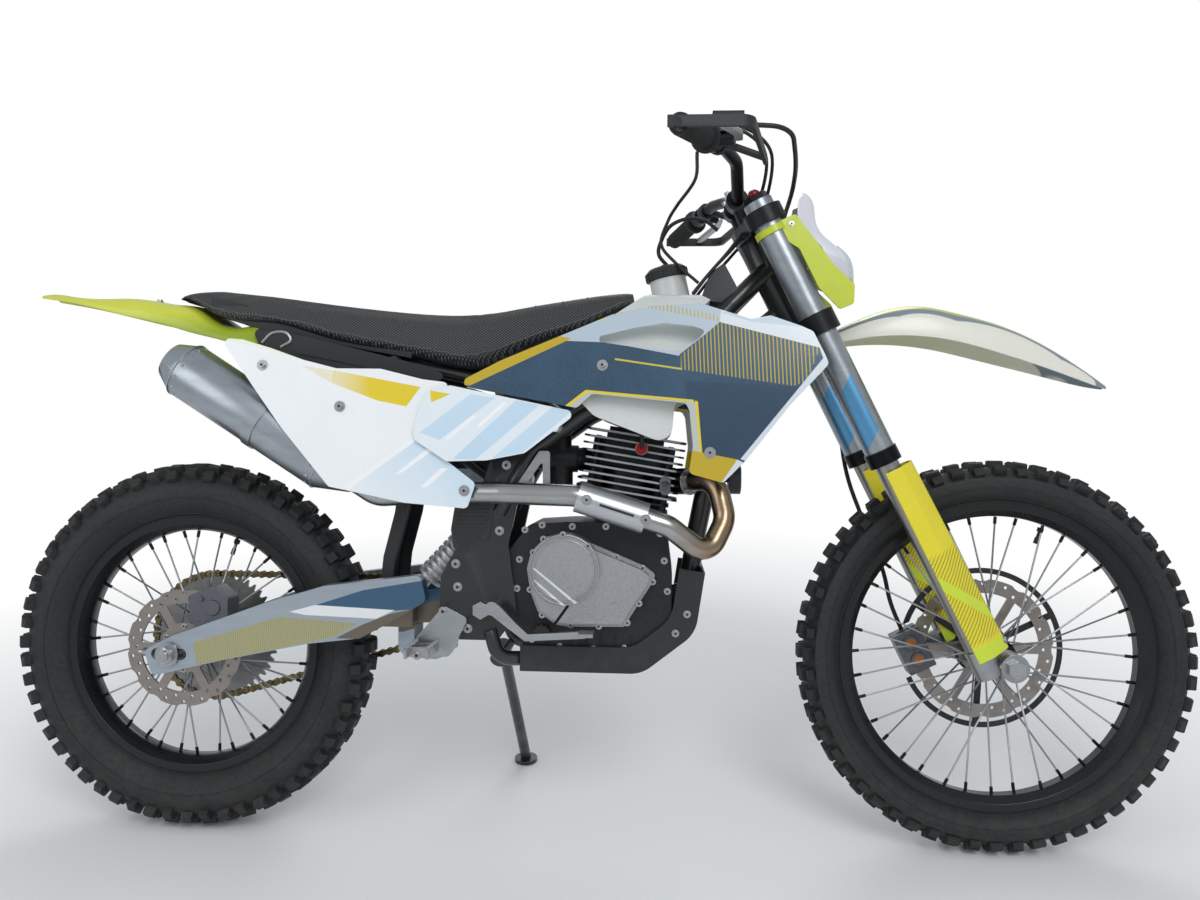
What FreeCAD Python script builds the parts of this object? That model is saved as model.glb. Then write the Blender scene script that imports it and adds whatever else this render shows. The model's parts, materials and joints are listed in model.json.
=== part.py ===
import FreeCAD
import Part
import math
import os

# A trail motorcycle with wire wheels, knobby tyres, an upside-down fork, a single-cylinder air-cooled
# engine, a tubular steel cradle frame and plastic bodywork. It stands on its side stand, leaning left.
# Every piece is modelled upright: X runs forward from the rear axle, Y to the rider's left and Z up
# from the floor. The last step leans the whole machine and moves the origin to the floor under it.
# Lengths are in millimetres and angles in degrees. Outlines and runs are lists of shares of a box.

# Whole machine
wheelbase = 1480.0
lean_angle = 10.0
rake_angle = 26.5
seat_gap = 0.3
running_gap = 0.05
overrun = 8.0
arc_reach_share = 0.45
straight_share = 0.0001
nut_corners = 6

# The box whose shares place the runs and side-view outlines: length, half width and height
layout_length = 1000.0
layout_half_width = 100.0
layout_height = 1000.0

# Front tyre and rim
front_tyre_radius = 352.0
front_tyre_half = 43.0
front_crown_half = 20.0
front_shoulder_half = 38.0
front_shoulder_drop = 14.0
front_rim_radius = 278.0
front_rim_bore = 252.0
front_rim_half = 24.0

# Rear tyre and rim
rear_tyre_radius = 340.0
rear_tyre_half = 54.0
rear_crown_half = 26.0
rear_shoulder_half = 49.0
rear_shoulder_drop = 16.0
rear_rim_radius = 240.0
rear_rim_bore = 214.0
rear_rim_half = 31.0

# Both rims and tyres
rim_lip = 3.5
rim_flange_height = 14.0
rim_wall = 4.0
rim_well_half_share = 0.45
tyre_widest_share = 0.45
bead_rise = 4.0
tyre_rows = 28
front_knob_height = 13.0
front_knob_length = 20.0
rear_knob_height = 15.0
rear_knob_length = 21.0
carcass_crown_share = 1.1
knob_base_in_share = 0.3
knob_base_out_share = 0.45
knob_base_drop_share = 1.6
knob_root_drop_share = 2.0
knob_top_gap_share = 0.15

# Hubs and spokes
hub_flange_radius = 34.0
hub_flange_thickness = 4.0
hub_barrel_radius = 21.0
front_flange_y = 28.0
rear_flange_y = 36.0
front_hub_half = 70.0
rear_hub_right = 74.0
rear_hub_left = 78.0
axle_radius = 10.0
spoke_radius = 1.7
nipple_radius = 3.0
nipple_length = 13.0
nipple_tip_drop = 0.5
spokes_per_wheel = 36
spoke_cross_angle = 38.0
spoke_flange_inset = 2.4
spoke_inner_rim_y = 4.0
spoke_outer_rim_y = 9.5

# Brake discs
front_disc_radius = 130.0
front_disc_y = 58.0
rear_disc_radius = 108.0
rear_disc_y = 62.0
disc_thickness = 4.0
disc_band = 26.0
disc_carrier_radius = 46.0
disc_arm_width = 16.0
disc_arms = 6
disc_waves = 12
disc_wave_radius = 22.0
disc_wave_depth = 4.0
disc_hole_radius = 3.0
disc_hole_rows = (0.30, 0.68)
disc_holes_per_row = 18

# Front disc guard, in the fork's own frame
disc_guard_radius = 150.0
disc_guard_band = 10.0
disc_guard_inner_y = 65.0
disc_guard_outer_y = 68.7
disc_guard_bore = 30.0
disc_guard_collar = 50.0
disc_guard_arm_width = 12.0
disc_guard_arms = 3
disc_guard_pin_radius = 7.0
disc_guard_pin_height = 14.0

# Chain drive
chain_pitch = 15.875
rear_teeth = 48
front_teeth = 13
chain_y = 72.0
sprocket_thickness = 5.6
chain_roller_radius = 5.08
chain_inner_half = 3.4
chain_plate = 2.0
chain_plate_half_height = 7.2
chain_waist_half_height = 5.4
sprocket_tooth_height = 4.6
tooth_root_share = 0.34
tooth_tip_share = 0.10
front_sprocket_x = 612.0
front_sprocket_z = 432.0
front_shaft_radius = 10.0
front_shaft_end_y = 80.0
sprocket_pocket_radius = 52.0
sprocket_pocket_y = 60.0

# Fork, in the fork's own frame: Z up the legs from the axle, X forward
fork_half_spacing = 100.0
axle_lead = 38.0
steer_offset = 60.0
outer_tube_radius = 26.0
outer_tube_bottom = 405.0
outer_tube_top = 912.0
fork_cap_radius = 22.0
fork_cap_height = 12.0
fork_adjuster_radius = 8.0
fork_adjuster_height = 9.0
fork_seal_radius = 29.0
fork_seal_height = 26.0
inner_tube_radius = 21.0
inner_tube_overlap = 60.0
axle_lug_radius = 24.0
axle_lug_half = 24.0
axle_lug_top = 52.0
lower_clamp_bottom = 655.0
lower_clamp_height = 36.0
upper_clamp_bottom = 868.0
upper_clamp_height = 28.0
clamp_wall = 9.0
clamp_bridge_half = 26.0
clamp_front_share = 0.6
clamp_middle_share = 0.3
clamp_rear_share = 0.7
clamp_pinch_radius = 7.0
clamp_pinch_half = 20.0
stem_radius = 15.0
stem_nut_radius = 19.0
stem_nut_height = 9.0
head_tube_radius = 28.0
head_play = 0.5

# Fork guards
guard_wall = 3.0
guard_clearance = 7.0
guard_top = 392.0
guard_bottom = 34.0
guard_nose = 17.0
guard_top_nose_share = 0.55
guard_inside_share = 0.5
guard_outside_share = 0.36
guard_edge_share = 0.45
guard_back_share = 0.78
guard_corner = 12.0
guard_foot_half = 8.0

# Handlebar and controls
bar_radius = 11.0
bar_mount_back = 20.0
bar_mount_rise = 45.0
bar_bend = 58.0
riser_radius = 15.0
riser_half_spacing = 36.0
bar_offset_shares = [(0.0, 0.62, 0.0), (-0.008, 1.35, 0.043), (-0.033, 1.95, 0.050), (-0.110, 4.05, 0.022)]
grip_length = 130.0
grip_radius = 16.5
grip_flange_radius = 24.0
grip_flange_width = 7.0
perch_gap = 12.0
perch_width = 26.0
perch_radius = 17.0
perch_arm_radius = 10.0
perch_reach = 38.0
lever_length = 145.0
lever_sweep = 10.0
lever_thickness = 9.0
lever_width = 13.0
lever_line_shares = [(0.0, 0.0), (0.30, 0.06), (1.0, 0.0)]
lever_corner = 5.0
handguard_height = 17.0
handguard_thickness = 6.0
handguard_reach = 108.0
handguard_inner_reach = 76.0
handguard_side_gap = 7.5
handguard_tail = 10.0
handguard_bolt_radius = 8.0
handguard_corner = 24.0
guard_stay_radius = 6.0
guard_stay_gap = 12.0
guard_clamp_width = 14.0
guard_stay_start = 15.0
guard_clamp_radius = 17.0
reservoir_length = 52.0
reservoir_height = 30.0
reservoir_depth = 30.0
reservoir_corner = 5.0

# Front brake hose: (X, Y, Z) shares of the layout box upright for its upper run, and of the fork's own
# frame for its lower run beside the left leg
hose_radius = 4.0
hose_upper_shares = [
    (1.080, -2.52, 1.2370),
    (1.100, -1.52, 1.2060),
    (1.108, -0.36, 1.1900),
    (1.108, 0.80, 1.1760),
    (1.102, 1.40, 1.1340),
]
hose_lower_shares = [
    (-0.014, 1.440, 0.778),
    (-0.030, 1.400, 0.682),
    (-0.038, 1.393, 0.590),
    (-0.036, 1.393, 0.500),
    (-0.074, 1.300, 0.398),
    (-0.086, 1.150, 0.290),
    (-0.096, 0.900, 0.200),
    (-0.114, 0.720, 0.148),
]
hose_end_share = 0.72
hose_start_rise = 15.0

# Headlight mask and lamp
mask_wall = 3.0
mask_half_width = 118.0
mask_bottom_z = 1019.0
mask_height = 164.0
mask_nose_x = 1222.0
mask_rake = 87.0
mask_profile_shares = [(0.0, 0.0), (0.15, 0.02), (0.30, 0.09), (0.53, 0.57), (0.76, 0.80), (1.0, 1.0)]
mask_wrap = 62.0
mask_wrap_power = 2.2
mask_columns = 9
mask_shares = [
    (-0.62, 0.01),
    (0.62, 0.01),
    (1.00, 0.14),
    (0.98, 0.46),
    (0.80, 0.86),
    (0.56, 0.99),
    (-0.56, 0.99),
    (-0.80, 0.86),
    (-0.98, 0.46),
    (-1.00, 0.14),
]
mask_corner = 16.0
lamp_shares = [(-0.52, 0.05), (0.52, 0.05), (0.60, 0.38), (0.40, 0.47), (-0.40, 0.47), (-0.60, 0.38)]
lamp_corner = 10.0
lamp_back_x = 1150.0
lamp_proud = 2.0
bracket_shares = [
    (1.064, 1.112),
    (1.103, 1.130),
    (1.171, 1.040),
    (1.205, 1.008),
    (1.204, 0.975),
    (1.180, 0.965),
    (1.144, 1.002),
    (1.110, 1.070),
    (1.074, 1.091),
]
bracket_inner_y = 118.3
bracket_thickness = 4.0
bracket_corner = 7.0
bracket_strap_heights = (770.0, 848.0)
bracket_strap_width = 12.0
bracket_strap_wall = 4.0

# Front fender: shares of the layout box for each station's x, half width, crown height and side drop
front_fender_shares = [
    (1.140, 0.56, 0.9173, 0.014),
    (1.178, 0.62, 0.9362, 0.024),
    (1.220, 0.70, 0.9565, 0.036),
    (1.290, 0.80, 0.9820, 0.056),
    (1.390, 0.80, 0.9760, 0.060),
    (1.490, 0.68, 0.9480, 0.058),
    (1.580, 0.47, 0.9040, 0.040),
    (1.640, 0.27, 0.8660, 0.020),
    (1.672, 0.10, 0.8450, 0.006),
]
fender_wall = 3.5
channel_shares = [(1.0, 1.0), (0.975, 0.60), (0.86, 0.26), (0.52, 0.07), (0.0, 0.0)]

# Frame
top_tube_radius = 16.0
down_tube_radius = 18.0
cradle_radius = 13.0
cradle_half_spacing = 66.0
cradle_z = 342.0
tube_bend = 68.0
top_tube_shares = [
    (1.065, 0.18, 1.052),
    (1.000, 0.36, 0.985),
    (0.898, 0.88, 0.868),
    (0.735, 0.88, 0.782),
    (0.648, 0.88, 0.718),
    (0.589, 0.88, 0.606),
]
down_tube_shares = [
    (1.099, 0.0, 0.981),
    (1.044, 0.0, 0.934),
    (0.966, 0.0, 0.690),
    (0.943, 0.0, 0.570),
    (0.925, 0.0, 0.450),
]
cradle_shares = [
    (0.925, 0.13, 0.462),
    (0.914, 0.60, 0.405),
    (0.838, 0.66, 0.342),
    (0.650, 0.66, 0.342),
    (0.590, 0.93, 0.346),
    (0.576, 0.93, 0.396),
]
pivot_x = 560.0
pivot_z = 432.0
pivot_bolt_radius = 8.5
pivot_plate_y = 96.0
pivot_plate_thickness = 9.0
pivot_plate_shares = [
    (0.483, 0.378),
    (0.590, 0.378),
    (0.624, 0.425),
    (0.607, 0.549),
    (0.634, 0.681),
    (0.650, 0.735),
    (0.583, 0.725),
    (0.529, 0.571),
    (0.486, 0.490),
]
pivot_plate_corner = 9.0
boot_plate_shares = [
    (0.515, 0.645),
    (0.590, 0.668),
    (0.572, 0.560),
    (0.538, 0.533),
    (0.508, 0.540),
    (0.504, 0.575),
]
boot_plate_thickness = 3.0
neck_plate_shares = [(0.945, 0.995), (0.960, 1.041), (0.986, 1.060), (1.012, 1.012), (1.000, 0.985)]
neck_plate_inner_y = 38.0
neck_plate_outer_y = 43.0
neck_plate_corner = 6.0
lower_cross_x = 640.0
engine_tab_shares = [(0.8983, 0.468), (0.930, 0.480), (0.930, 0.432), (0.8983, 0.440)]
engine_hanger_x = 921.0
engine_hanger_z = 454.0
engine_tab_half = 22.0
engine_tab_thickness = 5.0
shroud_stay_radius = 6.0
shroud_stay_x = 966.0
shroud_stay_z = 722.0
shroud_stay_end_y = 160.0
puck_radius = 14.0
puck_x = 890.0
puck_z = 866.0

# Subframe
subframe_radius = 9.0
subframe_half_spacing = 62.7
rail_shares = [
    (0.138, 0.627, 0.920),
    (0.240, 0.627, 0.913),
    (0.372, 0.627, 0.8815),
    (0.464, 0.627, 0.8604),
    (0.540, 0.627, 0.8452),
    (0.650, 0.627, 0.812),
    (0.706, 0.627, 0.774),
]
strut_shares = [(0.580, 0.627, 0.654), (0.304, 0.627, 0.860), (0.236, 0.627, 0.907)]
rail_bend = 40.0
strut_stub_inner = 50.0
subframe_cross_shares = [(0.160, 0.926), (0.340, 0.888)]

# Swingarm
swingarm_inner_y = 92.0
swingarm_thickness = 30.0
swingarm_tail_x = -46.0
swingarm_length = 512.0
swingarm_foot_z = 304.6
swingarm_height = 190.0
swingarm_corner = 12.0
swingarm_shares = [
    (0.00, 0.24),
    (0.10, 0.38),
    (0.42, 0.70),
    (0.64, 0.88),
    (0.98, 1.00),
    (1.00, 0.76),
    (0.88, 0.56),
    (0.77, 0.40),
    (0.59, 0.34),
    (0.29, 0.17),
    (0.03, 0.00),
]
brace_shares = [(0.372, 0.398), (0.372, 0.442), (0.436, 0.442), (0.436, 0.398)]
brace_overlap = 4.0
link_shares = [(0.388, 0.354), (0.407, 0.332), (0.465, 0.329), (0.492, 0.339), (0.491, 0.370), (0.469, 0.360)]
link_inner_y = 28.0
link_outer_y = 35.0
link_corner = 6.0
link_tab_shares = [(0.394, 0.350), (0.394, 0.405), (0.424, 0.405), (0.424, 0.350)]
link_pin_shares = [(0.408, 0.349), (0.478, 0.351)]
link_pin_radius = 8.0
nose_inner_y = 40.0
nose_outer_y = 60.0
nose_shares = [(0.380, 0.442), (0.470, 0.462), (0.560, 0.459), (0.587, 0.432), (0.560, 0.405), (0.380, 0.398)]
pivot_tube_radius = 20.0
pivot_tube_left_y = 63.0
axle_slot_length = 44.0
axle_nut_radius = 16.0
axle_nut_height = 11.0
axle_block_size = 34.0
axle_block_thickness = 7.0
spacer_radius = 15.0

# Engine
case_half_width = 86.7
case_shares = [
    (0.608, 0.430),
    (0.608, 0.540),
    (0.643, 0.585),
    (0.712, 0.590),
    (0.886, 0.590),
    (0.898, 0.500),
    (0.898, 0.420),
    (0.816, 0.3553),
    (0.640, 0.3553),
]
case_corner = 16.0
case_top_z = 590.0
clutch_cover_thickness = 38.0
clutch_rim_thickness = 12.0
clutch_cover_left_x = 641.0
clutch_cover_foot_z = 406.0
clutch_cover_length = 228.0
clutch_cover_height = 167.0
clutch_cover_inset = 9.0
clutch_cover_shares = [
    (0.03, 0.78),
    (0.14, 0.94),
    (0.30, 1.00),
    (0.49, 0.89),
    (0.71, 0.77),
    (0.92, 0.65),
    (1.00, 0.57),
    (0.98, 0.49),
    (0.81, 0.12),
    (0.77, 0.01),
    (0.33, 0.00),
    (0.23, 0.02),
    (0.09, 0.15),
    (0.03, 0.36),
    (0.00, 0.60),
]
clutch_dome_x = 711.0
clutch_dome_z = 510.0
clutch_dome_radius = 62.0
clutch_dome_height = 6.0
clutch_ring_radius = 54.0
clutch_ring_height = 3.0
alternator_radius = 60.0
alternator_height = 30.0
alternator_cap_radius = 40.0
alternator_cap_height = 5.0
alternator_x = 792.0
alternator_z = 476.0
left_cover_shares = [
    (0.700, 0.385),
    (0.846, 0.390),
    (0.880, 0.470),
    (0.858, 0.560),
    (0.690, 0.566),
    (0.683, 0.470),
]
cylinder_x = 806.0
cylinder_tilt = 9.0
cylinder_core_radius = 52.0
cylinder_root = 34.0
barrel_height = 96.0
head_height = 72.0
head_core_share = 0.86
fin_pitch = 13.0
fin_thickness = 3.6
fin_half_length = 92.0
fin_half_width = 71.0
fin_low_share = 0.86
fin_low_reach_share = 0.5
fin_corner = 16.0
plug_radius = 8.0
plug_cap_radius = 11.0
plug_shares = [(0.842, -0.60, 0.722), (0.842, -0.86, 0.722), (0.842, -1.08, 0.722)]
port_radius = 24.0
port_shares = [(0.820, 0.0, 0.664), (0.902, -0.16, 0.664)]
port_collar = 30.0
intake_radius = 21.0
intake_shares = [(0.790, 0.0, 0.700), (0.7217, 0.0, 0.702)]

# Carburettor and airbox
carb_radius = 25.0
carb_shares = [(0.7214, 0.0, 0.702), (0.655, 0.0, 0.704)]
carb_boot_radius = 21.5
carb_boot_end_share = 0.6003
carb_body_x = 690.0
carb_bowl_radius = 22.0
carb_bowl_bottom_z = 652.0
carb_top_radius = 19.0
carb_top_z = 748.0
airbox_half_width = 53.4
airbox_shares = [
    (0.352, 0.700),
    (0.352, 0.862),
    (0.460, 0.842),
    (0.534, 0.828),
    (0.600, 0.796),
    (0.600, 0.690),
    (0.560, 0.682),
    (0.400, 0.682),
]
airbox_corner = 12.0

# Exhaust
pipe_radius = 19.0
header_bend = 46.0
header_shares = [
    (0.926, -0.34, 0.664),
    (0.974, -0.88, 0.667),
    (0.990, -1.00, 0.600),
    (0.958, -1.24, 0.536),
    (0.890, -1.46, 0.590),
    (0.730, -1.52, 0.640),
    (0.600, -1.38, 0.642),
    (0.470, -1.15, 0.640),
]
shield_inner_radius = 24.5
shield_wall = 2.5
shield_start_share = 0.24
shield_end_share = 0.97
shield_open_angle = 170.0
shield_boss_radius = 5.0
shield_boss_shares = (0.36, 0.86)
shield_run = 4
hanger_plate_shares = [(0.662, 0.716), (0.681, 0.716), (0.682, 0.640), (0.622, 0.655)]
hanger_hole_shares = [(0.668, 0.698), (0.669, 0.655), (0.642, 0.662)]
hanger_plate_inner_y = 104.6
hanger_plate_outer_y = 108.6
hanger_corner = 5.0
hanger_hole_corner = 2.0
hanger_pin_share = 0.52
hanger_pin_radius = 6.0
muffler_radius = 51.0
muffler_y = -110.0
muffler_front_x = 282.0
muffler_front_z = 690.0
muffler_rear_x = 22.0
muffler_rear_z = 854.0
muffler_inlet_radius = 22.0
muffler_cone = 62.0
muffler_cap = 34.0
muffler_cap_end_share = 0.66
muffler_outlet_radius = 17.0
muffler_strap_wall = 2.5
muffler_strap_width = 18.0
muffler_strap_share = 0.42
muffler_hanger_radius = 7.0

# Skid plate
skid_wall = 4.0
skid_half_width = 97.0
skid_rise = 46.0
skid_bend = 60.0
skid_shares = [(0.630, 0.3247), (0.846, 0.3247), (0.940, 0.398), (0.956, 0.505)]

# Seat: shares of the layout box for each station's x, top, bottom and half width
seat_shares = [
    (-0.019, 0.9960, 0.9890, 0.62),
    (0.012, 1.0030, 0.9850, 0.84),
    (0.060, 1.0000, 0.9580, 0.98),
    (0.122, 0.9930, 0.9455, 1.06),
    (0.240, 0.9790, 0.9255, 1.10),
    (0.372, 0.9650, 0.8935, 1.08),
    (0.464, 0.9590, 0.8725, 1.02),
    (0.534, 0.9600, 0.8590, 0.95),
    (0.600, 0.9690, 0.8840, 0.88),
    (0.700, 0.9860, 0.9270, 0.80),
    (0.766, 0.9970, 0.9560, 0.74),
    (0.824, 1.0050, 0.9830, 0.66),
]
seat_top_share = 0.76
seat_corner_share = 0.42

# Rear fender: shares of the layout box for each station's x, half width, crown height and side drop
rear_fender_shares = [
    (-0.304, 0.30, 1.0030, 0.006),
    (-0.237, 0.50, 0.9990, 0.013),
    (-0.148, 0.74, 0.9950, 0.029),
    (-0.088, 0.86, 0.9935, 0.041),
    (-0.026, 0.95, 0.9840, 0.046),
    (0.012, 0.99, 0.9785, 0.052),
    (0.052, 1.02, 0.9530, 0.036),
    (0.100, 1.05, 0.9390, 0.034),
    (0.150, 1.06, 0.9355, 0.038),
]

# Tank
tank_shares = [
    (0.728, 0.810),
    (0.761, 0.777),
    (0.893, 0.727),
    (0.899, 0.804),
    (0.965, 0.832),
    (1.004, 0.905),
    (0.985, 0.970),
    (0.940, 0.996),
    (0.849, 0.996),
    (0.767, 0.938),
    (0.733, 0.886),
]
tank_half_width = 150.0
tank_top_z = 996.0
tank_shoulder_z = 892.0
tank_foot_z = 720.0
tank_crown_share = 0.62
tank_corner = 24.0
tank_tunnel_half = 118.0
tunnel_shares = [
    (0.700, 0.700),
    (0.700, 0.880),
    (0.870, 0.896),
    (0.960, 0.985),
    (1.100, 1.120),
    (1.100, 0.700),
]
filler_x = 896.0
filler_radius = 34.0
filler_height = 42.0
filler_lean = 0.22
filler_root = 12.0
cap_radius = 38.0
cap_height = 16.0
cap_rim_height = 6.0
cap_inner_share = 0.82

# Bodywork panels
panel_wall = 3.0
panel_corner = 9.0
panel_reach_y = 260.0
skin_columns = 8
skin_rows = 7
panel_boss_radius = 8.0
boss_bite = 1.5
side_panel_left_x = 103.0
side_panel_foot_z = 615.0
side_panel_length = 455.0
side_panel_height = 293.0
side_panel_y = 166.0
side_panel_front_tuck = 12.0
side_panel_top_tuck = 14.0
side_panel_shares = [
    (0.00, 1.00),
    (0.09, 0.99),
    (0.20, 0.94),
    (0.33, 0.87),
    (0.46, 0.82),
    (0.63, 0.82),
    (0.79, 0.76),
    (0.90, 0.74),
    (0.77, 0.41),
    (0.89, 0.28),
    (1.00, 0.15),
    (0.97, 0.00),
    (0.73, 0.03),
    (0.54, 0.09),
    (0.44, 0.12),
    (0.25, 0.47),
]
side_panel_boss_shares = [(0.400, 0.789), (0.436, 0.763)]
cover_left_x = 450.0
cover_foot_z = 696.0
cover_length = 285.0
cover_height = 131.0
cover_y = 165.0
cover_top_tuck = 8.0
cover_shares = [
    (0.08, 0.92),
    (0.22, 1.00),
    (1.00, 0.66),
    (0.68, 0.12),
    (0.45, 0.02),
    (0.21, 0.00),
    (0.01, 0.28),
    (0.00, 0.41),
    (0.04, 0.74),
]
cover_boss_shares = [(0.540, 0.770), (0.694, 0.757)]
shroud_left_x = 518.0
shroud_foot_z = 666.0
shroud_length = 633.0
shroud_height = 301.0
shroud_y = 172.0
shroud_flare = 26.0
shroud_flare_power = 1.4
shroud_rear_tuck = 18.0
shroud_top_tuck = 44.0
shroud_tuck_start_share = 0.45
shroud_tuck_power = 1.5
shroud_shares = [
    (0.00, 0.54),
    (0.34, 0.41),
    (0.38, 0.49),
    (0.63, 0.44),
    (0.64, 0.40),
    (0.65, 0.20),
    (0.64, 0.05),
    (0.73, 0.00),
    (0.79, 0.13),
    (0.90, 0.43),
    (1.00, 0.66),
    (0.99, 0.71),
    (0.96, 0.84),
    (0.93, 0.87),
    (0.85, 0.93),
    (0.80, 0.91),
    (0.67, 1.00),
    (0.54, 0.99),
    (0.43, 0.94),
    (0.13, 0.68),
]
shroud_hole_shares = [
    (0.746, 0.906),
    (0.830, 0.926),
    (0.881, 0.934),
    (0.930, 0.928),
    (0.950, 0.921),
    (0.938, 0.908),
    (0.907, 0.884),
    (0.809, 0.896),
]
shroud_boss_shares = [(0.776, 0.856), (0.880, 0.836)]
tail_cover_y = 112.0
tail_cover_shares = [
    (0.142, 0.931),
    (0.244, 0.915),
    (0.375, 0.884),
    (0.467, 0.862),
    (0.500, 0.845),
    (0.420, 0.812),
    (0.256, 0.826),
    (0.168, 0.872),
]
tail_cover_boss_shares = [(0.240, 0.904), (0.400, 0.874)]
tail_panel_boss_shares = [(0.190, 0.882)]

# Mudflap
mudflap_half = 63.0
mudflap_wall = 3.0
mudflap_flange = 22.0
mudflap_shares = [(0.404, 0.6817), (0.392, 0.600), (0.372, 0.520), (0.366, 0.456)]

# Footpegs, pedals and stand
peg_bracket_shares = [(0.498, 0.442), (0.541, 0.420), (0.508, 0.352), (0.452, 0.352), (0.449, 0.384)]
peg_bracket_thickness = 26.0
peg_corner = 8.0
peg_left_x = 449.0
peg_foot_z = 364.0
peg_length = 84.0
peg_width = 42.0
peg_height = 16.0
peg_wall = 5.0
peg_bars = 3
pedal_pivot_x = 586.0
pedal_pivot_z = 441.0
pedal_boss_radius = 12.0
pedal_arm_y = 131.0
pedal_arm_width = 9.0
pedal_shares = [
    (0.577, 0.436),
    (0.596, 0.449),
    (0.628, 0.417),
    (0.649, 0.398),
    (0.752, 0.405),
    (0.752, 0.393),
    (0.644, 0.386),
    (0.618, 0.405),
]
pedal_corner = 5.0
pedal_pad_x = 738.0
pedal_pad_z = 398.0
pedal_pad_length = 26.0
pedal_pad_width = 30.0
pedal_pad_height = 6.0
shift_pivot_x = 668.0
shift_pivot_z = 388.0
shift_shaft_radius = 7.0
shift_arm_y = 124.0
shift_arm_width = 8.0
shift_shares = [(0.656, 0.383), (0.666, 0.402), (0.782, 0.412), (0.782, 0.400), (0.672, 0.377)]
shift_peg_x = 776.0
shift_peg_z = 406.0
shift_peg_radius = 7.0
shift_peg_length = 32.0
stand_pivot_x = 566.0
stand_pivot_y = 118.0
stand_pivot_z = 322.0
stand_foot_x = 592.0
stand_foot_y = 282.0
stand_radius = 11.0
stand_foot_radius = 24.0
stand_foot_height = 8.0
stand_boss_radius = 17.0
stand_boss_half = 12.0
stand_pin_radius = 6.0
stand_hole_radius = 6.6
stand_pad_thickness = 22.0
stand_lug_radius = 8.0
stand_stow_rear_share = 0.99
stand_stow_out_share = 0.14
stand_stow_up_share = 0.06
stand_lug_shares = (0.590, 0.85, 0.345)

# Shock absorber
shock_foot_x = 425.0
shock_foot_z = 454.3
shock_top_x = 622.0
shock_top_z = 664.0
shock_eye_radius = 12.0
shock_top_eye_radius = 16.0
shock_eye_half = 15.0
shock_rod_radius = 9.0
shock_body_radius = 20.0
shock_spring_radius = 28.0
shock_ring_height = 6.5
shock_ring_pitch = 13.0
shock_start_share = 0.10
shock_end_share = 0.86

# Brake calipers, horn
caliper_wall = 13.0
caliper_side_gap = 2.2
front_caliper_half = 26.0
front_caliper_height = 78.0
front_caliper_z = 14.0
front_caliper_inner_y = 38.0
front_caliper_outer_y = 83.7
front_bracket_left = 96.0
front_bracket_right = 50.0
front_bracket_thickness = 12.0
front_bracket_height = 50.0
front_bracket_foot = 10.0
rear_caliper_shares = [(0.030, 0.390), (0.018, 0.444), (0.066, 0.464), (0.094, 0.442), (0.094, 0.382)]
rear_caliper_inner_y = 42.0
rear_caliper_outer_y = 91.7
rear_caliper_corner = 8.0
horn_x = 999.0
horn_y = -12.0
horn_z = 668.0
horn_radius = 27.0
horn_thickness = 22.0
horn_tab_half = 6.0


def vec(x, y, z):
    """A point or direction."""
    return FreeCAD.Vector(x, y, z)


X_AXIS = vec(1, 0, 0)
Y_AXIS = vec(0, 1, 0)
Z_AXIS = vec(0, 0, 1)
ORIGIN = vec(0, 0, 0)

lean_tangent = math.tan(math.radians(lean_angle))
front_axle_z = front_tyre_radius + front_crown_half * lean_tangent
rear_axle_z = rear_tyre_radius + rear_crown_half * lean_tangent
pivot_plate_inner = pivot_plate_y - pivot_plate_thickness
swingarm_outer_y = swingarm_inner_y + swingarm_thickness


def unit(direction):
    """The direction with length one."""
    result = vec(direction.x, direction.y, direction.z)
    result.normalize()
    return result


def at(across_share, out_share, up_share):
    """A point of the upright machine by its shares of the layout box."""
    return vec(layout_length * across_share, layout_half_width * out_share, layout_height * up_share)


def run(shares, side=1):
    """Points of a run, as listed or, with side -1, on the other side of the machine."""
    return [at(across, side * out, up) for across, out, up in shares]


def side_view(shares):
    """Points of a side-view outline by shares of the layout box."""
    return [at(across, 0, up) for across, up in shares]


def outline(shares, left, foot, length, height):
    """Points of a side-view outline by shares of its own box."""
    return [vec(left + length * across, 0, foot + height * up) for across, up in shares]


def moved(shape, x, y, z):
    """A copy of the shape, shifted."""
    copy = shape.copy()
    copy.translate(vec(x, y, z))
    return copy


def mirrored(shape):
    """The shape on the other side of the machine."""
    return shape.mirror(ORIGIN, Y_AXIS)


def both_sides(shape):
    """The shape and its mirror image, as two solids."""
    return Part.makeCompound(shape.Solids + mirrored(shape).Solids)


def fused(shapes):
    """One solid from several that touch."""
    result = shapes[0]
    if len(shapes) > 1:
        result = result.fuse(list(shapes[1:]))
    return result.removeSplitter()


def largest(shape):
    """The biggest solid of a shape."""
    return max(shape.Solids, key=lambda solid: solid.Volume)


def rounded_edges(points, corner, closed):
    """Straight runs through the points, joined by tangent arcs of at most the corner radius."""
    count = len(points)
    corners = []
    for i in range(count):
        here = points[i]
        if not closed and i in (0, count - 1):
            corners.append((here, here, None))
            continue
        back = points[i - 1] - here
        ahead = points[(i + 1) % count] - here
        reach = min(back.Length, ahead.Length) * arc_reach_share
        back.normalize()
        ahead.normalize()
        half_angle = back.getAngle(ahead) / 2
        if corner <= 0 or math.cos(half_angle) < straight_share:
            corners.append((here, here, None))
            continue
        set_back = min(corner / math.tan(half_angle), reach)
        radius = set_back * math.tan(half_angle)
        towards = back + ahead
        towards.normalize()
        centre = here + towards * (radius / math.sin(half_angle))
        corners.append((here + back * set_back, here + ahead * set_back, centre - towards * radius))
    edges = []
    for i in range(count):
        start, end, middle = corners[i]
        if middle is not None:
            edges.append(Part.Arc(start, middle, end).toShape())
        if i < count - 1 or closed:
            following = corners[(i + 1) % count][0]
            if (following - end).Length > corner * straight_share:
                edges.append(Part.makeLine(end, following))
    return edges


def flat_face(points, corner=0.0):
    """A flat face with rounded corners."""
    return Part.Face(Part.Wire(rounded_edges(points, corner, True)))


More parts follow.
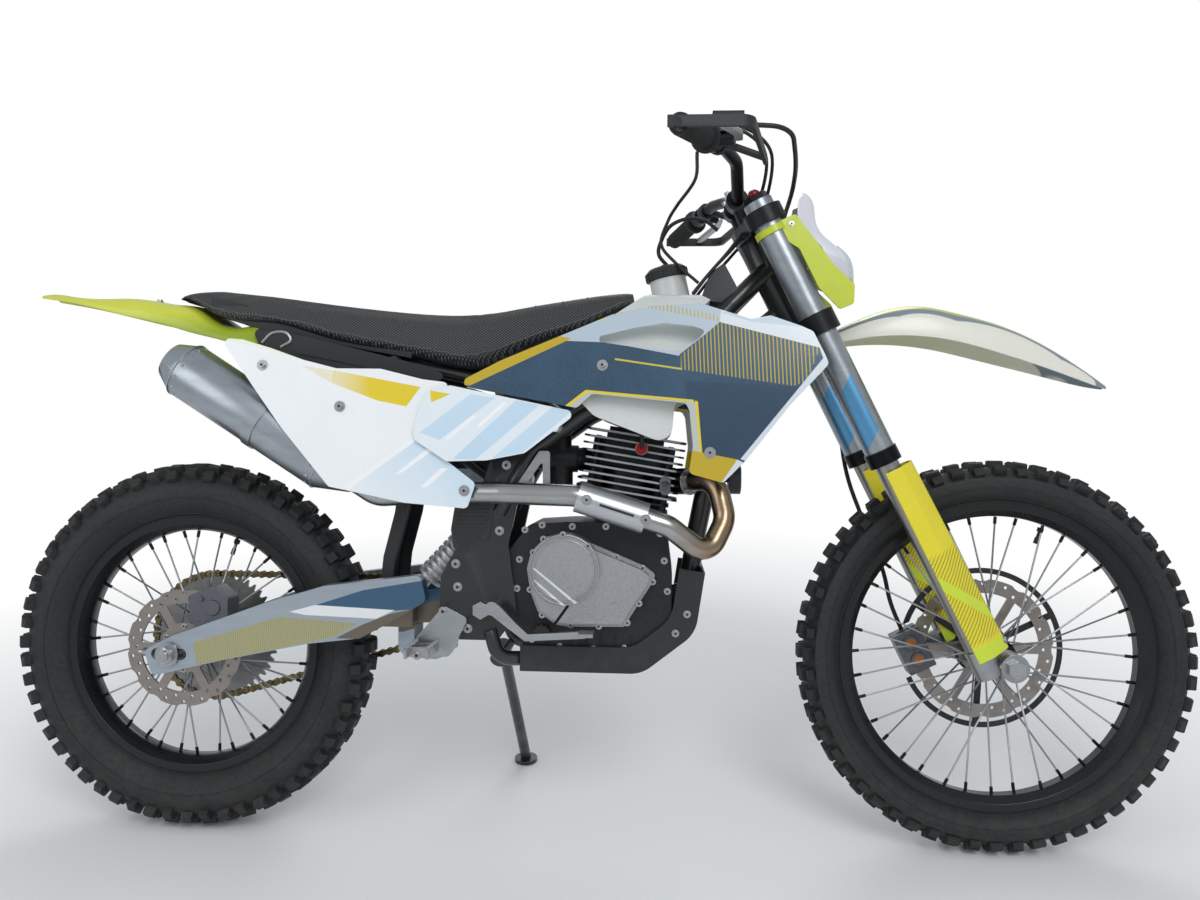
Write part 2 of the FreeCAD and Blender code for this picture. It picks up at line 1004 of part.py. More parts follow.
def side_plate(points, y_from, y_to, corner=0.0):
    """A plate with a side-view outline, from one depth to another."""
    placed = [vec(p.x, y_from, p.z) for p in points]
    return flat_face(placed, corner).extrude(vec(0, y_to - y_from, 0))


def block(x_from, x_to, y_from, y_to, z_from, z_to):
    """A box between two corners."""
    low = vec(min(x_from, x_to), min(y_from, y_to), min(z_from, z_to))
    return Part.makeBox(abs(x_to - x_from), abs(y_to - y_from), abs(z_to - z_from), low)


def rod(start, end, radius):
    """A round bar between two points."""
    along = end - start
    return Part.makeCylinder(radius, along.Length, start, along)


def cross_rod(x, z, y_from, y_to, radius):
    """A round bar across the machine."""
    return rod(vec(x, y_from, z), vec(x, y_to, z), radius)


def ring(start, end, radius, bore):
    """A round bar with a bore right through."""
    along = unit(end - start)
    return rod(start, end, radius).cut(rod(start - along * overrun, end + along * overrun, bore))


def tube(points, radius, bend):
    """A round bar along straight runs and arcs."""
    path = Part.Wire(rounded_edges(points, bend, False))
    section = Part.Wire(Part.makeCircle(radius, points[0], points[1] - points[0]))
    return path.makePipeShell([section], True, False)


def round_profile(pairs):
    """A solid turned about the Y axis from (half width, radius) pairs."""
    points = [vec(0, across, radius) for across, radius in pairs]
    return Part.Face(Part.makePolygon(points + [points[0]])).revolve(ORIGIN, Y_AXIS, 360)


def hexagon(radius, start, along):
    """A hexagon bar, its corners at the radius."""
    level = abs(unit(along).y) > abs(unit(along).x) + abs(unit(along).z)
    across = unit(along.cross(X_AXIS) if level else along.cross(Y_AXIS))
    upwards = unit(along).cross(across)
    points = []
    for i in range(nut_corners):
        turn = 2 * math.pi * i / nut_corners
        points.append(start + across * (radius * math.cos(turn)) + upwards * (radius * math.sin(turn)))
    return Part.Face(Part.makePolygon(points + [points[0]])).extrude(along)


def smooth_line(points):
    """A smooth curve through the points, as an edge."""
    curve = Part.BSplineCurve()
    curve.interpolate(points)
    return curve.toShape()


def channel(shares, wall):
    """A shell lofted through arched sections: (x, half width, crown height, side drop) shares."""
    wires = []
    for across, out, up, drop in shares:
        crown = at(across, 0, up)
        half = layout_half_width * out
        fall = layout_height * drop
        left = [crown + vec(0, half * a, -fall * b) for a, b in channel_shares]
        outer = left + [vec(p.x, -p.y, p.z) for p in reversed(left[:-1])]
        inner = []
        for i, here in enumerate(outer):
            tangent = unit(outer[min(i + 1, len(outer) - 1)] - outer[max(i - 1, 0)])
            inner.append(here - tangent.cross(X_AXIS) * wall)
        back = list(reversed(inner))
        wires.append(
            Part.Wire(
                [
                    smooth_line(outer),
                    Part.makeLine(outer[-1], back[0]),
                    smooth_line(back),
                    Part.makeLine(back[-1], outer[0]),
                ]
            )
        )
    return Part.makeLoft(wires, True, False)


def fork_matrix():
    """Carries the fork's own frame to the upright machine."""
    matrix = FreeCAD.Matrix()
    matrix.rotateY(math.radians(-rake_angle))
    matrix.move(vec(wheelbase, 0, front_axle_z))
    return matrix


def fork_point(x, y, z):
    """A point of the fork's own frame on the upright machine."""
    return fork_matrix().multVec(vec(x, y, z))


def on_fork(shape):
    """A shape of the fork's own frame on the upright machine."""
    return shape.transformed(fork_matrix())


# Wheels


def flat_sided_ring(section, sides):
    """A solid ring of flat sides from its (half width, radius) section."""
    step = 2 * math.pi / sides
    rows = []
    for i in range(sides):
        turn = step * (i + 1 / 2)
        out, up = math.sin(turn), math.cos(turn)
        rows.append([vec(radius * out, across, radius * up) for across, radius in section])
    faces = []
    for i in range(sides):
        here, ahead = rows[i - 1], rows[i]
        for j in range(len(section)):
            corners = [here[j - 1], here[j], ahead[j], ahead[j - 1]]
            faces.append(Part.Face(Part.makePolygon(corners + [corners[0]])))
    shell = Part.makeShell(faces)
    shell.sewShape()
    return Part.makeSolid(shell)


def knob(section, length):
    """A tread block from its (half width, radius) section, standing on the top of the wheel."""
    points = [vec(-length / 2, across, radius) for across, radius in section]
    return Part.Face(Part.makePolygon(points + [points[0]])).extrude(vec(length, 0, 0))


def tyre(radius, half, crown_half, shoulder_half, shoulder_drop, rim_radius, rim_half, height, length):
    """A knobby tyre seated between the rim's flanges: centre knobs and, between them, side knobs."""
    bead_half = rim_half - rim_lip - seat_gap
    bead_radius = rim_radius - rim_flange_height + rim_wall + seat_gap
    widest_radius = rim_radius + (radius - rim_radius) * tyre_widest_share
    side = [
        (crown_half * carcass_crown_share, radius - height),
        (half, widest_radius),
        (bead_half, rim_radius + bead_rise),
        (bead_half, bead_radius / math.cos(math.pi / tyre_rows)),
    ]
    other = [(-across, up) for across, up in reversed(side)]
    root = radius - height * knob_base_drop_share
    centre_section = [(-crown_half, root), (crown_half, root), (crown_half, radius), (-crown_half, radius)]
    centre_knob = knob(centre_section, length)
    side_section = [
        (crown_half - height * knob_base_in_share, root),
        (shoulder_half - height * knob_base_out_share, radius - shoulder_drop - height * knob_root_drop_share),
        (shoulder_half, radius - shoulder_drop),
        (crown_half, radius - height * knob_top_gap_share),
    ]
    left_knob = knob(side_section, length)
    shapes = [flat_sided_ring(side + other, tyre_rows)]
    step = 360 / tyre_rows
    for i in range(tyre_rows):
        for block_shape, turn in (
            (centre_knob, step * i),
            (left_knob, step * (i + 1 / 2)),
            (mirrored(left_knob), step * (i + 1 / 2)),
        ):
            placed = block_shape.copy()
            placed.rotate(ORIGIN, Y_AXIS, turn)
            shapes.append(placed)
    return fused(shapes)


def rim(radius, bore, half):
    """A drop-centre rim section turned about the axle."""
    well_half = half * rim_well_half_share
    seat_radius = radius - rim_flange_height
    side = [
        (half, radius),
        (half, seat_radius),
        (well_half, bore),
    ]
    inside = [
        (half - rim_lip, radius),
        (half - rim_lip, seat_radius + rim_wall),
        (well_half - rim_wall / 2, bore + rim_wall),
    ]
    other = [(-across, up) for across, up in reversed(side)]
    other_inside = [(-across, up) for across, up in inside]
    return round_profile(side + other + other_inside + list(reversed(inside)))


def spool(flange_y, right, left):
    """A hub barrel with two spoke flanges, bored for its axle."""
    half_flange = hub_flange_thickness / 2
    bore = axle_radius + running_gap
    return round_profile(
        [
            (-right, bore),
            (-right, hub_barrel_radius),
            (-flange_y - half_flange, hub_barrel_radius),
            (-flange_y - half_flange, hub_flange_radius),
            (-flange_y + half_flange, hub_flange_radius),
            (-flange_y + half_flange, hub_barrel_radius),
            (flange_y - half_flange, hub_barrel_radius),
            (flange_y - half_flange, hub_flange_radius),
            (flange_y + half_flange, hub_flange_radius),
            (flange_y + half_flange, hub_barrel_radius),
            (left, hub_barrel_radius),
            (left, bore),
        ]
    )


def spokes(flange_y, rim_bore):
    """Crossed spokes, heads in turn on the inner and outer face of each flange, each with its nipple."""
    start_radius = hub_flange_radius - spoke_flange_inset
    side_step = hub_flange_thickness / 2
    end_radius = rim_bore - seat_gap - nipple_tip_drop
    made = []
    step = 2 * math.pi / spokes_per_wheel
    cross = math.radians(spoke_cross_angle)
    for i in range(spokes_per_wheel):
        side = 1 if i % 2 == 0 else -1
        outside = (i // 2) % 2 == 0
        at_rim = step * i
        at_hub = at_rim + (cross if outside else -cross)
        hub_y = side * (flange_y + (side_step if outside else -side_step))
        rim_y = side * (spoke_outer_rim_y if outside else spoke_inner_rim_y)
        start = vec(start_radius * math.cos(at_hub), hub_y, start_radius * math.sin(at_hub))
        end = vec(end_radius * math.cos(at_rim), rim_y, end_radius * math.sin(at_rim))
        along = unit(end - start)
        wire = rod(start, end - along * (nipple_length / 2), spoke_radius)
        nipple = rod(end - along * nipple_length, end, nipple_radius)
        made += [wire, nipple]
    return made


def laced_hub(flange_y, right, left, rim_bore):
    """The hub with its spokes."""
    return fused([spool(flange_y, right, left)] + spokes(flange_y, rim_bore))


def around(count, radius, y_from, y_to, size, half_step=0):
    """Round bars across the machine, spread on a circle about the Y axis."""
    made = []
    for i in range(count):
        turn = 2 * math.pi * (i + half_step / 2) / count
        made.append(cross_rod(radius * math.cos(turn), radius * math.sin(turn), y_from, y_to, size))
    return made


def brake_disc(radius, y):
    """A waved and drilled ring on arms, carried on the hub."""
    band_bore = radius - disc_band
    half = disc_thickness / 2
    band = round_profile([(-half, radius), (half, radius), (half, band_bore), (-half, band_bore)])
    bore = hub_barrel_radius + seat_gap
    carrier = round_profile(
        [(-half, disc_carrier_radius), (half, disc_carrier_radius), (half, bore), (-half, bore)]
    )
    shapes = [band, carrier]
    arm_start = disc_carrier_radius - disc_arm_width / 2
    arm_end = band_bore + disc_band / 2
    for i in range(disc_arms):
        arm = block(arm_start, arm_end, -half, half, -disc_arm_width / 2, disc_arm_width / 2)
        arm.rotate(ORIGIN, Y_AXIS, 360 * i / disc_arms)
        shapes.append(arm)
    reach = half + overrun
    wave_centre = radius + disc_wave_radius - disc_wave_depth
    cuts = around(disc_waves, wave_centre, -reach, reach, disc_wave_radius)
    for i, share in enumerate(disc_hole_rows):
        cuts += around(disc_holes_per_row, band_bore + disc_band * share, -reach, reach, disc_hole_radius, i)
    return moved(fused(shapes).cut(cuts), 0, y, 0)


def pitch_radius(teeth):
    """The radius of the chain's rollers on a sprocket."""
    return chain_pitch / (2 * math.sin(math.pi / teeth))


def sprocket(teeth, bore_radius):
    """A toothed plate; the teeth stand between the chain's rollers."""
    root_radius = pitch_radius(teeth) - chain_roller_radius - seat_gap
    tip_radius = pitch_radius(teeth) + sprocket_tooth_height
    step = 2 * math.pi / teeth
    root_turn = step * (1 - tooth_root_share) / 2
    tip_turn = step * tooth_tip_share
    points = []
    for i in range(teeth):
        for offset, radius in (
            (-root_turn, root_radius),
            (-tip_turn, tip_radius),
            (tip_turn, tip_radius),
            (root_turn, root_radius),
        ):
            turn = step * i + offset
            points.append(vec(radius * math.cos(turn), 0, radius * math.sin(turn)))
    plate = side_plate(points, -sprocket_thickness / 2, sprocket_thickness / 2)
    return plate.cut(rod(vec(0, -overrun, 0), vec(0, overrun, 0), bore_radius))


def chain_loop(grow):
    """A belt outline round both sprockets, a distance outside the pitch circles."""
    rear_radius = pitch_radius(rear_teeth) + grow
    front_radius = pitch_radius(front_teeth) + grow
    rise = front_sprocket_z - rear_axle_z
    span = math.hypot(front_sprocket_x, rise)
    tilt = math.atan2(rise, front_sprocket_x)
    wrap = math.acos((rear_radius - front_radius) / span)
    rear = vec(0, 0, rear_axle_z)
    front = vec(front_sprocket_x, 0, front_sprocket_z)
    out_up = vec(math.cos(tilt + wrap), 0, math.sin(tilt + wrap))
    out_down = vec(math.cos(tilt - wrap), 0, math.sin(tilt - wrap))
    forward = vec(math.cos(tilt), 0, math.sin(tilt))
    edges = [
        Part.makeLine(rear + out_up * rear_radius, front + out_up * front_radius),
        Part.Arc(
            front + out_up * front_radius, front + forward * front_radius, front + out_down * front_radius
        ).toShape(),
        Part.makeLine(front + out_down * front_radius, rear + out_down * rear_radius),
        Part.Arc(
            rear + out_down * rear_radius, rear - forward * rear_radius, rear + out_up * rear_radius
        ).toShape(),
    ]
    return Part.Face(Part.Wire(edges))


def chain_edge():
    """The outer edge of the chain's plates: full height at each pin, waisted between."""
    pitch_line = chain_loop(0).OuterWire
    middle = chain_loop(0).CenterOfMass
    links = round(pitch_line.Length / chain_pitch)
    points = pitch_line.discretize(2 * links + 1)[:-1]
    placed = []
    for i, here in enumerate(points):
        outward = unit((points[(i + 1) % len(points)] - points[i - 1]).cross(Y_AXIS))
        if outward.dot(here - middle) < 0:
            outward = outward * -1
        placed.append(here + outward * (chain_waist_half_height if i % 2 else chain_plate_half_height))
    return Part.Face(Part.makePolygon(placed + [placed[0]]))


def chain():
    """One fixed loop round both sprockets: two side plates, joined across outside the teeth."""
    width = 2 * (chain_inner_half + chain_plate)
    loop = chain_edge().extrude(vec(0, width, 0))
    inner = chain_loop(-chain_plate_half_height).extrude(vec(0, width, 0))
    groove = chain_loop(sprocket_tooth_height + seat_gap).extrude(vec(0, 2 * chain_inner_half, 0))
    return moved(loop.cut([inner, moved(groove, 0, chain_plate, 0)]), 0, chain_y - width / 2, 0)


def front_wheel():
    """The nodes that turn with the front wheel."""
    made = {
        "front_tyre": tyre(
            front_tyre_radius,
            front_tyre_half,
            front_crown_half,
            front_shoulder_half,
            front_shoulder_drop,
            front_rim_radius,
            front_rim_half,
            front_knob_height,
            front_knob_length,
        ),
        "front_rim": rim(front_rim_radius, front_rim_bore, front_rim_half),
        "front_hub": laced_hub(front_flange_y, front_hub_half, front_hub_half, front_rim_bore),
        "front_disc": brake_disc(front_disc_radius, front_disc_y),
    }
    return {name: moved(shape, wheelbase, 0, front_axle_z) for name, shape in made.items()}


def rear_wheel():
    """The nodes that turn with the rear wheel."""
    made = {
        "rear_tyre": tyre(
            rear_tyre_radius,
            rear_tyre_half,
            rear_crown_half,
            rear_shoulder_half,
            rear_shoulder_drop,
            rear_rim_radius,
            rear_rim_half,
            rear_knob_height,
            rear_knob_length,
        ),
        "rear_rim": rim(rear_rim_radius, rear_rim_bore, rear_rim_half),
        "rear_hub": laced_hub(rear_flange_y, rear_hub_right, rear_hub_left, rear_rim_bore),
        "rear_disc": brake_disc(rear_disc_radius, -rear_disc_y),
        "rear_sprocket": moved(sprocket(rear_teeth, hub_barrel_radius + seat_gap), 0, chain_y, 0),
    }
    return {name: moved(shape, 0, 0, rear_axle_z) for name, shape in made.items()}


# Fork and steering


def leg_point(height, side=1):
    """A point on a fork leg's own line, in the fork's own frame."""
    return vec(-axle_lead, side * fork_half_spacing, height)


def fork_tubes():
    """The two outer tubes with their caps, adjusters and seal collars."""
    top = leg_point(outer_tube_top)
    body = rod(leg_point(outer_tube_bottom), top, outer_tube_radius)
    foot = leg_point(outer_tube_bottom)
    collar = rod(foot, foot + Z_AXIS * fork_seal_height, fork_seal_radius)
    bore = rod(
        leg_point(outer_tube_bottom - overrun),
        leg_point(outer_tube_bottom + inner_tube_overlap + overrun),
        inner_tube_radius + seat_gap,
    )
    cap = hexagon(fork_cap_radius, top, vec(0, 0, fork_cap_height))
    cap_top = outer_tube_top + fork_cap_height
    adjuster = rod(leg_point(cap_top), leg_point(cap_top + fork_adjuster_height), fork_adjuster_radius)
    leg = fused([body, collar, cap, adjuster]).cut(bore)
    return both_sides(on_fork(leg))


def caliper_bracket():
    """The lug on the left fork leg that carries the front caliper."""
    outer = front_caliper_outer_y + seat_gap
    return block(
        -front_bracket_left,
        -front_bracket_right,
        outer,
        outer + front_bracket_thickness,
        front_bracket_foot,
        front_bracket_foot + front_bracket_height,
    )


def fork_legs():
    """The two inner tubes, each with its axle lug, the left one with the caliper's bracket."""
    bore = rod(vec(0, 0, 0), vec(0, 2 * fork_half_spacing, 0), axle_radius + seat_gap)
    stanchion = rod(leg_point(0), leg_point(outer_tube_bottom + inner_tube_overlap), inner_tube_radius)
    boot = rod(leg_point(0), leg_point(axle_lug_top), axle_lug_radius)
    lug_from = vec(0, fork_half_spacing - axle_lug_half, 0)
    lug = rod(lug_from, lug_from + vec(0, 2 * axle_lug_half, 0), axle_lug_radius)
    leg = fused([stanchion, boot, lug]).cut(bore)
    left = fused([leg, caliper_bracket()])
    return Part.makeCompound([on_fork(left), mirrored(on_fork(leg))])


def guard_section(grow, nose, height):
    """The inner line of a fork guard at one height, open at the back."""
    x = -axle_lead
    y = fork_half_spacing
    reach = inner_tube_radius + guard_clearance
    return [
        vec(x - reach * guard_back_share, y - reach - grow, height),
        vec(x + reach * guard_edge_share, y - reach - grow, height),
        vec(x + reach + nose + grow, y - reach * guard_inside_share, height),
        vec(x + reach + nose + grow, y + reach * guard_outside_share, height),
        vec(x + reach * guard_edge_share, y + reach + grow, height),
        vec(x - reach * guard_back_share, y + reach + grow, height),
    ]


def guard_block(grow, bottom, top):
    """The filled form of a fork guard, between two heights."""
    wires = []
    for height, nose in ((bottom, guard_nose), (top, guard_nose * guard_top_nose_share)):
        wires.append(Part.Wire(rounded_edges(guard_section(grow, nose, height), guard_corner, True)))
    return Part.makeLoft(wires, True, True)


def fork_guards():
    """Plastic guards in front of the inner tubes, wrapped round their sides."""
    x = -axle_lead
    y = fork_half_spacing
    reach = inner_tube_radius + guard_clearance
    shell = guard_block(guard_wall, guard_bottom, guard_top).cut(
        guard_block(0, guard_bottom - overrun, guard_top + overrun)
    )
    back = block(
        x - 2 * reach,
        x - reach * guard_inside_share,
        y - 2 * reach,
        y + 2 * reach,
        guard_bottom - overrun,
        guard_top + overrun,
    )
    foot = block(
        x + axle_lug_radius + seat_gap,
        x + reach + guard_wall,
        y - guard_foot_half,
        y + guard_foot_half,
        guard_bottom,
        axle_lug_top,
    )
    nose = block(
        x + reach,
        x + reach + guard_nose + guard_wall / 2,
        y - guard_foot_half,
        y + guard_foot_half,
        guard_bottom,
        axle_lug_top,
    )
    guard = fused([largest(shell.cut(back)), foot, nose])
    return both_sides(on_fork(guard))


def clamp_plate(bottom, height):
    """A fork clamp: two rings round the tubes, a bridge to the steering axis and pinch lugs."""
    radius = outer_tube_radius + clamp_wall
    y = fork_half_spacing
    front = -axle_lead + radius * clamp_front_share
    middle = -axle_lead + radius * clamp_middle_share
    rear = -axle_lead - radius * clamp_rear_share
    stem_rear = -steer_offset - clamp_bridge_half
    points = [
        vec(front, -y, bottom),
        vec(middle, 0, bottom),
        vec(front, y, bottom),
        vec(rear, y, bottom),
        vec(stem_rear, clamp_bridge_half, bottom),
        vec(stem_rear, -clamp_bridge_half, bottom),
        vec(rear, -y, bottom),
    ]
    shapes = [Part.Face(Part.Wire(rounded_edges(points, clamp_wall, True))).extrude(vec(0, 0, height))]
    bores = []
    for side in (1, -1):
        shapes.append(rod(leg_point(bottom, side), leg_point(bottom + height, side), radius))
        lug = vec(front + clamp_pinch_radius, side * (y - clamp_pinch_half), bottom + height / 2)
        shapes.append(rod(lug, lug + vec(0, side * clamp_pinch_half, 0), clamp_pinch_radius))
        below = leg_point(bottom - overrun, side)
        above = leg_point(bottom + height + overrun, side)
        bores.append(rod(below, above, outer_tube_radius + seat_gap))
    return fused(shapes).cut(bores)


def lower_clamp():
    """The lower fork clamp with the steering stem pressed in."""
    plate = clamp_plate(lower_clamp_bottom, lower_clamp_height)
    stem = rod(
        vec(-steer_offset, 0, lower_clamp_bottom),
        vec(-steer_offset, 0, upper_clamp_bottom + upper_clamp_height + seat_gap),
        stem_radius,
    )
    return on_fork(fused([plate, stem]))


def upper_clamp():
    """The upper fork clamp with the stem nut."""
    plate = clamp_plate(upper_clamp_bottom, upper_clamp_height)
    top = upper_clamp_bottom + upper_clamp_height
    bore = rod(
        vec(-steer_offset, 0, upper_clamp_bottom - overrun),
        vec(-steer_offset, 0, top + stem_nut_height / 2),
        stem_radius + seat_gap,
    )
    nut = hexagon(stem_nut_radius, vec(-steer_offset, 0, top), vec(0, 0, stem_nut_height))
    return on_fork(fused([plate, nut]).cut(bore))


def bar_centre():
    """The middle of the handlebar, in the fork's own frame."""
    return vec(-axle_lead - bar_mount_back, 0, upper_clamp_bottom + upper_clamp_height + bar_mount_rise)


def bar_mount():
    """Two risers with their split clamps round the bar."""
    top = upper_clamp_bottom + upper_clamp_height
    centre = bar_centre()
    made = []
    for side in (1, -1):
        y = side * riser_half_spacing
        post = rod(vec(centre.x, y, top + seat_gap), vec(centre.x, y, centre.z), riser_radius)
        near = vec(centre.x, y - riser_radius, centre.z)
        far = vec(centre.x, y + riser_radius, centre.z)
        collar = rod(near, far, bar_radius + clamp_wall)
        bore = rod(near - Y_AXIS * overrun, far + Y_AXIS * overrun, bar_radius + seat_gap)
        made.append(post.fuse(collar).cut(bore))
    return on_fork(Part.makeCompound(made))


def bar_points():
    """The handlebar's bends from the right end to the left, on the upright machine."""
    centre = fork_matrix().multVec(bar_centre())
    left = [centre + offset for offset in run(bar_offset_shares)]
    right = [centre + offset for offset in run(bar_offset_shares, -1)]
    return list(reversed(right)) + left


def handlebar():
    """The handlebar tube."""
    return tube(bar_points(), bar_radius, bar_bend)


def grip_line(side):
    """The outer end of the bar and the direction towards the middle, on one side."""
    points = bar_points()
    outer, inner = (points[-1], points[-2]) if side > 0 else (points[0], points[1])
    return outer, unit(inner - outer)


def grips():
    """Rubber grips with a flange at the inner end."""
    made = []
    for side in (1, -1):
        outer, inward = grip_line(side)
        inner = outer + inward * grip_length
        sleeve = rod(outer, inner, grip_radius)
        flange = rod(inner - inward * grip_flange_width, inner, grip_flange_radius)
        bore = rod(outer - inward * overrun, inner + inward * overrun, bar_radius + seat_gap)
        made.append(sleeve.fuse(flange).cut(bore))
    return Part.makeCompound(made)


def perch_middle(side):
    """The middle of a lever perch on the bar."""
    outer, inward = grip_line(side)
    return outer + inward * (grip_length + perch_gap + perch_width / 2)


def lever_directions(side):
    """The unit directions along a lever towards its tip, and ahead of it."""
    _, inward = grip_line(side)
    along = unit(X_AXIS * lever_sweep - inward * lever_length)
    ahead = unit(along.cross(Z_AXIS)) * side
    return along, ahead


def perches():
    """Lever perches clamped on the bar inside the grips, the right one with its fluid reservoir."""
    made = []
    for side in (1, -1):
        _, inward = grip_line(side)
        middle = perch_middle(side)
        near = middle - inward * (perch_width / 2)
        far = middle + inward * (perch_width / 2)
        _, ahead = lever_directions(side)
        body = [rod(near, far, perch_radius), rod(middle, middle + ahead * perch_reach, perch_arm_radius)]
        if side < 0:
            foot = middle + vec(0, 0, bar_radius)
            y_from = foot.y - reservoir_depth / 2
            box_points = [
                vec(foot.x, y_from, foot.z),
                vec(foot.x + reservoir_length, y_from, foot.z),
                vec(foot.x + reservoir_length, y_from, foot.z + reservoir_height),
                vec(foot.x, y_from, foot.z + reservoir_height),
            ]
            body.append(side_plate(box_points, y_from, y_from + reservoir_depth, reservoir_corner))
        bore = rod(near - inward * overrun, far + inward * overrun, bar_radius + seat_gap)
        made.append(fused(body).cut(bore))
    return Part.makeCompound(made)


def levers():
    """Front brake and clutch levers in front of the grips."""
    made = []
    half = lever_width / 2
    for side in (1, -1):
        along, ahead = lever_directions(side)
        pivot = perch_middle(side) + ahead * (perch_reach + half + seat_gap)
        rise = unit(along.cross(ahead)) * lever_thickness
        middle_line = []
        for along_share, ahead_share in lever_line_shares:
            middle_line.append(pivot + (along * along_share + ahead * ahead_share) * lever_length)
        near = [p - ahead * half for p in middle_line]
        far = [p + ahead * half for p in middle_line]
        points = [p - rise / 2 for p in near + list(reversed(far))]
        made.append(flat_face(points, lever_corner).extrude(rise))
    return Part.makeCompound(made)


def handguards():
    """Strips from the bar ends round in front of the levers, with a stay back to the bar."""
    made = []
    low = vec(0, 0, -handguard_height / 2)
    skin = handguard_thickness
    for side in (1, -1):
        outer, inward = grip_line(side)
        end = outer - inward * seat_gap
        clamp_start = grip_length + perch_gap + perch_width + guard_stay_gap
        near = outer + inward * clamp_start
        far = near + inward * guard_clamp_width
        middle = (near + far) / 2
        across = vec(0, side * skin, 0)
        ahead = vec(skin, 0, 0)
        back = vec(guard_clamp_radius, 0, 0)
        tip = end + vec(0, side * handguard_side_gap, 0) + across
        front = tip + vec(handguard_reach, 0, 0)
        inner = vec(middle.x + handguard_inner_reach, middle.y - side * handguard_tail, end.z)
        points = [tip - back, front, inner + ahead, inner, front - ahead - across, tip - across - back]
        strip = flat_face([p + low for p in points], handguard_corner).extrude(vec(0, 0, handguard_height))
        knuckle = rod(end, end - inward * (handguard_side_gap + skin), handguard_bolt_radius)
        stay_end = vec(inner.x + skin / 2, middle.y, inner.z)
        stay = rod(middle + X_AXIS * guard_stay_start, stay_end, guard_stay_radius)
        clamp = ring(near, far, guard_clamp_radius, bar_radius + seat_gap)
        made.append(fused([strip, knuckle, clamp, stay]))
    return Part.makeCompound(made)


def mask_surface():
    """The outer surface of the headlight mask."""
    grid = []
    for i in range(mask_columns):
        across = -1 + 2 * i / (mask_columns - 1)
        line = []
        for up, rake in mask_profile_shares:
            x = mask_nose_x - mask_rake * rake - mask_wrap * abs(across) ** mask_wrap_power
            line.append(vec(x, across * mask_half_width, mask_bottom_z + mask_height * up))
        grid.append(line)
    surface = Part.BSplineSurface()
    surface.interpolate(grid)
    return surface.toShape()


def front_view(shares, x, grow=0.0):
    """Points of a front-view outline on the mask's box, at one depth."""
    middle = mask_height * sum(up for _, up in shares) / len(shares)
    points = []
    for across, up in shares:
        point = vec(0, mask_half_width * across, mask_height * up - middle)
        outward = unit(point) * grow
        points.append(point + outward + vec(x, 0, mask_bottom_z + middle))
    return points


def headlight_mask():
    """A number-plate mask in front of the fork, its sides wrapped back, open round the lamp."""
    slab = mask_surface().extrude(vec(-mask_wall, 0, 0))
    start = mask_nose_x - mask_rake - mask_wrap - mask_wall - overrun
    reach = mask_nose_x + overrun - start
    prism = flat_face(front_view(mask_shares, start), mask_corner).extrude(vec(reach, 0, 0))
    opening = flat_face(front_view(lamp_shares, start, seat_gap), lamp_corner).extrude(vec(reach, 0, 0))
    return largest(slab.common(prism).cut(opening))


def headlight():
    """The lamp: its housing and lens, standing through the mask."""
    housing = flat_face(front_view(lamp_shares, lamp_back_x), lamp_corner).extrude(
        vec(mask_nose_x - lamp_back_x + overrun, 0, 0)
    )
    front = mask_surface().extrude(vec(-mask_nose_x, 0, 0))
    front.translate(vec(lamp_proud, 0, 0))
    return largest(housing.common(front))


def mask_brackets():
    """Side plates from the mask to straps round the fork's outer tubes."""
    outer_y = bracket_inner_y + bracket_thickness
    shapes = [side_plate(side_view(bracket_shares), bracket_inner_y, outer_y, bracket_corner)]
    for height in bracket_strap_heights:
        foot = leg_point(height)
        strap = rod(foot, foot + Z_AXIS * bracket_strap_width, outer_tube_radius + bracket_strap_wall)
        shapes.append(on_fork(strap))
    bore = rod(leg_point(outer_tube_bottom), leg_point(outer_tube_top), outer_tube_radius + seat_gap)
    return both_sides(largest(fused(shapes).cut(on_fork(bore))))


def front_fender():
    """A long blade over the front wheel, arched across and drooping to its tip."""
    return largest(channel(front_fender_shares, fender_wall))


def front_axle():
    """The front axle with its spacers and its hexagon end on the right."""
    half = fork_half_spacing + axle_lug_half
    shaft = cross_rod(wheelbase, front_axle_z, -half - overrun, half + overrun, axle_radius)
    nut = hexagon(
        axle_nut_radius,
        vec(wheelbase, -half - seat_gap, front_axle_z),
        vec(0, -axle_nut_height, 0),
    )
    shapes = [shaft, nut]
    lug_inner = fork_half_spacing - axle_lug_half
    for side in (1, -1):
        y_from = side * (front_hub_half + seat_gap)
        y_to = side * (lug_inner - seat_gap)
        shapes.append(cross_rod(wheelbase, front_axle_z, y_from, y_to, spacer_radius))
    return fused(shapes)


def front_caliper():
    """The front brake caliper behind the left leg, open round the disc."""
    reach = front_disc_radius - disc_band / 2
    x_from = -reach - front_caliper_half
    x_to = -reach + front_caliper_half
    z_to = front_caliper_z + front_caliper_height
    body = block(x_from, x_to, front_caliper_inner_y, front_caliper_outer_y, front_caliper_z, z_to)
    gap = disc_thickness / 2 + caliper_side_gap
    slot = block(
        x_from + caliper_wall,
        x_to + overrun,
        front_disc_y - gap,
        front_disc_y + gap,
        front_caliper_z - overrun,
        z_to + overrun,
    )
    return on_fork(body.cut(slot))


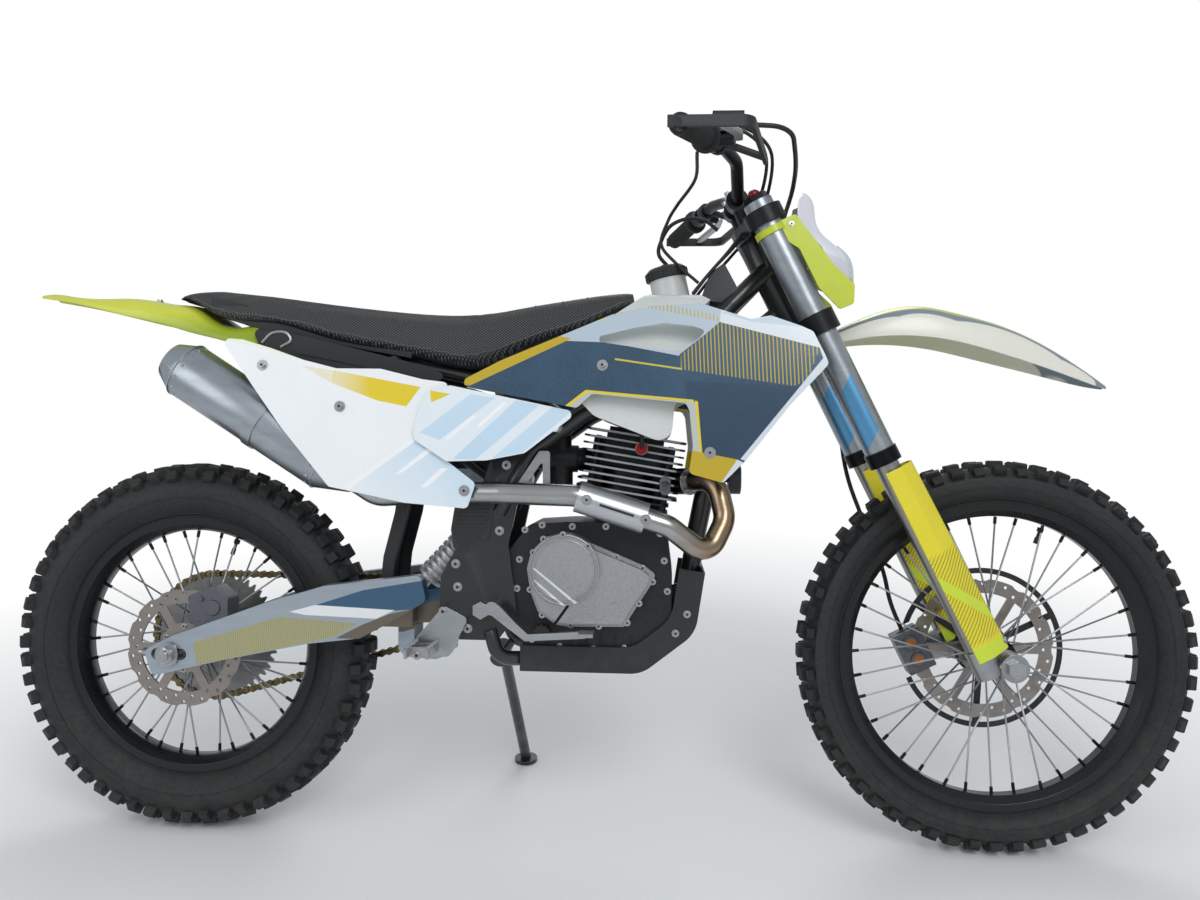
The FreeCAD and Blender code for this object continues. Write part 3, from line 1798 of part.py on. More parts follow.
def disc_guard():
    """The ring round the front disc: arms from a collar pinned to the left leg, cut away at the caliper."""
    y_from, y_to = disc_guard_inner_y, disc_guard_outer_y
    inner = disc_guard_radius - disc_guard_band
    shapes = [
        ring(vec(0, y_from, 0), vec(0, y_to, 0), disc_guard_radius, inner),
        ring(vec(0, y_from, 0), vec(0, y_to, 0), disc_guard_collar, disc_guard_bore),
    ]
    half = disc_guard_arm_width / 2
    for i in range(disc_guard_arms):
        arm = block(disc_guard_bore + half, inner + half, y_from, y_to, -half, half)
        arm.rotate(ORIGIN, Y_AXIS, 360 * i / disc_guard_arms)
        shapes.append(arm)
    pin = vec(-axle_lead, y_from, disc_guard_pin_height)
    pin_end = vec(-axle_lead, fork_half_spacing - axle_lug_radius - seat_gap, disc_guard_pin_height)
    shapes.append(rod(pin, pin_end, disc_guard_pin_radius))
    room = block(
        -2 * disc_guard_radius,
        -front_disc_radius + disc_band / 2 + front_caliper_half + overrun,
        y_from - overrun,
        y_to + overrun,
        front_caliper_z - overrun,
        front_caliper_z + front_caliper_height + overrun,
    )
    return on_fork(fused(shapes).cut(room))


def brake_hose():
    """The front brake hose from the reservoir across and down beside the left leg to the caliper."""
    start = perch_middle(-1) + vec(reservoir_length + 2 * seat_gap, 0, bar_radius + hose_start_rise)
    upper = [at(*shares) for shares in hose_upper_shares]
    lower = [fork_matrix().multVec(at(*shares)) for shares in hose_lower_shares]
    end = fork_point(
        -front_disc_radius + disc_band / 2,
        layout_half_width * hose_end_share,
        front_caliper_z + front_caliper_height + seat_gap,
    )
    points = [start] + upper + lower + [end]
    radii = []
    for back, here, ahead in zip(points, points[1:], points[2:]):
        turn = (here - back).getAngle(ahead - here)
        shorter = min((here - back).Length, (ahead - here).Length)
        radii.append(shorter * arc_reach_share / math.tan(turn / 2))
    print("front_brake_hose radii", " ".join(str(round(radius)) for radius in radii))
    path = Part.Wire(rounded_edges(points, max(radii), False))
    print("front_brake_hose length", round(path.Length))
    section = Part.Wire(Part.makeCircle(hose_radius, points[0], points[1] - points[0]))
    return path.makePipeShell([section], True, False)


# Frame


def head_end(z):
    """A point on the steering axis, by its height in the fork's own frame."""
    return fork_point(-steer_offset, 0, z)


def pivot_side(side):
    """The frame pieces that repeat on each side: top tube, cradle tube and pivot plate."""
    plate = side_plate(
        side_view(pivot_plate_shares), side * pivot_plate_inner, side * pivot_plate_y, pivot_plate_corner
    )
    boot_plate = side_plate(
        side_view(boot_plate_shares),
        side * pivot_plate_y,
        side * (pivot_plate_y + boot_plate_thickness),
        pivot_plate_corner,
    )
    top_tube_out = max(out for _, out, _ in top_tube_shares)
    puck_from = vec(puck_x, side * layout_half_width * top_tube_out, puck_z)
    puck = rod(puck_from, vec(puck_x, side * (tank_tunnel_half - seat_gap), puck_z), puck_radius)
    engine_tab = side_plate(
        side_view(engine_tab_shares),
        side * (engine_tab_half - engine_tab_thickness),
        side * engine_tab_half,
    )
    neck_plate = side_plate(
        side_view(neck_plate_shares), side * neck_plate_inner_y, side * neck_plate_outer_y, neck_plate_corner
    )
    return [
        tube(run(top_tube_shares, side), top_tube_radius, tube_bend),
        tube(run(cradle_shares, side), cradle_radius, tube_bend),
        plate,
        boot_plate,
        puck,
        engine_tab,
        neck_plate,
    ]


def engine_hanger():
    """The short cross piece that carries the engine tabs on the down tube."""
    return cross_rod(engine_hanger_x, engine_hanger_z, -engine_tab_half, engine_tab_half, cradle_radius)


def main_frame():
    """Head tube, twin top tubes, one down tube, the cradle and the pivot plates."""
    low = head_end(lower_clamp_bottom + lower_clamp_height + head_play)
    high = head_end(upper_clamp_bottom - head_play)
    shapes = [rod(low, high, head_tube_radius)]
    shapes += pivot_side(1) + pivot_side(-1)
    shapes.append(tube(run(down_tube_shares), down_tube_radius, tube_bend))
    shapes.append(engine_hanger())
    shapes.append(cross_rod(shock_top_x, shock_top_z, -pivot_plate_inner, pivot_plate_inner, subframe_radius))
    half = cradle_half_spacing
    shapes.append(cross_rod(lower_cross_x, cradle_z, -half, half, cradle_radius))
    shapes.append(
        cross_rod(shroud_stay_x, shroud_stay_z, -shroud_stay_end_y, shroud_stay_end_y, shroud_stay_radius)
    )
    pivot, _, axis, _ = side_stand_frame()
    pad_near = pivot - axis * (stand_boss_half + seat_gap)
    shapes.append(rod(pad_near, pad_near - axis * stand_pad_thickness, stand_boss_radius))
    shapes.append(rod(pad_near, pivot + axis * stand_boss_half, stand_pin_radius))
    lug_end = pad_near - axis * (stand_pad_thickness - stand_lug_radius)
    shapes.append(rod(at(*stand_lug_shares), lug_end, stand_lug_radius))
    body = fused(shapes)
    along = unit(high - low)
    wide = pivot_plate_y + overrun
    bores = [
        rod(low - along * overrun, high + along * overrun, stem_radius + running_gap),
        cross_rod(pivot_x, pivot_z, -wide, wide, pivot_bolt_radius + seat_gap),
    ]
    return body.cut(bores)


def subframe():
    """Two rails under the seat with struts from the pivot plates, joined across."""
    shapes = []
    foot = run(strut_shares)[0]
    for side in (1, -1):
        shapes.append(tube(run(rail_shares, side), subframe_radius, rail_bend))
        shapes.append(tube(run(strut_shares, side), subframe_radius, rail_bend))
        stub_end = side * (pivot_plate_inner - seat_gap)
        shapes.append(cross_rod(foot.x, foot.z, side * strut_stub_inner, stub_end, subframe_radius))
    for across, up in subframe_cross_shares:
        point = at(across, 0, up)
        half = subframe_half_spacing
        shapes.append(cross_rod(point.x, point.z, -half, half, subframe_radius))
    return fused(shapes)


def swingarm():
    """Two tapered arms from the pivot to the axle, joined ahead of the tyre."""
    points = outline(swingarm_shares, swingarm_tail_x, swingarm_foot_z, swingarm_length, swingarm_height)
    shapes = []
    for side in (1, -1):
        shapes.append(side_plate(points, side * swingarm_inner_y, side * swingarm_outer_y, swingarm_corner))
        nose_points = side_view(nose_shares)
        shapes.append(side_plate(nose_points, side * nose_inner_y, side * nose_outer_y, swingarm_corner))
        for shares in (link_shares, link_tab_shares):
            link_points = side_view(shares)
            shapes.append(side_plate(link_points, side * link_inner_y, side * link_outer_y, link_corner))
    reach = swingarm_inner_y + brace_overlap
    shapes.append(side_plate(side_view(brace_shares), -reach, reach, swingarm_corner / 2))
    tube_right_y = seat_gap - pivot_plate_inner
    shapes.append(cross_rod(pivot_x, pivot_z, tube_right_y, pivot_tube_left_y, pivot_tube_radius))
    for point in side_view(link_pin_shares):
        shapes.append(cross_rod(point.x, point.z, -link_outer_y, link_outer_y, link_pin_radius))
    body = fused(shapes)
    half_slot = axle_radius + seat_gap
    slot_from = vec(-axle_slot_length / 2, 0, rear_axle_z)
    slot_to = vec(axle_slot_length / 2, 0, rear_axle_z)
    wide = swingarm_outer_y + overrun
    cuts = [
        cross_rod(pivot_x, pivot_z, -wide, wide, pivot_bolt_radius + seat_gap),
        cross_rod(slot_from.x, slot_from.z, -wide, wide, half_slot),
        cross_rod(slot_to.x, slot_to.z, -wide, wide, half_slot),
        block(slot_from.x, slot_to.x, -wide, wide, rear_axle_z - half_slot, rear_axle_z + half_slot),
    ]
    return body.cut(cuts)


def rear_axle():
    """The rear axle with its spacers, nuts and chain adjuster blocks."""
    seat = swingarm_outer_y + seat_gap
    face = seat + axle_block_thickness
    half_size = axle_block_size / 2
    end = face + axle_nut_height
    shapes = [cross_rod(0, rear_axle_z, -end - overrun, end, axle_radius)]
    low = rear_axle_z - half_size
    high = rear_axle_z + half_size
    for side in (1, -1):
        shapes.append(block(-half_size, half_size, side * seat, side * face, low, high))
        nut_foot = vec(0, side * face, rear_axle_z)
        shapes.append(hexagon(axle_nut_radius, nut_foot, vec(0, side * axle_nut_height, 0)))
        hub_side = rear_hub_left if side > 0 else rear_hub_right
        y_from = side * (hub_side + seat_gap)
        y_to = side * (swingarm_inner_y - seat_gap)
        shapes.append(cross_rod(0, rear_axle_z, y_from, y_to, spacer_radius))
    return fused(shapes)


def pivot_bolt():
    """The swingarm's pivot bolt with its two nuts."""
    half = pivot_plate_y + seat_gap
    shapes = [cross_rod(pivot_x, pivot_z, -half, half, pivot_bolt_radius)]
    for side in (1, -1):
        shapes.append(
            hexagon(axle_nut_radius, vec(pivot_x, side * half, pivot_z), vec(0, side * axle_nut_height, 0))
        )
    return fused(shapes)


def shock_absorber():
    """The rear shock: eyes, damper body, rod and its spring as stacked coils."""
    foot = vec(shock_foot_x, 0, shock_foot_z)
    top = vec(shock_top_x, 0, shock_top_z)
    along = unit(top - foot)
    length = (top - foot).Length
    start = foot + along * (length * shock_start_share)
    end = foot + along * (length * shock_end_share)
    shapes = [
        cross_rod(foot.x, foot.z, -shock_eye_half, shock_eye_half, shock_eye_radius),
        cross_rod(top.x, top.z, -shock_eye_half, shock_eye_half, shock_top_eye_radius),
        rod(foot, top, shock_rod_radius),
        rod(start, end, shock_body_radius),
    ]
    count = int((end - start).Length / shock_ring_pitch)
    for i in range(count):
        coil = start + along * (shock_ring_pitch * i)
        shapes.append(rod(coil, coil + along * shock_ring_height, shock_spring_radius))
    body = fused(shapes)
    reach = shock_eye_half + overrun
    return body.cut(cross_rod(top.x, top.z, -reach, reach, subframe_radius + seat_gap))


# Engine


def crankcase():
    """The crankcase block with the chain's pocket and the output shaft."""
    body = side_plate(side_view(case_shares), -case_half_width, case_half_width, case_corner)
    pocket_end = case_half_width + overrun
    pocket = cross_rod(
        front_sprocket_x, front_sprocket_z, sprocket_pocket_y, pocket_end, sprocket_pocket_radius
    )
    shaft = cross_rod(
        front_sprocket_x, front_sprocket_z, sprocket_pocket_y - overrun, front_shaft_end_y, front_shaft_radius
    )
    return fused([largest(body.cut(pocket)), shaft])


def clutch_cover():
    """The right-hand cover: a stepped casting with a round dome."""
    start = -case_half_width - seat_gap
    rim_points = outline(
        clutch_cover_shares,
        clutch_cover_left_x,
        clutch_cover_foot_z,
        clutch_cover_length,
        clutch_cover_height,
    )
    inset = clutch_cover_inset
    body_points = outline(
        clutch_cover_shares,
        clutch_cover_left_x + inset,
        clutch_cover_foot_z + inset,
        clutch_cover_length - 2 * inset,
        clutch_cover_height - 2 * inset,
    )
    centre = vec(clutch_dome_x, start, clutch_dome_z)
    dome_end = centre - vec(0, clutch_cover_thickness + clutch_dome_height, 0)
    return fused(
        [
            side_plate(rim_points, start, start - clutch_rim_thickness, panel_corner),
            side_plate(body_points, start, start - clutch_cover_thickness, panel_corner),
            rod(centre, dome_end, clutch_dome_radius),
            rod(centre, dome_end - vec(0, clutch_ring_height, 0), clutch_ring_radius),
        ]
    )


def left_cover():
    """The left-hand cover with its round alternator housing."""
    start = case_half_width + seat_gap
    centre = vec(alternator_x, start, alternator_z)
    housing_end = centre + vec(0, alternator_height, 0)
    return fused(
        [
            side_plate(side_view(left_cover_shares), start, start + clutch_rim_thickness, panel_corner),
            rod(centre, housing_end, alternator_radius),
            rod(centre, housing_end + vec(0, alternator_cap_height, 0), alternator_cap_radius),
        ]
    )


def cylinder():
    """The finned barrel and head on the crankcase, tilted forward, with its ports and spark plug."""
    height = barrel_height + head_height
    core = Part.makeCylinder(cylinder_core_radius, height + cylinder_root, vec(0, 0, -cylinder_root))
    half = cylinder_core_radius
    head_core = block(-half, half, -half, half, barrel_height, barrel_height + head_height * head_core_share)
    shapes = [core, head_core]
    for i in range(int(height / fin_pitch)):
        z = fin_pitch * (i + 1)
        share = fin_low_share if z < barrel_height * fin_low_reach_share else 1.0
        length = fin_half_length * share
        width = fin_half_width * share
        corners = [(-length, -width), (length, -width), (length, width), (-length, width)]
        points = [vec(along, across, z) for along, across in corners]
        shapes.append(flat_face(points, fin_corner).extrude(vec(0, 0, fin_thickness)))
    matrix = FreeCAD.Matrix()
    matrix.rotateY(math.radians(cylinder_tilt))
    matrix.move(vec(cylinder_x, 0, case_top_z))
    body = fused(shapes).transformed(matrix)
    plug = run(plug_shares)
    outlet = run(header_shares)
    away = unit(outlet[1] - outlet[0])
    ports = [
        rod(*run(port_shares), port_radius),
        rod(outlet[0] - away * port_collar, outlet[0] - away * seat_gap, port_radius),
        rod(*run(intake_shares), intake_radius),
        rod(plug[0], plug[1], plug_radius),
        rod(plug[1], plug[2], plug_cap_radius),
    ]
    reach = 2 * fin_half_length
    below = block(
        cylinder_x - reach,
        cylinder_x + reach,
        -reach,
        reach,
        case_top_z + seat_gap - 2 * cylinder_root,
        case_top_z + seat_gap,
    )
    return largest(fused([body] + ports).cut(below))


def carburettor():
    """The carburettor between the cylinder and the airbox, with its rubber boot."""
    front, rear = run(carb_shares)
    boot_end = vec(layout_length * carb_boot_end_share, 0, rear.z)
    middle = vec(carb_body_x, 0, rear.z)
    return fused(
        [
            rod(front, rear, carb_radius),
            rod(rear + X_AXIS * overrun, boot_end, carb_boot_radius),
            rod(middle, vec(middle.x, 0, carb_bowl_bottom_z), carb_bowl_radius),
            rod(middle, vec(middle.x, 0, carb_top_z), carb_top_radius),
        ]
    )


def airbox():
    """The airbox between the subframe's struts."""
    return side_plate(side_view(airbox_shares), -airbox_half_width, airbox_half_width, airbox_corner)


# Exhaust


def muffler_frame():
    """The muffler's front end, its rear end and the unit direction between them."""
    front = vec(muffler_front_x, muffler_y, muffler_front_z)
    rear = vec(muffler_rear_x, muffler_y, muffler_rear_z)
    return front, rear, unit(rear - front)


def header():
    """The header pipe from the exhaust port, round the down tube and back to the muffler."""
    front, _, along = muffler_frame()
    inlet = front - along * (muffler_cone + seat_gap)
    points = run(header_shares) + [inlet - along * header_bend, inlet]
    pipe = tube(points, pipe_radius, header_bend)
    inner_y, outer_y = -hanger_plate_inner_y, -hanger_plate_outer_y
    plate = side_plate(side_view(hanger_plate_shares), inner_y, outer_y, hanger_corner)
    hole = side_plate(side_view(hanger_hole_shares), inner_y + overrun, outer_y - overrun, hanger_hole_corner)
    end, start = points[shield_run + 1 : shield_run + 3]
    pin_end = start + (end - start) * hanger_pin_share
    pin = rod(vec(pin_end.x, inner_y, pin_end.z), pin_end, hanger_pin_radius)
    return fused([pipe, plate.cut(hole), pin])


def heat_shield():
    """A half pipe outside the header, on two bosses."""
    start, end = run(header_shares)[shield_run : shield_run + 2]
    span = end - start
    along = unit(span)
    near = start + span * shield_start_share
    far = start + span * shield_end_share
    outside = shield_inner_radius + shield_wall
    shell = ring(near, far, outside, shield_inner_radius)
    outward = unit(Y_AXIS * -1 + along * along.y)
    inside = near - outward * (outside * math.cos(math.radians(shield_open_angle / 2)))
    away = inside - outward * (2 * outside)
    half_turn = along.cross(outward) * (2 * outside)
    corners = [inside - half_turn, inside + half_turn, away + half_turn, away - half_turn]
    keeper = flat_face(corners).extrude((far - near) + along * overrun)
    keeper.translate(along * (-overrun / 2))
    shapes = [largest(shell.cut(keeper))]
    for share in shield_boss_shares:
        foot = start + span * share
        boss = rod(foot, foot + outward * (shield_inner_radius + shield_wall / 2), shield_boss_radius)
        shapes.append(boss.cut(rod(start, end, pipe_radius + seat_gap)))
    return fused(shapes)


def muffler():
    """The silencer: inlet cone, body, tapered end cap with its outlet, and a hanger to the subframe."""
    front, rear, along = muffler_frame()
    inlet = front - along * muffler_cone
    cone = Part.makeCone(muffler_inlet_radius, muffler_radius, muffler_cone, inlet, along)
    cap = Part.makeCone(muffler_radius, muffler_radius * muffler_cap_end_share, muffler_cap, rear, along)
    strap_from = front + (rear - front) * muffler_strap_share
    strap = rod(strap_from, strap_from + along * muffler_strap_width, muffler_radius + muffler_strap_wall)
    hanger_foot = strap_from + along * (muffler_strap_width / 2)
    hanger_top = vec(hanger_foot.x, -subframe_half_spacing, hanger_foot.z + 2 * muffler_radius)
    hanger_root = vec(hanger_foot.x, hanger_top.y, hanger_foot.z)
    hanger = rod(hanger_root, hanger_top + Z_AXIS * muffler_radius, muffler_hanger_radius)
    rail = tube(run(rail_shares, -1), subframe_radius + seat_gap, rail_bend)
    strut = tube(run(strut_shares, -1), subframe_radius + seat_gap, rail_bend)
    pieces = hanger.cut([rail, strut]).Solids
    hanger = min(pieces, key=lambda solid: solid.CenterOfMass.z)
    silencer = fused([cone, rod(front, rear, muffler_radius), cap, strap, hanger])
    return silencer.cut(rod(rear, rear + along * (muffler_cap + overrun), muffler_outlet_radius))


# Bodywork


def skin(depth_at, left, foot, length, height):
    """A curved sheet on the left side, its depth from the middle given by a function of shares."""
    margin = panel_corner
    grid = []
    for i in range(skin_columns):
        across = i / (skin_columns - 1)
        x = left - margin + (length + 2 * margin) * across
        line = []
        for j in range(skin_rows):
            up = j / (skin_rows - 1)
            line.append(vec(x, depth_at(across, up), foot - margin + (height + 2 * margin) * up))
        grid.append(line)
    surface = Part.BSplineSurface()
    surface.interpolate(grid)
    return surface.toShape()


def panel(shares, depth_at, left, foot, length, height, bosses):
    """A curved panel cut to its side-view outline, with bosses on its inner face from given depths."""
    surface = skin(depth_at, left, foot, length, height)
    cutter = side_plate(outline(shares, left, foot, length, height), 0, panel_reach_y, panel_corner)
    sheet = largest(surface.extrude(vec(0, panel_wall, 0)).common(cutter))
    inside = surface.extrude(vec(0, -panel_reach_y, 0))
    inside.translate(vec(0, boss_bite, 0))
    shapes = [sheet]
    for point, depth in bosses:
        boss = rod(vec(point.x, depth, point.z), vec(point.x, panel_reach_y, point.z), panel_boss_radius)
        shapes.append(boss.common(inside))
    return fused(shapes)


def shroud_depth(across, up):
    """How far out the tank shroud lies: flared at the front, tucked in at the top."""
    flare = shroud_flare * across ** shroud_flare_power
    rear_tuck = shroud_rear_tuck * (1 - across) ** 2
    top_tuck = shroud_top_tuck * max(0.0, up - shroud_tuck_start_share) ** shroud_tuck_power
    return shroud_y + flare - rear_tuck - top_tuck


def shrouds():
    """The two tank shrouds with their hand-hold openings."""
    bosses = [(point, tank_half_width + seat_gap) for point in side_view(shroud_boss_shares)]
    bosses.append((vec(shroud_stay_x, 0, shroud_stay_z), shroud_stay_end_y + seat_gap))
    one = panel(
        shroud_shares, shroud_depth, shroud_left_x, shroud_foot_z, shroud_length, shroud_height, bosses
    )
    hole = side_plate(side_view(shroud_hole_shares), 0, panel_reach_y, panel_corner)
    return both_sides(largest(one.cut(hole)))


def side_panel_depth(across, up):
    """How far out a side panel lies."""
    return side_panel_y - side_panel_front_tuck * across ** 2 - side_panel_top_tuck * up ** 2


def side_panels():
    """The rear number-plate panels beside the seat."""
    rail_face = subframe_half_spacing + subframe_radius + seat_gap
    cover_face = tail_cover_y + panel_wall + seat_gap
    bosses = [(point, rail_face) for point in side_view(side_panel_boss_shares)]
    bosses += [(point, cover_face) for point in side_view(tail_panel_boss_shares)]
    return both_sides(
        panel(
            side_panel_shares,
            side_panel_depth,
            side_panel_left_x,
            side_panel_foot_z,
            side_panel_length,
            side_panel_height,
            bosses,
        )
    )


def cover_depth(across, up):
    """How far out an airbox cover lies."""
    return cover_y - cover_top_tuck * up ** 2


def airbox_covers():
    """The covers over the airbox, outside the side panels."""
    rear, front = side_view(cover_boss_shares)
    top_tube_out = max(out for _, out, _ in top_tube_shares)
    top_tube_face = layout_half_width * top_tube_out + top_tube_radius + seat_gap
    bosses = [(rear, airbox_half_width + seat_gap), (front, top_tube_face)]
    return both_sides(
        panel(cover_shares, cover_depth, cover_left_x, cover_foot_z, cover_length, cover_height, bosses)
    )


def tail_covers():
    """The black covers between the seat's edge and the side panels."""
    rail_face = subframe_half_spacing + subframe_radius + seat_gap
    inner = tail_cover_y
    shapes = [side_plate(side_view(tail_cover_shares), inner, inner + panel_wall, panel_corner)]
    for point in side_view(tail_cover_boss_shares):
        shapes.append(cross_rod(point.x, point.z, rail_face, inner + boss_bite, panel_boss_radius))
    return both_sides(fused(shapes))


def rear_fender():
    """The tail: a tapering channel under the seat that ends in a thin tip."""
    return largest(channel(rear_fender_shares, fender_wall))


def seat():
    """The seat, plain: a loft through its cross-sections."""
    wires = []
    for across, top_share, bottom_share, out in seat_shares:
        bottom = at(across, out, bottom_share)
        top = at(across, out * seat_top_share, top_share)
        points = [bottom, top, vec(top.x, -top.y, top.z), vec(bottom.x, -bottom.y, bottom.z)]
        corner = (top.z - bottom.z) * seat_corner_share
        wires.append(Part.Wire(rounded_edges(points, corner, True)))
    return Part.makeLoft(wires, True, False)


def filler_direction():
    """The filler neck's direction, leaning back."""
    return unit(vec(-filler_lean, 0, 1))


def tank():
    """The fuel tank: a saddle over the frame with a filler neck."""
    body = side_plate(side_view(tank_shares), -tank_half_width, tank_half_width, tank_corner)
    half = tank_half_width
    crown = half * tank_crown_share
    front_points = [
        vec(0, -half, tank_foot_z),
        vec(0, half, tank_foot_z),
        vec(0, half, tank_shoulder_z),
        vec(0, crown, tank_top_z),
        vec(0, -crown, tank_top_z),
        vec(0, -half, tank_shoulder_z),
    ]
    prism = flat_face(front_points, tank_corner).extrude(vec(2 * layout_length, 0, 0))
    tunnel = side_plate(side_view(tunnel_shares), -tank_tunnel_half, tank_tunnel_half)
    body = largest(body.common(prism).cut(tunnel))
    root = vec(filler_x, 0, tank_top_z - filler_root)
    neck = Part.makeCylinder(filler_radius, filler_height + filler_root, root, filler_direction())
    return fused([body, neck])


def tank_cap():
    """The filler cap with its raised rim."""
    lean_back = filler_direction()
    start = vec(filler_x, 0, tank_top_z - filler_root) + lean_back * (filler_height + filler_root + seat_gap)
    skirt = Part.makeCylinder(cap_radius, cap_height, start, lean_back)
    top = Part.makeCone(
        cap_radius, cap_radius * cap_inner_share, cap_rim_height, start + lean_back * cap_height, lean_back
    )
    return fused([skirt, top])


def skid_plate():
    """The plate that wraps the engine's lower front, with side flanges."""
    line = side_view(skid_shares)
    half = skid_half_width
    inner_line = offset_line(line, skid_wall)
    upper_line = offset_line(line, skid_rise)
    floor = side_plate_between(line, inner_line, -half, half)
    left = side_plate_between(line, upper_line, half - skid_wall, half)
    right = side_plate_between(line, upper_line, -half, -half + skid_wall)
    return fused([floor, left, right])


def offset_line(points, distance):
    """A side-view line moved to its inner side by a distance."""
    moved_points = []
    for i, here in enumerate(points):
        back = unit(here - points[i - 1]) if i > 0 else unit(points[i + 1] - here)
        ahead = unit(points[i + 1] - here) if i < len(points) - 1 else back
        inward_back = vec(-back.z, 0, back.x)
        inward_ahead = vec(-ahead.z, 0, ahead.x)
        middle = unit(inward_back + inward_ahead)
        stretch = middle.dot(inward_back)
        moved_points.append(here + middle * (distance / stretch))
    return moved_points


def side_plate_between(first, second, y_from, y_to):
    """A plate between two side-view lines, with arcs at their bends."""
    placed = [[vec(p.x, y_from, p.z) for p in line] for line in (first, second)]
    outer = rounded_edges(placed[0], skid_bend, False)
    inner = rounded_edges(list(reversed(placed[1])), skid_bend, False)
    edges = outer + [Part.makeLine(placed[0][-1], placed[1][-1])] + inner
    edges.append(Part.makeLine(placed[1][0], placed[0][0]))
    return Part.Face(Part.Wire(edges)).extrude(vec(0, y_to - y_from, 0))


def mudflap():
    """The flap ahead of the rear tyre, hung from the airbox, with forward flanges."""
    line = side_view(mudflap_shares)
    shapes = []
    for offset_distance, y_from, y_to in (
        (mudflap_wall, -mudflap_half, mudflap_half),
        (mudflap_flange, mudflap_half - mudflap_wall, mudflap_half),
        (mudflap_flange, -mudflap_half, -mudflap_half + mudflap_wall),
    ):
        far = offset_line(line, offset_distance)
        points = line + list(reversed(far))
        shapes.append(side_plate(points, y_from, y_to))
    return fused(shapes)


# Feet, brakes and stand


def footpegs():
    """Footpegs on their brackets, each with toothed rails."""
    inner = pivot_plate_y + seat_gap
    outer = inner + peg_bracket_thickness
    shapes = [side_plate(side_view(peg_bracket_shares), inner, outer, peg_corner)]
    right = peg_left_x + peg_width
    top = peg_foot_z + peg_height
    frame = block(peg_left_x, right, outer - peg_wall, outer + peg_length, peg_foot_z, top)
    bay_length = (peg_length + peg_wall) / peg_bars
    for i in range(peg_bars):
        y_from = outer + bay_length * i
        window = block(
            peg_left_x + peg_wall,
            right - peg_wall,
            y_from,
            y_from + bay_length - peg_wall,
            peg_foot_z - overrun,
            top + overrun,
        )
        frame = frame.cut(window)
    shapes.append(frame)
    return both_sides(fused(shapes))


def foot_controls():
    """The brake pedal on the right and the gear lever on the left."""
    plate_face = pivot_plate_y + seat_gap
    arm_inner = -pedal_arm_y
    arm_outer = -pedal_arm_y - pedal_arm_width
    pedal = fused(
        [
            cross_rod(pedal_pivot_x, pedal_pivot_z, -plate_face, arm_outer, pedal_boss_radius),
            side_plate(side_view(pedal_shares), arm_inner, arm_outer, pedal_corner),
            block(
                pedal_pad_x,
                pedal_pad_x + pedal_pad_length,
                arm_inner + pedal_arm_width,
                arm_inner - pedal_pad_width,
                pedal_pad_z,
                pedal_pad_z + pedal_pad_height,
            ),
        ]
    )
    case_face = case_half_width + seat_gap
    lever_outer = shift_arm_y + shift_arm_width
    peg_end_y = shift_arm_y + shift_peg_length
    lever = fused(
        [
            cross_rod(shift_pivot_x, shift_pivot_z, case_face, lever_outer, shift_shaft_radius),
            side_plate(side_view(shift_shares), shift_arm_y, lever_outer, pedal_corner),
            cross_rod(shift_peg_x, shift_peg_z, shift_arm_y, peg_end_y, shift_peg_radius),
        ]
    )
    return Part.makeCompound([pedal, lever])


def rear_caliper():
    """The rear brake caliper inside the right swingarm, open round the disc."""
    body = side_plate(
        side_view(rear_caliper_shares), -rear_caliper_inner_y, -rear_caliper_outer_y, rear_caliper_corner
    )
    gap = disc_thickness / 2 + caliper_side_gap
    slot_radius = rear_disc_radius + caliper_side_gap
    slot = cross_rod(0, rear_axle_z, -rear_disc_y - gap, -rear_disc_y + gap, slot_radius)
    return largest(body.cut(slot))


def horn():
    """The horn in front of the down tube, on its bracket."""
    centre = vec(horn_x, horn_y, horn_z)
    disc = rod(centre, centre + X_AXIS * horn_thickness, horn_radius)
    half = horn_tab_half
    tab = block(horn_x - 2 * horn_radius, horn_x + boss_bite, -half, half, horn_z - half, horn_z + half)
    tube_space = tube(run(down_tube_shares), down_tube_radius + seat_gap, tube_bend)
    pieces = tab.cut(tube_space).Solids
    tab = max(pieces, key=lambda solid: solid.CenterOfMass.x)
    return fused([disc, tab])


def side_stand_frame():
    """The stand's pivot, its foot, its hinge axis and its travel, on the upright machine."""
    pivot = vec(stand_pivot_x, stand_pivot_y, stand_pivot_z)
    foot = vec(stand_foot_x, stand_foot_y, stand_foot_y * lean_tangent)
    down = unit(foot - pivot)
    stowed = unit(vec(-stand_stow_rear_share, stand_stow_out_share, stand_stow_up_share))
    return pivot, foot, unit(down.cross(stowed)), math.degrees(down.getAngle(stowed))


def side_stand():
    """The side stand: a boss, a leg and a round foot flat on the floor."""
    pivot, foot, axis, _ = side_stand_frame()
    boss = rod(pivot - axis * stand_boss_half, pivot + axis * stand_boss_half, stand_boss_radius)
    floor_up = vec(0, -math.sin(math.radians(lean_angle)), math.cos(math.radians(lean_angle)))
    leg = rod(pivot, foot + floor_up * stand_foot_height, stand_radius)
    sole = rod(foot, foot + floor_up * stand_foot_height, stand_foot_radius)
    below = rod(foot, foot - floor_up * stand_foot_radius, stand_foot_radius + stand_boss_radius)
    reach = stand_boss_half + overrun
    hole = rod(pivot - axis * reach, pivot + axis * reach, stand_hole_radius)
    return fused([boss, leg, sole]).cut([below, hole])


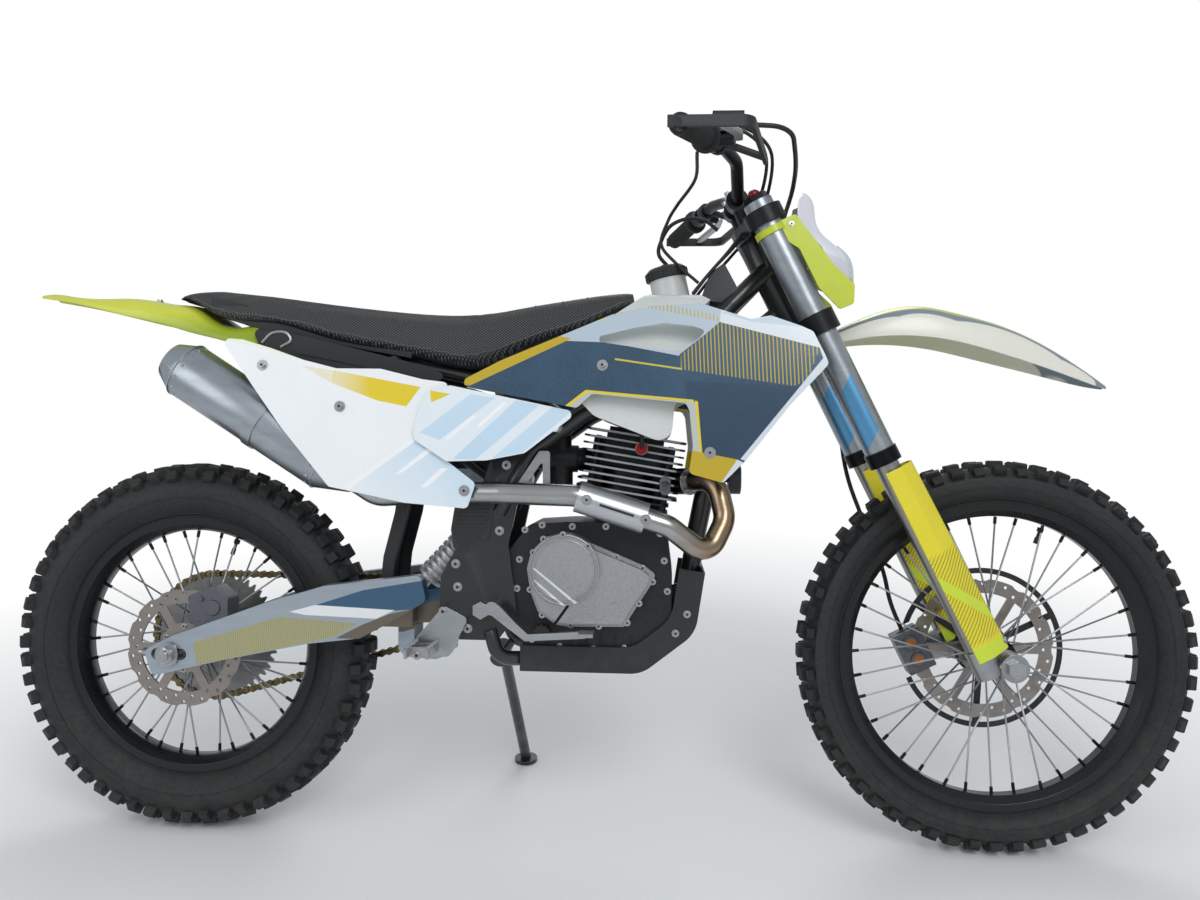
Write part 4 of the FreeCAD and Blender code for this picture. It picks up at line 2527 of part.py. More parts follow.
def chassis():
    """The nodes that stay fixed to the frame."""
    return {
        "main_frame": main_frame(),
        "subframe": subframe(),
        "swingarm": swingarm(),
        "rear_axle": rear_axle(),
        "pivot_bolt": pivot_bolt(),
        "shock_absorber": shock_absorber(),
        "drive_chain": chain(),
        "front_sprocket": moved(
            sprocket(front_teeth, front_shaft_radius + seat_gap), front_sprocket_x, chain_y, front_sprocket_z
        ),
        "crankcase": crankcase(),
        "clutch_cover": clutch_cover(),
        "left_cover": left_cover(),
        "cylinder": cylinder(),
        "carburettor": carburettor(),
        "airbox": airbox(),
        "header_pipe": header(),
        "heat_shield": heat_shield(),
        "muffler": muffler(),
        "fuel_tank": tank(),
        "tank_cap": tank_cap(),
        "tank_shrouds": shrouds(),
        "side_panels": side_panels(),
        "airbox_covers": airbox_covers(),
        "tail_covers": tail_covers(),
        "seat": seat(),
        "rear_fender": rear_fender(),
        "mudflap": mudflap(),
        "skid_plate": skid_plate(),
        "footpegs": footpegs(),
        "foot_controls": foot_controls(),
        "rear_caliper": rear_caliper(),
        "horn": horn(),
    }


def steering():
    """The nodes that turn with the fork."""
    return {
        "fork_tubes": fork_tubes(),
        "fork_legs": fork_legs(),
        "fork_guards": fork_guards(),
        "lower_clamp": lower_clamp(),
        "upper_clamp": upper_clamp(),
        "bar_mount": bar_mount(),
        "handlebar": handlebar(),
        "grips": grips(),
        "perches": perches(),
        "levers": levers(),
        "handguards": handguards(),
        "headlight_mask": headlight_mask(),
        "headlight": headlight(),
        "mask_brackets": mask_brackets(),
        "front_fender": front_fender(),
        "front_axle": front_axle(),
        "front_caliper": front_caliper(),
        "disc_guard": disc_guard(),
        "front_brake_hose": brake_hose(),
    }


def build():
    """Every node of the upright machine by name."""
    nodes = {}
    nodes.update(chassis())
    nodes.update(steering())
    nodes.update(front_wheel())
    nodes.update(rear_wheel())
    nodes["side_stand"] = side_stand()
    return nodes


def main():
    """Builds, leans and places every node, and writes one file for each."""
    os.makedirs("parts", exist_ok=True)
    nodes = build()
    for shape in nodes.values():
        shape.rotate(ORIGIN, X_AXIS, -lean_angle)
    bounds = FreeCAD.BoundBox()
    for shape in nodes.values():
        bounds.add(shape.optimalBoundingBox(False))
    shift = vec(-bounds.Center.x, -bounds.Center.y, -bounds.ZMin)
    print("origin shift", round(shift.x, 4), round(shift.y, 4), round(shift.z, 4))
    for name, shape in sorted(nodes.items()):
        shape.translate(shift)
        solids = shape.Solids
        ok = all(s.isValid() and s.Volume > 0 for s in solids)
        print(name, len(solids), "solids", "valid" if ok else "NOT VALID", round(shape.Volume / 1000))
        shape.exportStep("parts/" + name + ".step")


main()
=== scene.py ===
"""Looks of a trail motorcycle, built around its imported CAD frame.

The CAD frame gives every main form. Each class below dresses one sub-assembly: it gives the CAD forms
bevelled copies with their finishes, and adds tyre knobs, chain links, bolts, cables, seams and graphics.
Places are written upright, in millimetres: X from the rear axle forward, Y to the left, Z from the floor.
"""

from __future__ import annotations

import json
import logging
import math
from dataclasses import dataclass, field
from enum import Enum
from typing import Any, Callable, Iterable, Optional, Sequence, Union

import bmesh
import bpy
from mathutils import Matrix, Vector
from mathutils.bvhtree import BVHTree

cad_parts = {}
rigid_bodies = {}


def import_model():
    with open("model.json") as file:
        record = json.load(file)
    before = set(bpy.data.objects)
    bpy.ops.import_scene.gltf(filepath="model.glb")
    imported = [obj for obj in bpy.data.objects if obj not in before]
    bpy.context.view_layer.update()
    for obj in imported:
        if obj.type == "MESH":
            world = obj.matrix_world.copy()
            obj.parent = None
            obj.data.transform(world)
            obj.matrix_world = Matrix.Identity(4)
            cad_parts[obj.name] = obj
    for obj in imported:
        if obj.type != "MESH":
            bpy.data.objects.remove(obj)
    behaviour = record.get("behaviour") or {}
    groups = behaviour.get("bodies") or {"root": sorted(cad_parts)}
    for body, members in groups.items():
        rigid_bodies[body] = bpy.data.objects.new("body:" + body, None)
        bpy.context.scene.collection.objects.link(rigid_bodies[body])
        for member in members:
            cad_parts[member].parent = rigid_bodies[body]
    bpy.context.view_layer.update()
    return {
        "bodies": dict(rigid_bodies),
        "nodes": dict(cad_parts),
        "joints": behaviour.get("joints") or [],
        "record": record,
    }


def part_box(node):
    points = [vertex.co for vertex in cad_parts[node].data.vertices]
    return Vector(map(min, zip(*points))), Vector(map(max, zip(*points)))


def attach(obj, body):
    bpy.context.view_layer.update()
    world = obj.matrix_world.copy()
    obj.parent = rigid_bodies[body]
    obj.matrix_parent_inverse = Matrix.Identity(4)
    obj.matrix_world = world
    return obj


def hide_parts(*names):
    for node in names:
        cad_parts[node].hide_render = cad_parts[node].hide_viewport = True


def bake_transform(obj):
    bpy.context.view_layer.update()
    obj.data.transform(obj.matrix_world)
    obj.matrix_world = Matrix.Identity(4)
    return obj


LOG = logging.getLogger("motorcycle")

MM = 0.001
LEAN = math.radians(10.0)
RAKE = math.radians(26.5)
WHEELBASE = 1480.0
FRONT_AXLE_Z = 355.5265
REAR_AXLE_Z = 344.5845
AHEAD = Vector((1.0, 0.0, 0.0))
ACROSS = Vector((0.0, 1.0, 0.0))
UP = Vector((0.0, 0.0, 1.0))

Colour = tuple[float, float, float]
Point = tuple[float, float, float]
Flat = tuple[float, float]
Pair = tuple[float, float]
Size = tuple[float, float, float]
Outline = tuple[Flat, ...]
Copies = tuple[tuple[str, str, float], ...]
Socket = bpy.types.NodeSocket
Value = Union[Socket, float]
Inputs = Optional[dict[Union[str, int], object]]


class Texture(Enum):
    """What covers a surface at close range."""

    FINE = "fine grain"
    CAST = "cast metal"
    BRUSHED = "brushed metal"
    RUBBER = "worn rubber"
    COVER = "textured cover"
    GLASS = "clear glass"


class Side(Enum):
    """The sides of the machine."""

    RIGHT = -1
    LEFT = 1

    @property
    def out(self) -> Vector:
        """The upright direction out of this side."""
        return Vector((0.0, self.value, 0.0))


def linear(red: int, green: int, blue: int) -> Colour:
    """A screen colour from 0 to 255 as linear light.

    Args:
        red: Red, as seen on a screen.
        green: Green, as seen on a screen.
        blue: Blue, as seen on a screen.

    Returns:
        The three linear values.
    """

    def one(part: int) -> float:
        """One channel, linear."""
        share = part / 255.0
        return share / 12.92 if share <= 0.04045 else ((share + 0.055) / 1.055) ** 2.4

    return one(red), one(green), one(blue)


def fork(x: float, y: float, z: float) -> Vector:
    """A point of the fork's own frame on the upright machine, in millimetres."""
    c, s = math.cos(RAKE), math.sin(RAKE)
    return Vector((WHEELBASE + x * c - z * s, y, FRONT_AXLE_Z + x * s + z * c))


@dataclass(frozen=True)
class MachinePlace:
    """Carries upright millimetres to the leaning row frame in metres."""

    shift: Vector

    @classmethod
    def from_frame(cls) -> "MachinePlace":
        """Finds the frame's shift from the rear rim, whose middle is the rear axle.

        Returns:
            The machine's place.
        """
        low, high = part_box("rear_rim")
        axle = Vector((0.0, REAR_AXLE_Z * math.sin(LEAN), REAR_AXLE_Z * math.cos(LEAN))) * MM
        return cls((Vector(low) + Vector(high)) / 2 - axle)

    def matrix(self) -> Matrix:
        """The matrix from upright millimetres to the row frame."""
        return Matrix.Translation(self.shift) @ Matrix.Rotation(-LEAN, 4, "X") @ Matrix.Scale(MM, 4)

    def row(self, point: Sequence[float]) -> Vector:
        """An upright point in the row frame."""
        return self.matrix() @ Vector(point)


class Graph:
    """Adds and links shader nodes in one tree."""

    def __init__(self, tree: bpy.types.NodeTree, place: MachinePlace) -> None:
        """Empties a tree and starts on it.

        Args:
            tree: The tree to fill.
            place: Where the machine stands.
        """
        tree.nodes.clear()
        self.tree = tree
        self.place = place

    def node(self, kind: str, inputs: Inputs = None, **settings: object) -> bpy.types.Node:
        """A new node with its settings and inputs.

        Args:
            kind: The node's type.
            inputs: A socket to link or a constant for each input, by its name or number.
            settings: The node's own properties.

        Returns:
            The node.
        """
        made = self.tree.nodes.new(kind)
        for name, value in settings.items():
            setattr(made, name, value)
        for key, value in (inputs or {}).items():
            if isinstance(value, bpy.types.NodeSocket):
                self.tree.links.new(value, made.inputs[key])
            else:
                made.inputs[key].default_value = value
        return made

    def math(self, operation: str, *values: Value, clamp: bool = False) -> Socket:
        """The result of one maths node."""
        return self.node("ShaderNodeMath", dict(enumerate(values)), operation=operation,
                         use_clamp=clamp).outputs[0]

    def mix(self, factor: Value, first: object, second: object) -> Socket:
        """Two colours mixed; the factor is how much of the second shows."""
        low, high = ((*value, 1.0) if isinstance(value, tuple) else value for value in (first, second))
        return self.node("ShaderNodeMix", {0: factor, 6: low, 7: high}, data_type="RGBA").outputs[2]

    def ramp(self, value: Value, low: float, high: float) -> Socket:
        """A value stretched so that low gives 0 and high gives 1, held between them."""
        return self.node("ShaderNodeMapRange", {0: value, 1: low, 2: high}, clamp=True).outputs[0]

    def object_place(self) -> Socket:
        """The place of a shaded point in the row frame, in metres."""
        return self.node("ShaderNodeTexCoord").outputs["Object"]

    def upright(self) -> Socket:
        """The place of a shaded point on the upright machine, in millimetres.

        Returns:
            The place.
        """
        location = -(Matrix.Rotation(LEAN, 3, "X") @ self.place.shift) / MM
        inputs = {
            "Vector": self.object_place(),
            "Location": location,
            "Rotation": (LEAN, 0.0, 0.0),
            "Scale": (1.0 / MM,) * 3,
        }
        return self.node("ShaderNodeMapping", inputs, vector_type="POINT").outputs[0]

    def along(self, point: Socket, direction: Sequence[float]) -> Socket:
        """How far a place lies along a direction."""
        inputs = {0: point, 1: tuple(direction)}
        return self.node("ShaderNodeVectorMath", inputs, operation="DOT_PRODUCT").outputs["Value"]

    def noise(self, point: Socket, scale: Value, detail: float) -> Socket:
        """Soft noise at a place."""
        return self.node("ShaderNodeTexNoise",
                         {"Vector": point, "Scale": scale, "Detail": detail}).outputs[0]

    def bump(self, height: Value, strength: Value, depth: float) -> Socket:
        """A surface normal from a height, with its depth in metres."""
        return self.node("ShaderNodeBump",
                         {"Height": height, "Strength": strength, "Distance": depth}).outputs[0]

    def inside(self, point: Socket, corners: Sequence[Flat], soft: float = 0.8) -> Socket:
        """A mask of a convex side-view outline.

        Args:
            point: The upright place.
            corners: X and Z of each corner, in order round the outline.
            soft: How wide the mask's edge is, in millimetres.

        Returns:
            One inside the outline and nought outside.
        """
        middle = Vector((sum(x for x, _ in corners), sum(z for _, z in corners))) / len(corners)
        mask: Optional[Socket] = None
        for (x0, z0), (x1, z1) in zip(corners, list(corners[1:]) + [corners[0]]):
            normal = Vector((z0 - z1, x1 - x0)).normalized()
            offset = normal.dot(Vector((x0, z0)))
            if normal.dot(middle) < offset:
                normal, offset = -normal, -offset
            depth = self.along(point, (normal.x / soft, 0.0, normal.y / soft))
            edge = self.math("SUBTRACT", depth, offset / soft - 0.5, clamp=True)
            mask = edge if mask is None else self.math("MINIMUM", mask, edge)
        assert mask is not None
        return mask


@dataclass(frozen=True)
class Stripes:
    """Fine parallel lines inside a patch."""

    direction: Flat
    pitch: float
    share: float
    colour: Colour


@dataclass(frozen=True)
class Patch:
    """One coloured field of the graphics, by its side-view outline."""

    corners: Sequence[Flat]
    colour: Colour
    cover: float = 1.0
    stripes: Optional[Stripes] = None
    fade: Optional[tuple[Flat, float, float]] = None

    def paint(self, graph: Graph, point: Socket, under: object) -> Socket:
        """The colour under the patch with the patch laid over it.

        Args:
            graph: The tree to add to.
            point: The upright place.
            under: The colour so far.

        Returns:
            The new colour.
        """
        mask = graph.inside(point, self.corners)
        colour: object = self.colour
        if self.stripes is not None:
            across = Vector(self.stripes.direction).normalized() / self.stripes.pitch
            wave = graph.math("FRACT", graph.along(point, (across.x, 0.0, across.y)))
            off_middle = graph.math("ABSOLUTE", graph.math("SUBTRACT", wave, 0.5))
            half = self.stripes.share / 2
            line = graph.ramp(off_middle, half + 0.06, half - 0.06)
            colour = graph.mix(line, self.colour, self.stripes.colour)
        factor: Value = mask if self.cover >= 1.0 else graph.math("MULTIPLY", mask, self.cover)
        if self.fade is not None:
            direction, low, high = self.fade
            across = Vector(direction).normalized()
            share = graph.ramp(graph.along(point, (across.x, 0.0, across.y)), low, high)
            factor = graph.math("MULTIPLY", factor, share)
        return graph.mix(factor, under, colour)


def new_group(name: str, outputs: Sequence[tuple[str, str]]) -> bpy.types.NodeTree:
    """An empty node group with inputs for scale and strength.

    Args:
        name: The group's name.
        outputs: The name and socket type of each output.

    Returns:
        The group.
    """
    group = bpy.data.node_groups.new(name, "ShaderNodeTree")
    group.interface.new_socket(name="Scale", in_out="INPUT", socket_type="NodeSocketFloat")
    group.interface.new_socket(name="Strength", in_out="INPUT", socket_type="NodeSocketFloat")
    for label, kind in outputs:
        group.interface.new_socket(name=label, in_out="OUTPUT", socket_type=kind)
    return group


class Effects:
    """Shader groups that several finishes share."""

    def __init__(self, place: MachinePlace) -> None:
        """Builds the groups once.

        Args:
            place: Where the machine stands.
        """
        self.place = place
        self.groups = {
            Texture.FINE: self._grained("Fine grain", (1.0, 1.0, 1.0), 2.0, 0.0002),
            Texture.CAST: self._grained("Cast skin", (1.0, 1.0, 1.0), 6.0, 0.0006),
            Texture.BRUSHED: self._grained("Brushed lines", (1.0, 9.0, 9.0), 3.0, 0.0002),
            Texture.RUBBER: self._grained("Worn rubber", (1.0, 1.0, 1.0), 5.0, 0.0005),
            Texture.COVER: self._cover(),
        }
        self.dust = self._dust()

    def _grained(self, name: str, stretch: Sequence[float], detail: float,
                 depth: float) -> bpy.types.NodeTree:
        """A group of two noises: a value for tone and a bumped normal.

        Args:
            name: The group's name.
            stretch: How the grain is drawn out along each axis.
            detail: How many layers the grain has.
            depth: The bump's depth in metres.

        Returns:
            The group.
        """
        group = new_group(name, (("Value", "NodeSocketFloat"), ("Normal", "NodeSocketVector")))
        graph = Graph(group, self.place)
        entry = graph.node("NodeGroupInput").outputs
        inputs = {"Vector": graph.object_place(), "Scale": tuple(stretch)}
        point = graph.node("ShaderNodeMapping", inputs, vector_type="POINT").outputs[0]
        fine = graph.noise(point, entry["Scale"], detail)
        broad = graph.noise(point, 9.0, 2.0)
        tone = graph.math("ADD", graph.math("MULTIPLY", fine, 0.6), graph.math("MULTIPLY", broad, 0.4))
        graph.node("NodeGroupOutput", {"Value": tone, "Normal": graph.bump(fine, entry["Strength"], depth)})
        return group

    def _cover(self) -> bpy.types.NodeTree:
        """The seat cover's raised diamonds, in rows that slant both ways round the cushion.

        Returns:
            The group.
        """
        group = new_group("Seat cover", (("Value", "NodeSocketFloat"), ("Normal", "NodeSocketVector")))
        graph = Graph(group, self.place)
        entry = graph.node("NodeGroupInput").outputs
        point = graph.upright()
        width = graph.math("ABSOLUTE", graph.along(point, ACROSS))
        girth = graph.math("SUBTRACT", graph.math("MULTIPLY", width, 0.9), graph.along(point, UP))
        length = graph.along(point, AHEAD)
        waves = []
        for way in ("ADD", "SUBTRACT"):
            rows = graph.math("DIVIDE", graph.math(way, length, girth), entry["Scale"])
            waves.append(graph.math("ABSOLUTE", graph.math("SUBTRACT", graph.math("FRACT", rows), 0.5)))
        raised = graph.ramp(graph.math("MINIMUM", *waves), 0.12, 0.34)
        normal = graph.bump(raised, entry["Strength"], 0.0006)
        graph.node("NodeGroupOutput", {"Value": raised, "Normal": normal})
        return group

    def _dust(self) -> bpy.types.NodeTree:
        """A mask of dry dust that thins out with height.

        Returns:
            The group.
        """
        group = new_group("Dust", (("Mask", "NodeSocketFloat"),))
        graph = Graph(group, self.place)
        low = graph.ramp(graph.along(graph.upright(), UP), 420.0, 40.0)
        patchy = graph.ramp(graph.noise(graph.object_place(), 38.0, 5.0), 0.45, 0.75)
        strength = graph.node("NodeGroupInput").outputs["Strength"]
        mask = graph.math("MULTIPLY", graph.math("MULTIPLY", low, patchy), strength)
        graph.node("NodeGroupOutput", {"Mask": mask})
        return group


@dataclass(frozen=True)
class Finish:
    """One surface: its two tones, gloss, close-range texture and any graphics."""

    name: str
    colour: Colour
    second: Colour
    rough: float = 0.45
    metal: float = 0.0
    texture: Texture = Texture.FINE
    scale: float = 420.0
    strength: float = 0.15
    rough_spread: float = 0.12
    coat: float = 0.0
    dust: float = 0.0
    patches: tuple[Patch, ...] = ()
    tint: Optional[Callable[[Graph, Socket, object], Socket]] = None

    def build(self, effects: Effects) -> bpy.types.Material:
        """The finish as a material.

        Args:
            effects: The shared shader groups.

        Returns:
            The material.
        """
        material = bpy.data.materials.new(self.name)
        material.use_nodes = True
        graph = Graph(material.node_tree, effects.place)
        coating = {"Metallic": self.metal, "Coat Weight": self.coat, "Coat Roughness": 0.15}
        if self.texture is Texture.GLASS:
            coating.update({"Base Color": (*self.colour, 1.0), "Roughness": self.rough, "Coat Weight": 0.6})
            shader = graph.node("ShaderNodeBsdfPrincipled", coating)
            graph.node("ShaderNodeOutputMaterial", {"Surface": shader.outputs[0]})
            return material
        kind = effects.groups[self.texture]
        grain = graph.node("ShaderNodeGroup", node_tree=kind)
        grain.inputs["Scale"].default_value = self.scale
        grain.inputs["Strength"].default_value = self.strength
        value = grain.outputs["Value"]
        colour: object = graph.mix(graph.ramp(value, 0.35, 0.65), self.colour, self.second)
        point = graph.upright()
        if self.tint is not None:
            colour = self.tint(graph, point, colour)
        for patch in self.patches:
            colour = patch.paint(graph, point, colour)
        if self.dust > 0.0:
            dust = graph.node("ShaderNodeGroup", node_tree=effects.dust)
            dust.inputs["Strength"].default_value = self.dust
            colour = graph.mix(dust.outputs["Mask"], colour, linear(150, 138, 120))
        spread = graph.math("MULTIPLY", graph.math("SUBTRACT", value, 0.5), self.rough_spread * 2)
        rough = graph.math("ADD", spread, self.rough, clamp=True)
        surface = {"Base Color": colour, "Roughness": rough, "Normal": grain.outputs["Normal"]}
        shader = graph.node("ShaderNodeBsdfPrincipled", coating | surface)
        graph.node("ShaderNodeOutputMaterial", {"Surface": shader.outputs[0]})
        return material


WHITE = linear(248, 250, 251)
PALE_BLUE = linear(196, 222, 240)
SLATE = linear(52, 86, 112)
DEEP_SLATE = linear(34, 60, 82)
YELLOW = linear(232, 205, 40)
MUSTARD = linear(196, 168, 30)
LIME = linear(196, 210, 40)
SHADED_LIME = linear(150, 172, 26)
# Painted shade for the rear fender's low edge.
RIM_GREY = linear(184, 198, 210)
FIELD = Stripes((1.0, 0.05), 6.4, 0.30, MUSTARD)

SHROUD_PATCHES = (
    Patch([(690, 905), (787, 901), (800, 1010), (690, 1010)], RIM_GREY),
    Patch([(786, 901), (905, 878), (960, 1010), (798, 1010)], RIM_GREY),
    Patch([(903, 878), (974, 935), (1000, 1010), (955, 1010)], RIM_GREY),
    Patch([(972, 935), (1137, 891), (1180, 1010), (980, 1010)], linear(222, 230, 236)),
    Patch([(908, 854), (1093, 827), (1114, 826), (1003, 703), (939, 716)], DEEP_SLATE, 0.55),
    Patch([(508, 832), (547, 827), (722, 908), (694, 914)], MUSTARD),
    Patch([(736, 950), (772, 938), (806, 966), (780, 985)], YELLOW),
    Patch([(790, 962), (843, 976), (843, 962), (788, 945)], RIM_GREY, 1.0, FIELD),
    Patch([(843, 976), (966, 948), (974, 935), (843, 962)], RIM_GREY, 1.0, FIELD),
    Patch([(908, 879), (908, 855), (1093, 828), (1115, 835), (1136, 891), (972, 935)], SLATE, 1.0, FIELD),
    Patch([(972, 952), (1026, 935), (1124, 924), (1068, 950), (1026, 958)], linear(200, 214, 224)),
    Patch([(797, 874), (910, 857), (910, 854), (797, 871)], linear(206, 196, 60)),
    Patch([(715, 789), (750, 816), (752, 800), (716, 772)], linear(190, 196, 190)),
    Patch([(713, 793), (748, 820), (751, 816), (716, 789)], YELLOW),
    Patch([(750, 816), (928, 800), (926, 784), (748, 800)], linear(190, 196, 190)),
    Patch([(749, 820), (930, 804), (930, 800), (749, 816)], YELLOW),
    Patch([(918, 802), (934, 800), (942, 716), (924, 716)], linear(190, 196, 190)),
    Patch([(932, 803), (937, 801), (945, 716), (941, 716)], YELLOW),
    Patch([(924, 720), (1004, 705), (978, 666), (924, 670)], MUSTARD),
    Patch([(1003, 705), (1018, 698), (1000, 662), (974, 662)], linear(214, 222, 230)),
    Patch([(1008, 706), (1024, 700), (1162, 872), (1143, 876)], linear(214, 223, 232)),
    Patch([(1142, 872), (1175, 866), (1145, 935), (1124, 926)], linear(220, 228, 236)),
)
SIDE_PANEL_PATCHES = (
    Patch([(95, 930), (262, 889), (262, 868), (95, 908)], linear(240, 242, 190), 0.4),
    Patch([(249, 860), (312, 850), (306, 829)], YELLOW, 0.35),
    Patch([(306, 852), (460, 824), (436, 790), (385, 800), (306, 829)], YELLOW,
          fade=((1.0, 0.0), 250.0, 372.0)),
    Patch([(300, 612), (560, 612), (560, 740), (470, 742), (448, 734)], PALE_BLUE, 0.75,
          fade=((0.6, 0.8), 690.0, 860.0)),
    Patch([(448, 734), (458, 734), (338, 645), (328, 649)], WHITE),
    Patch([(479, 722), (494, 722), (432, 676), (418, 672)], WHITE),
    Patch([(498, 684), (510, 684), (474, 651), (463, 651)], WHITE),
)
COVER_PATCHES = (
    Patch([(478, 818), (514, 812), (506, 808), (481, 797)], YELLOW),
    Patch([(462, 745), (549, 812), (592, 806), (497, 733)], PALE_BLUE, 0.85),
    Patch([(520, 700), (628, 802), (668, 794), (560, 700)], PALE_BLUE, 0.95),
    Patch([(588, 702), (692, 792), (724, 784), (640, 712)], PALE_BLUE, 0.85),
    Patch([(506, 735), (512, 733), (560, 774), (555, 776)], WHITE),
    Patch([(560, 757), (566, 755), (612, 797), (606, 799)], WHITE),
)
SWINGARM_PATCHES = (
    Patch([(265, 437), (353, 466), (465, 486), (500, 486), (494, 452), (479, 437), (410, 431)],
          linear(74, 104, 132)),
    Patch([(220, 425), (266, 438), (410, 432), (377, 416), (248, 420)], WHITE),
    Patch([(44, 366), (204, 416), (343, 407), (301, 382), (52, 326)], linear(150, 158, 160), 1.0,
          Stripes((1.0, 0.1), 3.4, 0.45, linear(206, 190, 84))),
    Patch([(350, 404), (401, 425), (440, 434), (440, 390), (402, 378), (305, 380)], linear(118, 110, 98)),
    Patch([(436, 433), (505, 450), (512, 412), (436, 389)], linear(118, 110, 98)),
)
MUFFLER_PATCHES = (Patch([(-25, 880), (-21, 882), (2, 806), (-2, 804)], linear(70, 74, 78)),)
CLUTCH_PATCHES = (
    Patch([(655, 512), (660, 512), (736, 452), (731, 450)], linear(236, 238, 240)),
    Patch([(656, 491), (661, 491), (715, 447), (710, 446)], linear(236, 238, 240)),
    Patch([(688, 409), (716, 449), (720, 446), (692, 406)], linear(24, 24, 26)),
)
MASK_PATCHES = (
    Patch([(1000, 1010), (1300, 1010), (1300, 1052), (1000, 1070)], linear(214, 216, 230), 0.7),
)


def fender_bands(graph: Graph, point: Socket, under: object) -> Socket:
    """A yellow crown and a grey-blue line along the front fender, over its white sides.

    Args:
        graph: The tree to add to.
        point: The upright place.
        under: The white of the sides.

    Returns:
        The banded colour.
    """
    across = graph.math("ABSOLUTE", graph.along(point, ACROSS))
    length = graph.along(point, AHEAD)
    taper = graph.math("MULTIPLY", graph.ramp(length, 1390.0, 1580.0), 33.0)
    tip = graph.math("MULTIPLY", graph.ramp(length, 1580.0, 1646.0), 22.0)
    nose = graph.math("SUBTRACT", graph.math("SUBTRACT", 80.0, taper), tip)
    tail = graph.math("ADD", 54.0, graph.math("MULTIPLY", graph.ramp(length, 1140.0, 1290.0), 26.0))
    share = graph.math("DIVIDE", across, graph.math("MINIMUM", nose, tail))
    grey = graph.mix(graph.ramp(share, 0.935, 0.925), under, linear(128, 142, 152))
    crown = graph.math("MULTIPLY", graph.ramp(share, 0.825, 0.815), graph.ramp(length, 1600.0, 1480.0))
    return graph.mix(crown, grey, linear(206, 208, 52))


def from_axle(graph: Graph, point: Socket, direction: Vector) -> Socket:
    """How far a place lies from the front axle along a direction."""
    axle = Vector((WHEELBASE, 0.0, FRONT_AXLE_Z))
    return graph.math("SUBTRACT", graph.along(point, direction), axle.dot(direction))


def guard_bands(graph: Graph, point: Socket, under: object) -> Socket:
    """Slanting pinstripes and a brighter band on the lower fork guards.

    Args:
        graph: The tree to add to.
        point: The upright place.
        under: The guard's plain colour.

    Returns:
        The striped colour.
    """
    height = from_axle(graph, point, Vector((-math.sin(RAKE), 0.0, math.cos(RAKE))))
    forward = from_axle(graph, point, Vector((math.cos(RAKE), 0.0, math.sin(RAKE))))
    ahead = graph.math("MULTIPLY", forward, 0.67)
    slant = graph.math("SUBTRACT", graph.math("MULTIPLY", height, 0.75), ahead)
    rows = graph.math("FRACT", graph.math("DIVIDE", slant, 5.6))
    wave = graph.math("ABSOLUTE", graph.math("SUBTRACT", rows, 0.5))
    lines = graph.math("MULTIPLY", graph.ramp(wave, 0.22, 0.14), 0.7)
    low = graph.math("MULTIPLY", graph.ramp(height, 235.0, 225.0), graph.ramp(height, 60.0, 70.0))
    striped = graph.mix(graph.math("MULTIPLY", lines, low), under, linear(120, 112, 20))
    band = graph.math("ADD", height, graph.math("MULTIPLY", forward, 1.4))
    bright = graph.math("MULTIPLY", graph.ramp(band, 96.0, 99.0), graph.ramp(band, 128.0, 125.0))
    foot = graph.ramp(height, 62.0, 58.0)
    return graph.mix(graph.math("MAXIMUM", bright, foot), striped, linear(206, 224, 58))


def hub_parts(wheel_x: float, wheel_z: float, rim: float) -> Callable[[Graph, Socket, object], Socket]:
    """A tint that leaves the hub black and makes the spokes steel and their nipples dark.

    Args:
        wheel_x: The axle's X.
        wheel_z: The axle's Z.
        rim: The radius where the nipples begin.

    Returns:
        The tint.
    """

    def tint(graph: Graph, point: Socket, under: object) -> Socket:
        """Steel between the hub's flange and the nipples.

        Args:
            graph: The tree to add to.
            point: The upright place.
            under: The hub's black.

        Returns:
            The tinted colour.
        """
        x = graph.math("SUBTRACT", graph.along(point, AHEAD), wheel_x)
        z = graph.math("SUBTRACT", graph.along(point, UP), wheel_z)
        squares = graph.math("MULTIPLY", x, x), graph.math("MULTIPLY", z, z)
        radius = graph.math("SQRT", graph.math("ADD", *squares))
        wire = graph.math("MULTIPLY", graph.ramp(radius, 34.0, 35.0),
                          graph.ramp(radius, rim + 0.5, rim - 0.5))
        return graph.mix(wire, under, linear(176, 178, 182))

    return tint


def leg_parts(graph: Graph, point: Socket, under: object) -> Socket:
    """A bright tube above the satin axle lug."""
    height = from_axle(graph, point, Vector((-math.sin(RAKE), 0.0, math.cos(RAKE))))
    return graph.mix(graph.ramp(height, 51.0, 53.0), under, linear(158, 156, 150))


def tube_parts(graph: Graph, point: Socket, under: object) -> Socket:
    """Black collars low on the outer fork tubes, black caps on top and a plain blue label field.

    Args:
        graph: The tree to add to.
        point: The upright place.
        under: The tube's alloy.

    Returns:
        The tinted colour.
    """
    label = [(1184, 822), (1198, 855), (1247, 760), (1230, 721)]
    under = Patch(label, linear(98, 158, 200)).paint(graph, point, under)
    height = from_axle(graph, point, Vector((-math.sin(RAKE), 0.0, math.cos(RAKE))))
    low = graph.mix(graph.ramp(height, 432.0, 430.0), under, linear(26, 27, 30))
    return graph.mix(graph.ramp(height, 911.0, 913.0), low, linear(24, 25, 28))


def header_heat(graph: Graph, point: Socket, under: object) -> Socket:
    """A bronze tone where the pipe bends at the front, paler towards the silencer."""
    hot = graph.math("MULTIPLY", graph.ramp(graph.along(point, AHEAD), 880.0, 965.0), 0.75)
    return graph.mix(hot, under, linear(150, 118, 74))


def fin_edges(graph: Graph, point: Socket, under: object) -> Socket:
    """Bright worn rims on the cylinder's black fins."""
    across = graph.math("ABSOLUTE", graph.along(point, ACROSS))
    return graph.mix(graph.ramp(across, 69.4, 70.4), under, linear(170, 174, 178))


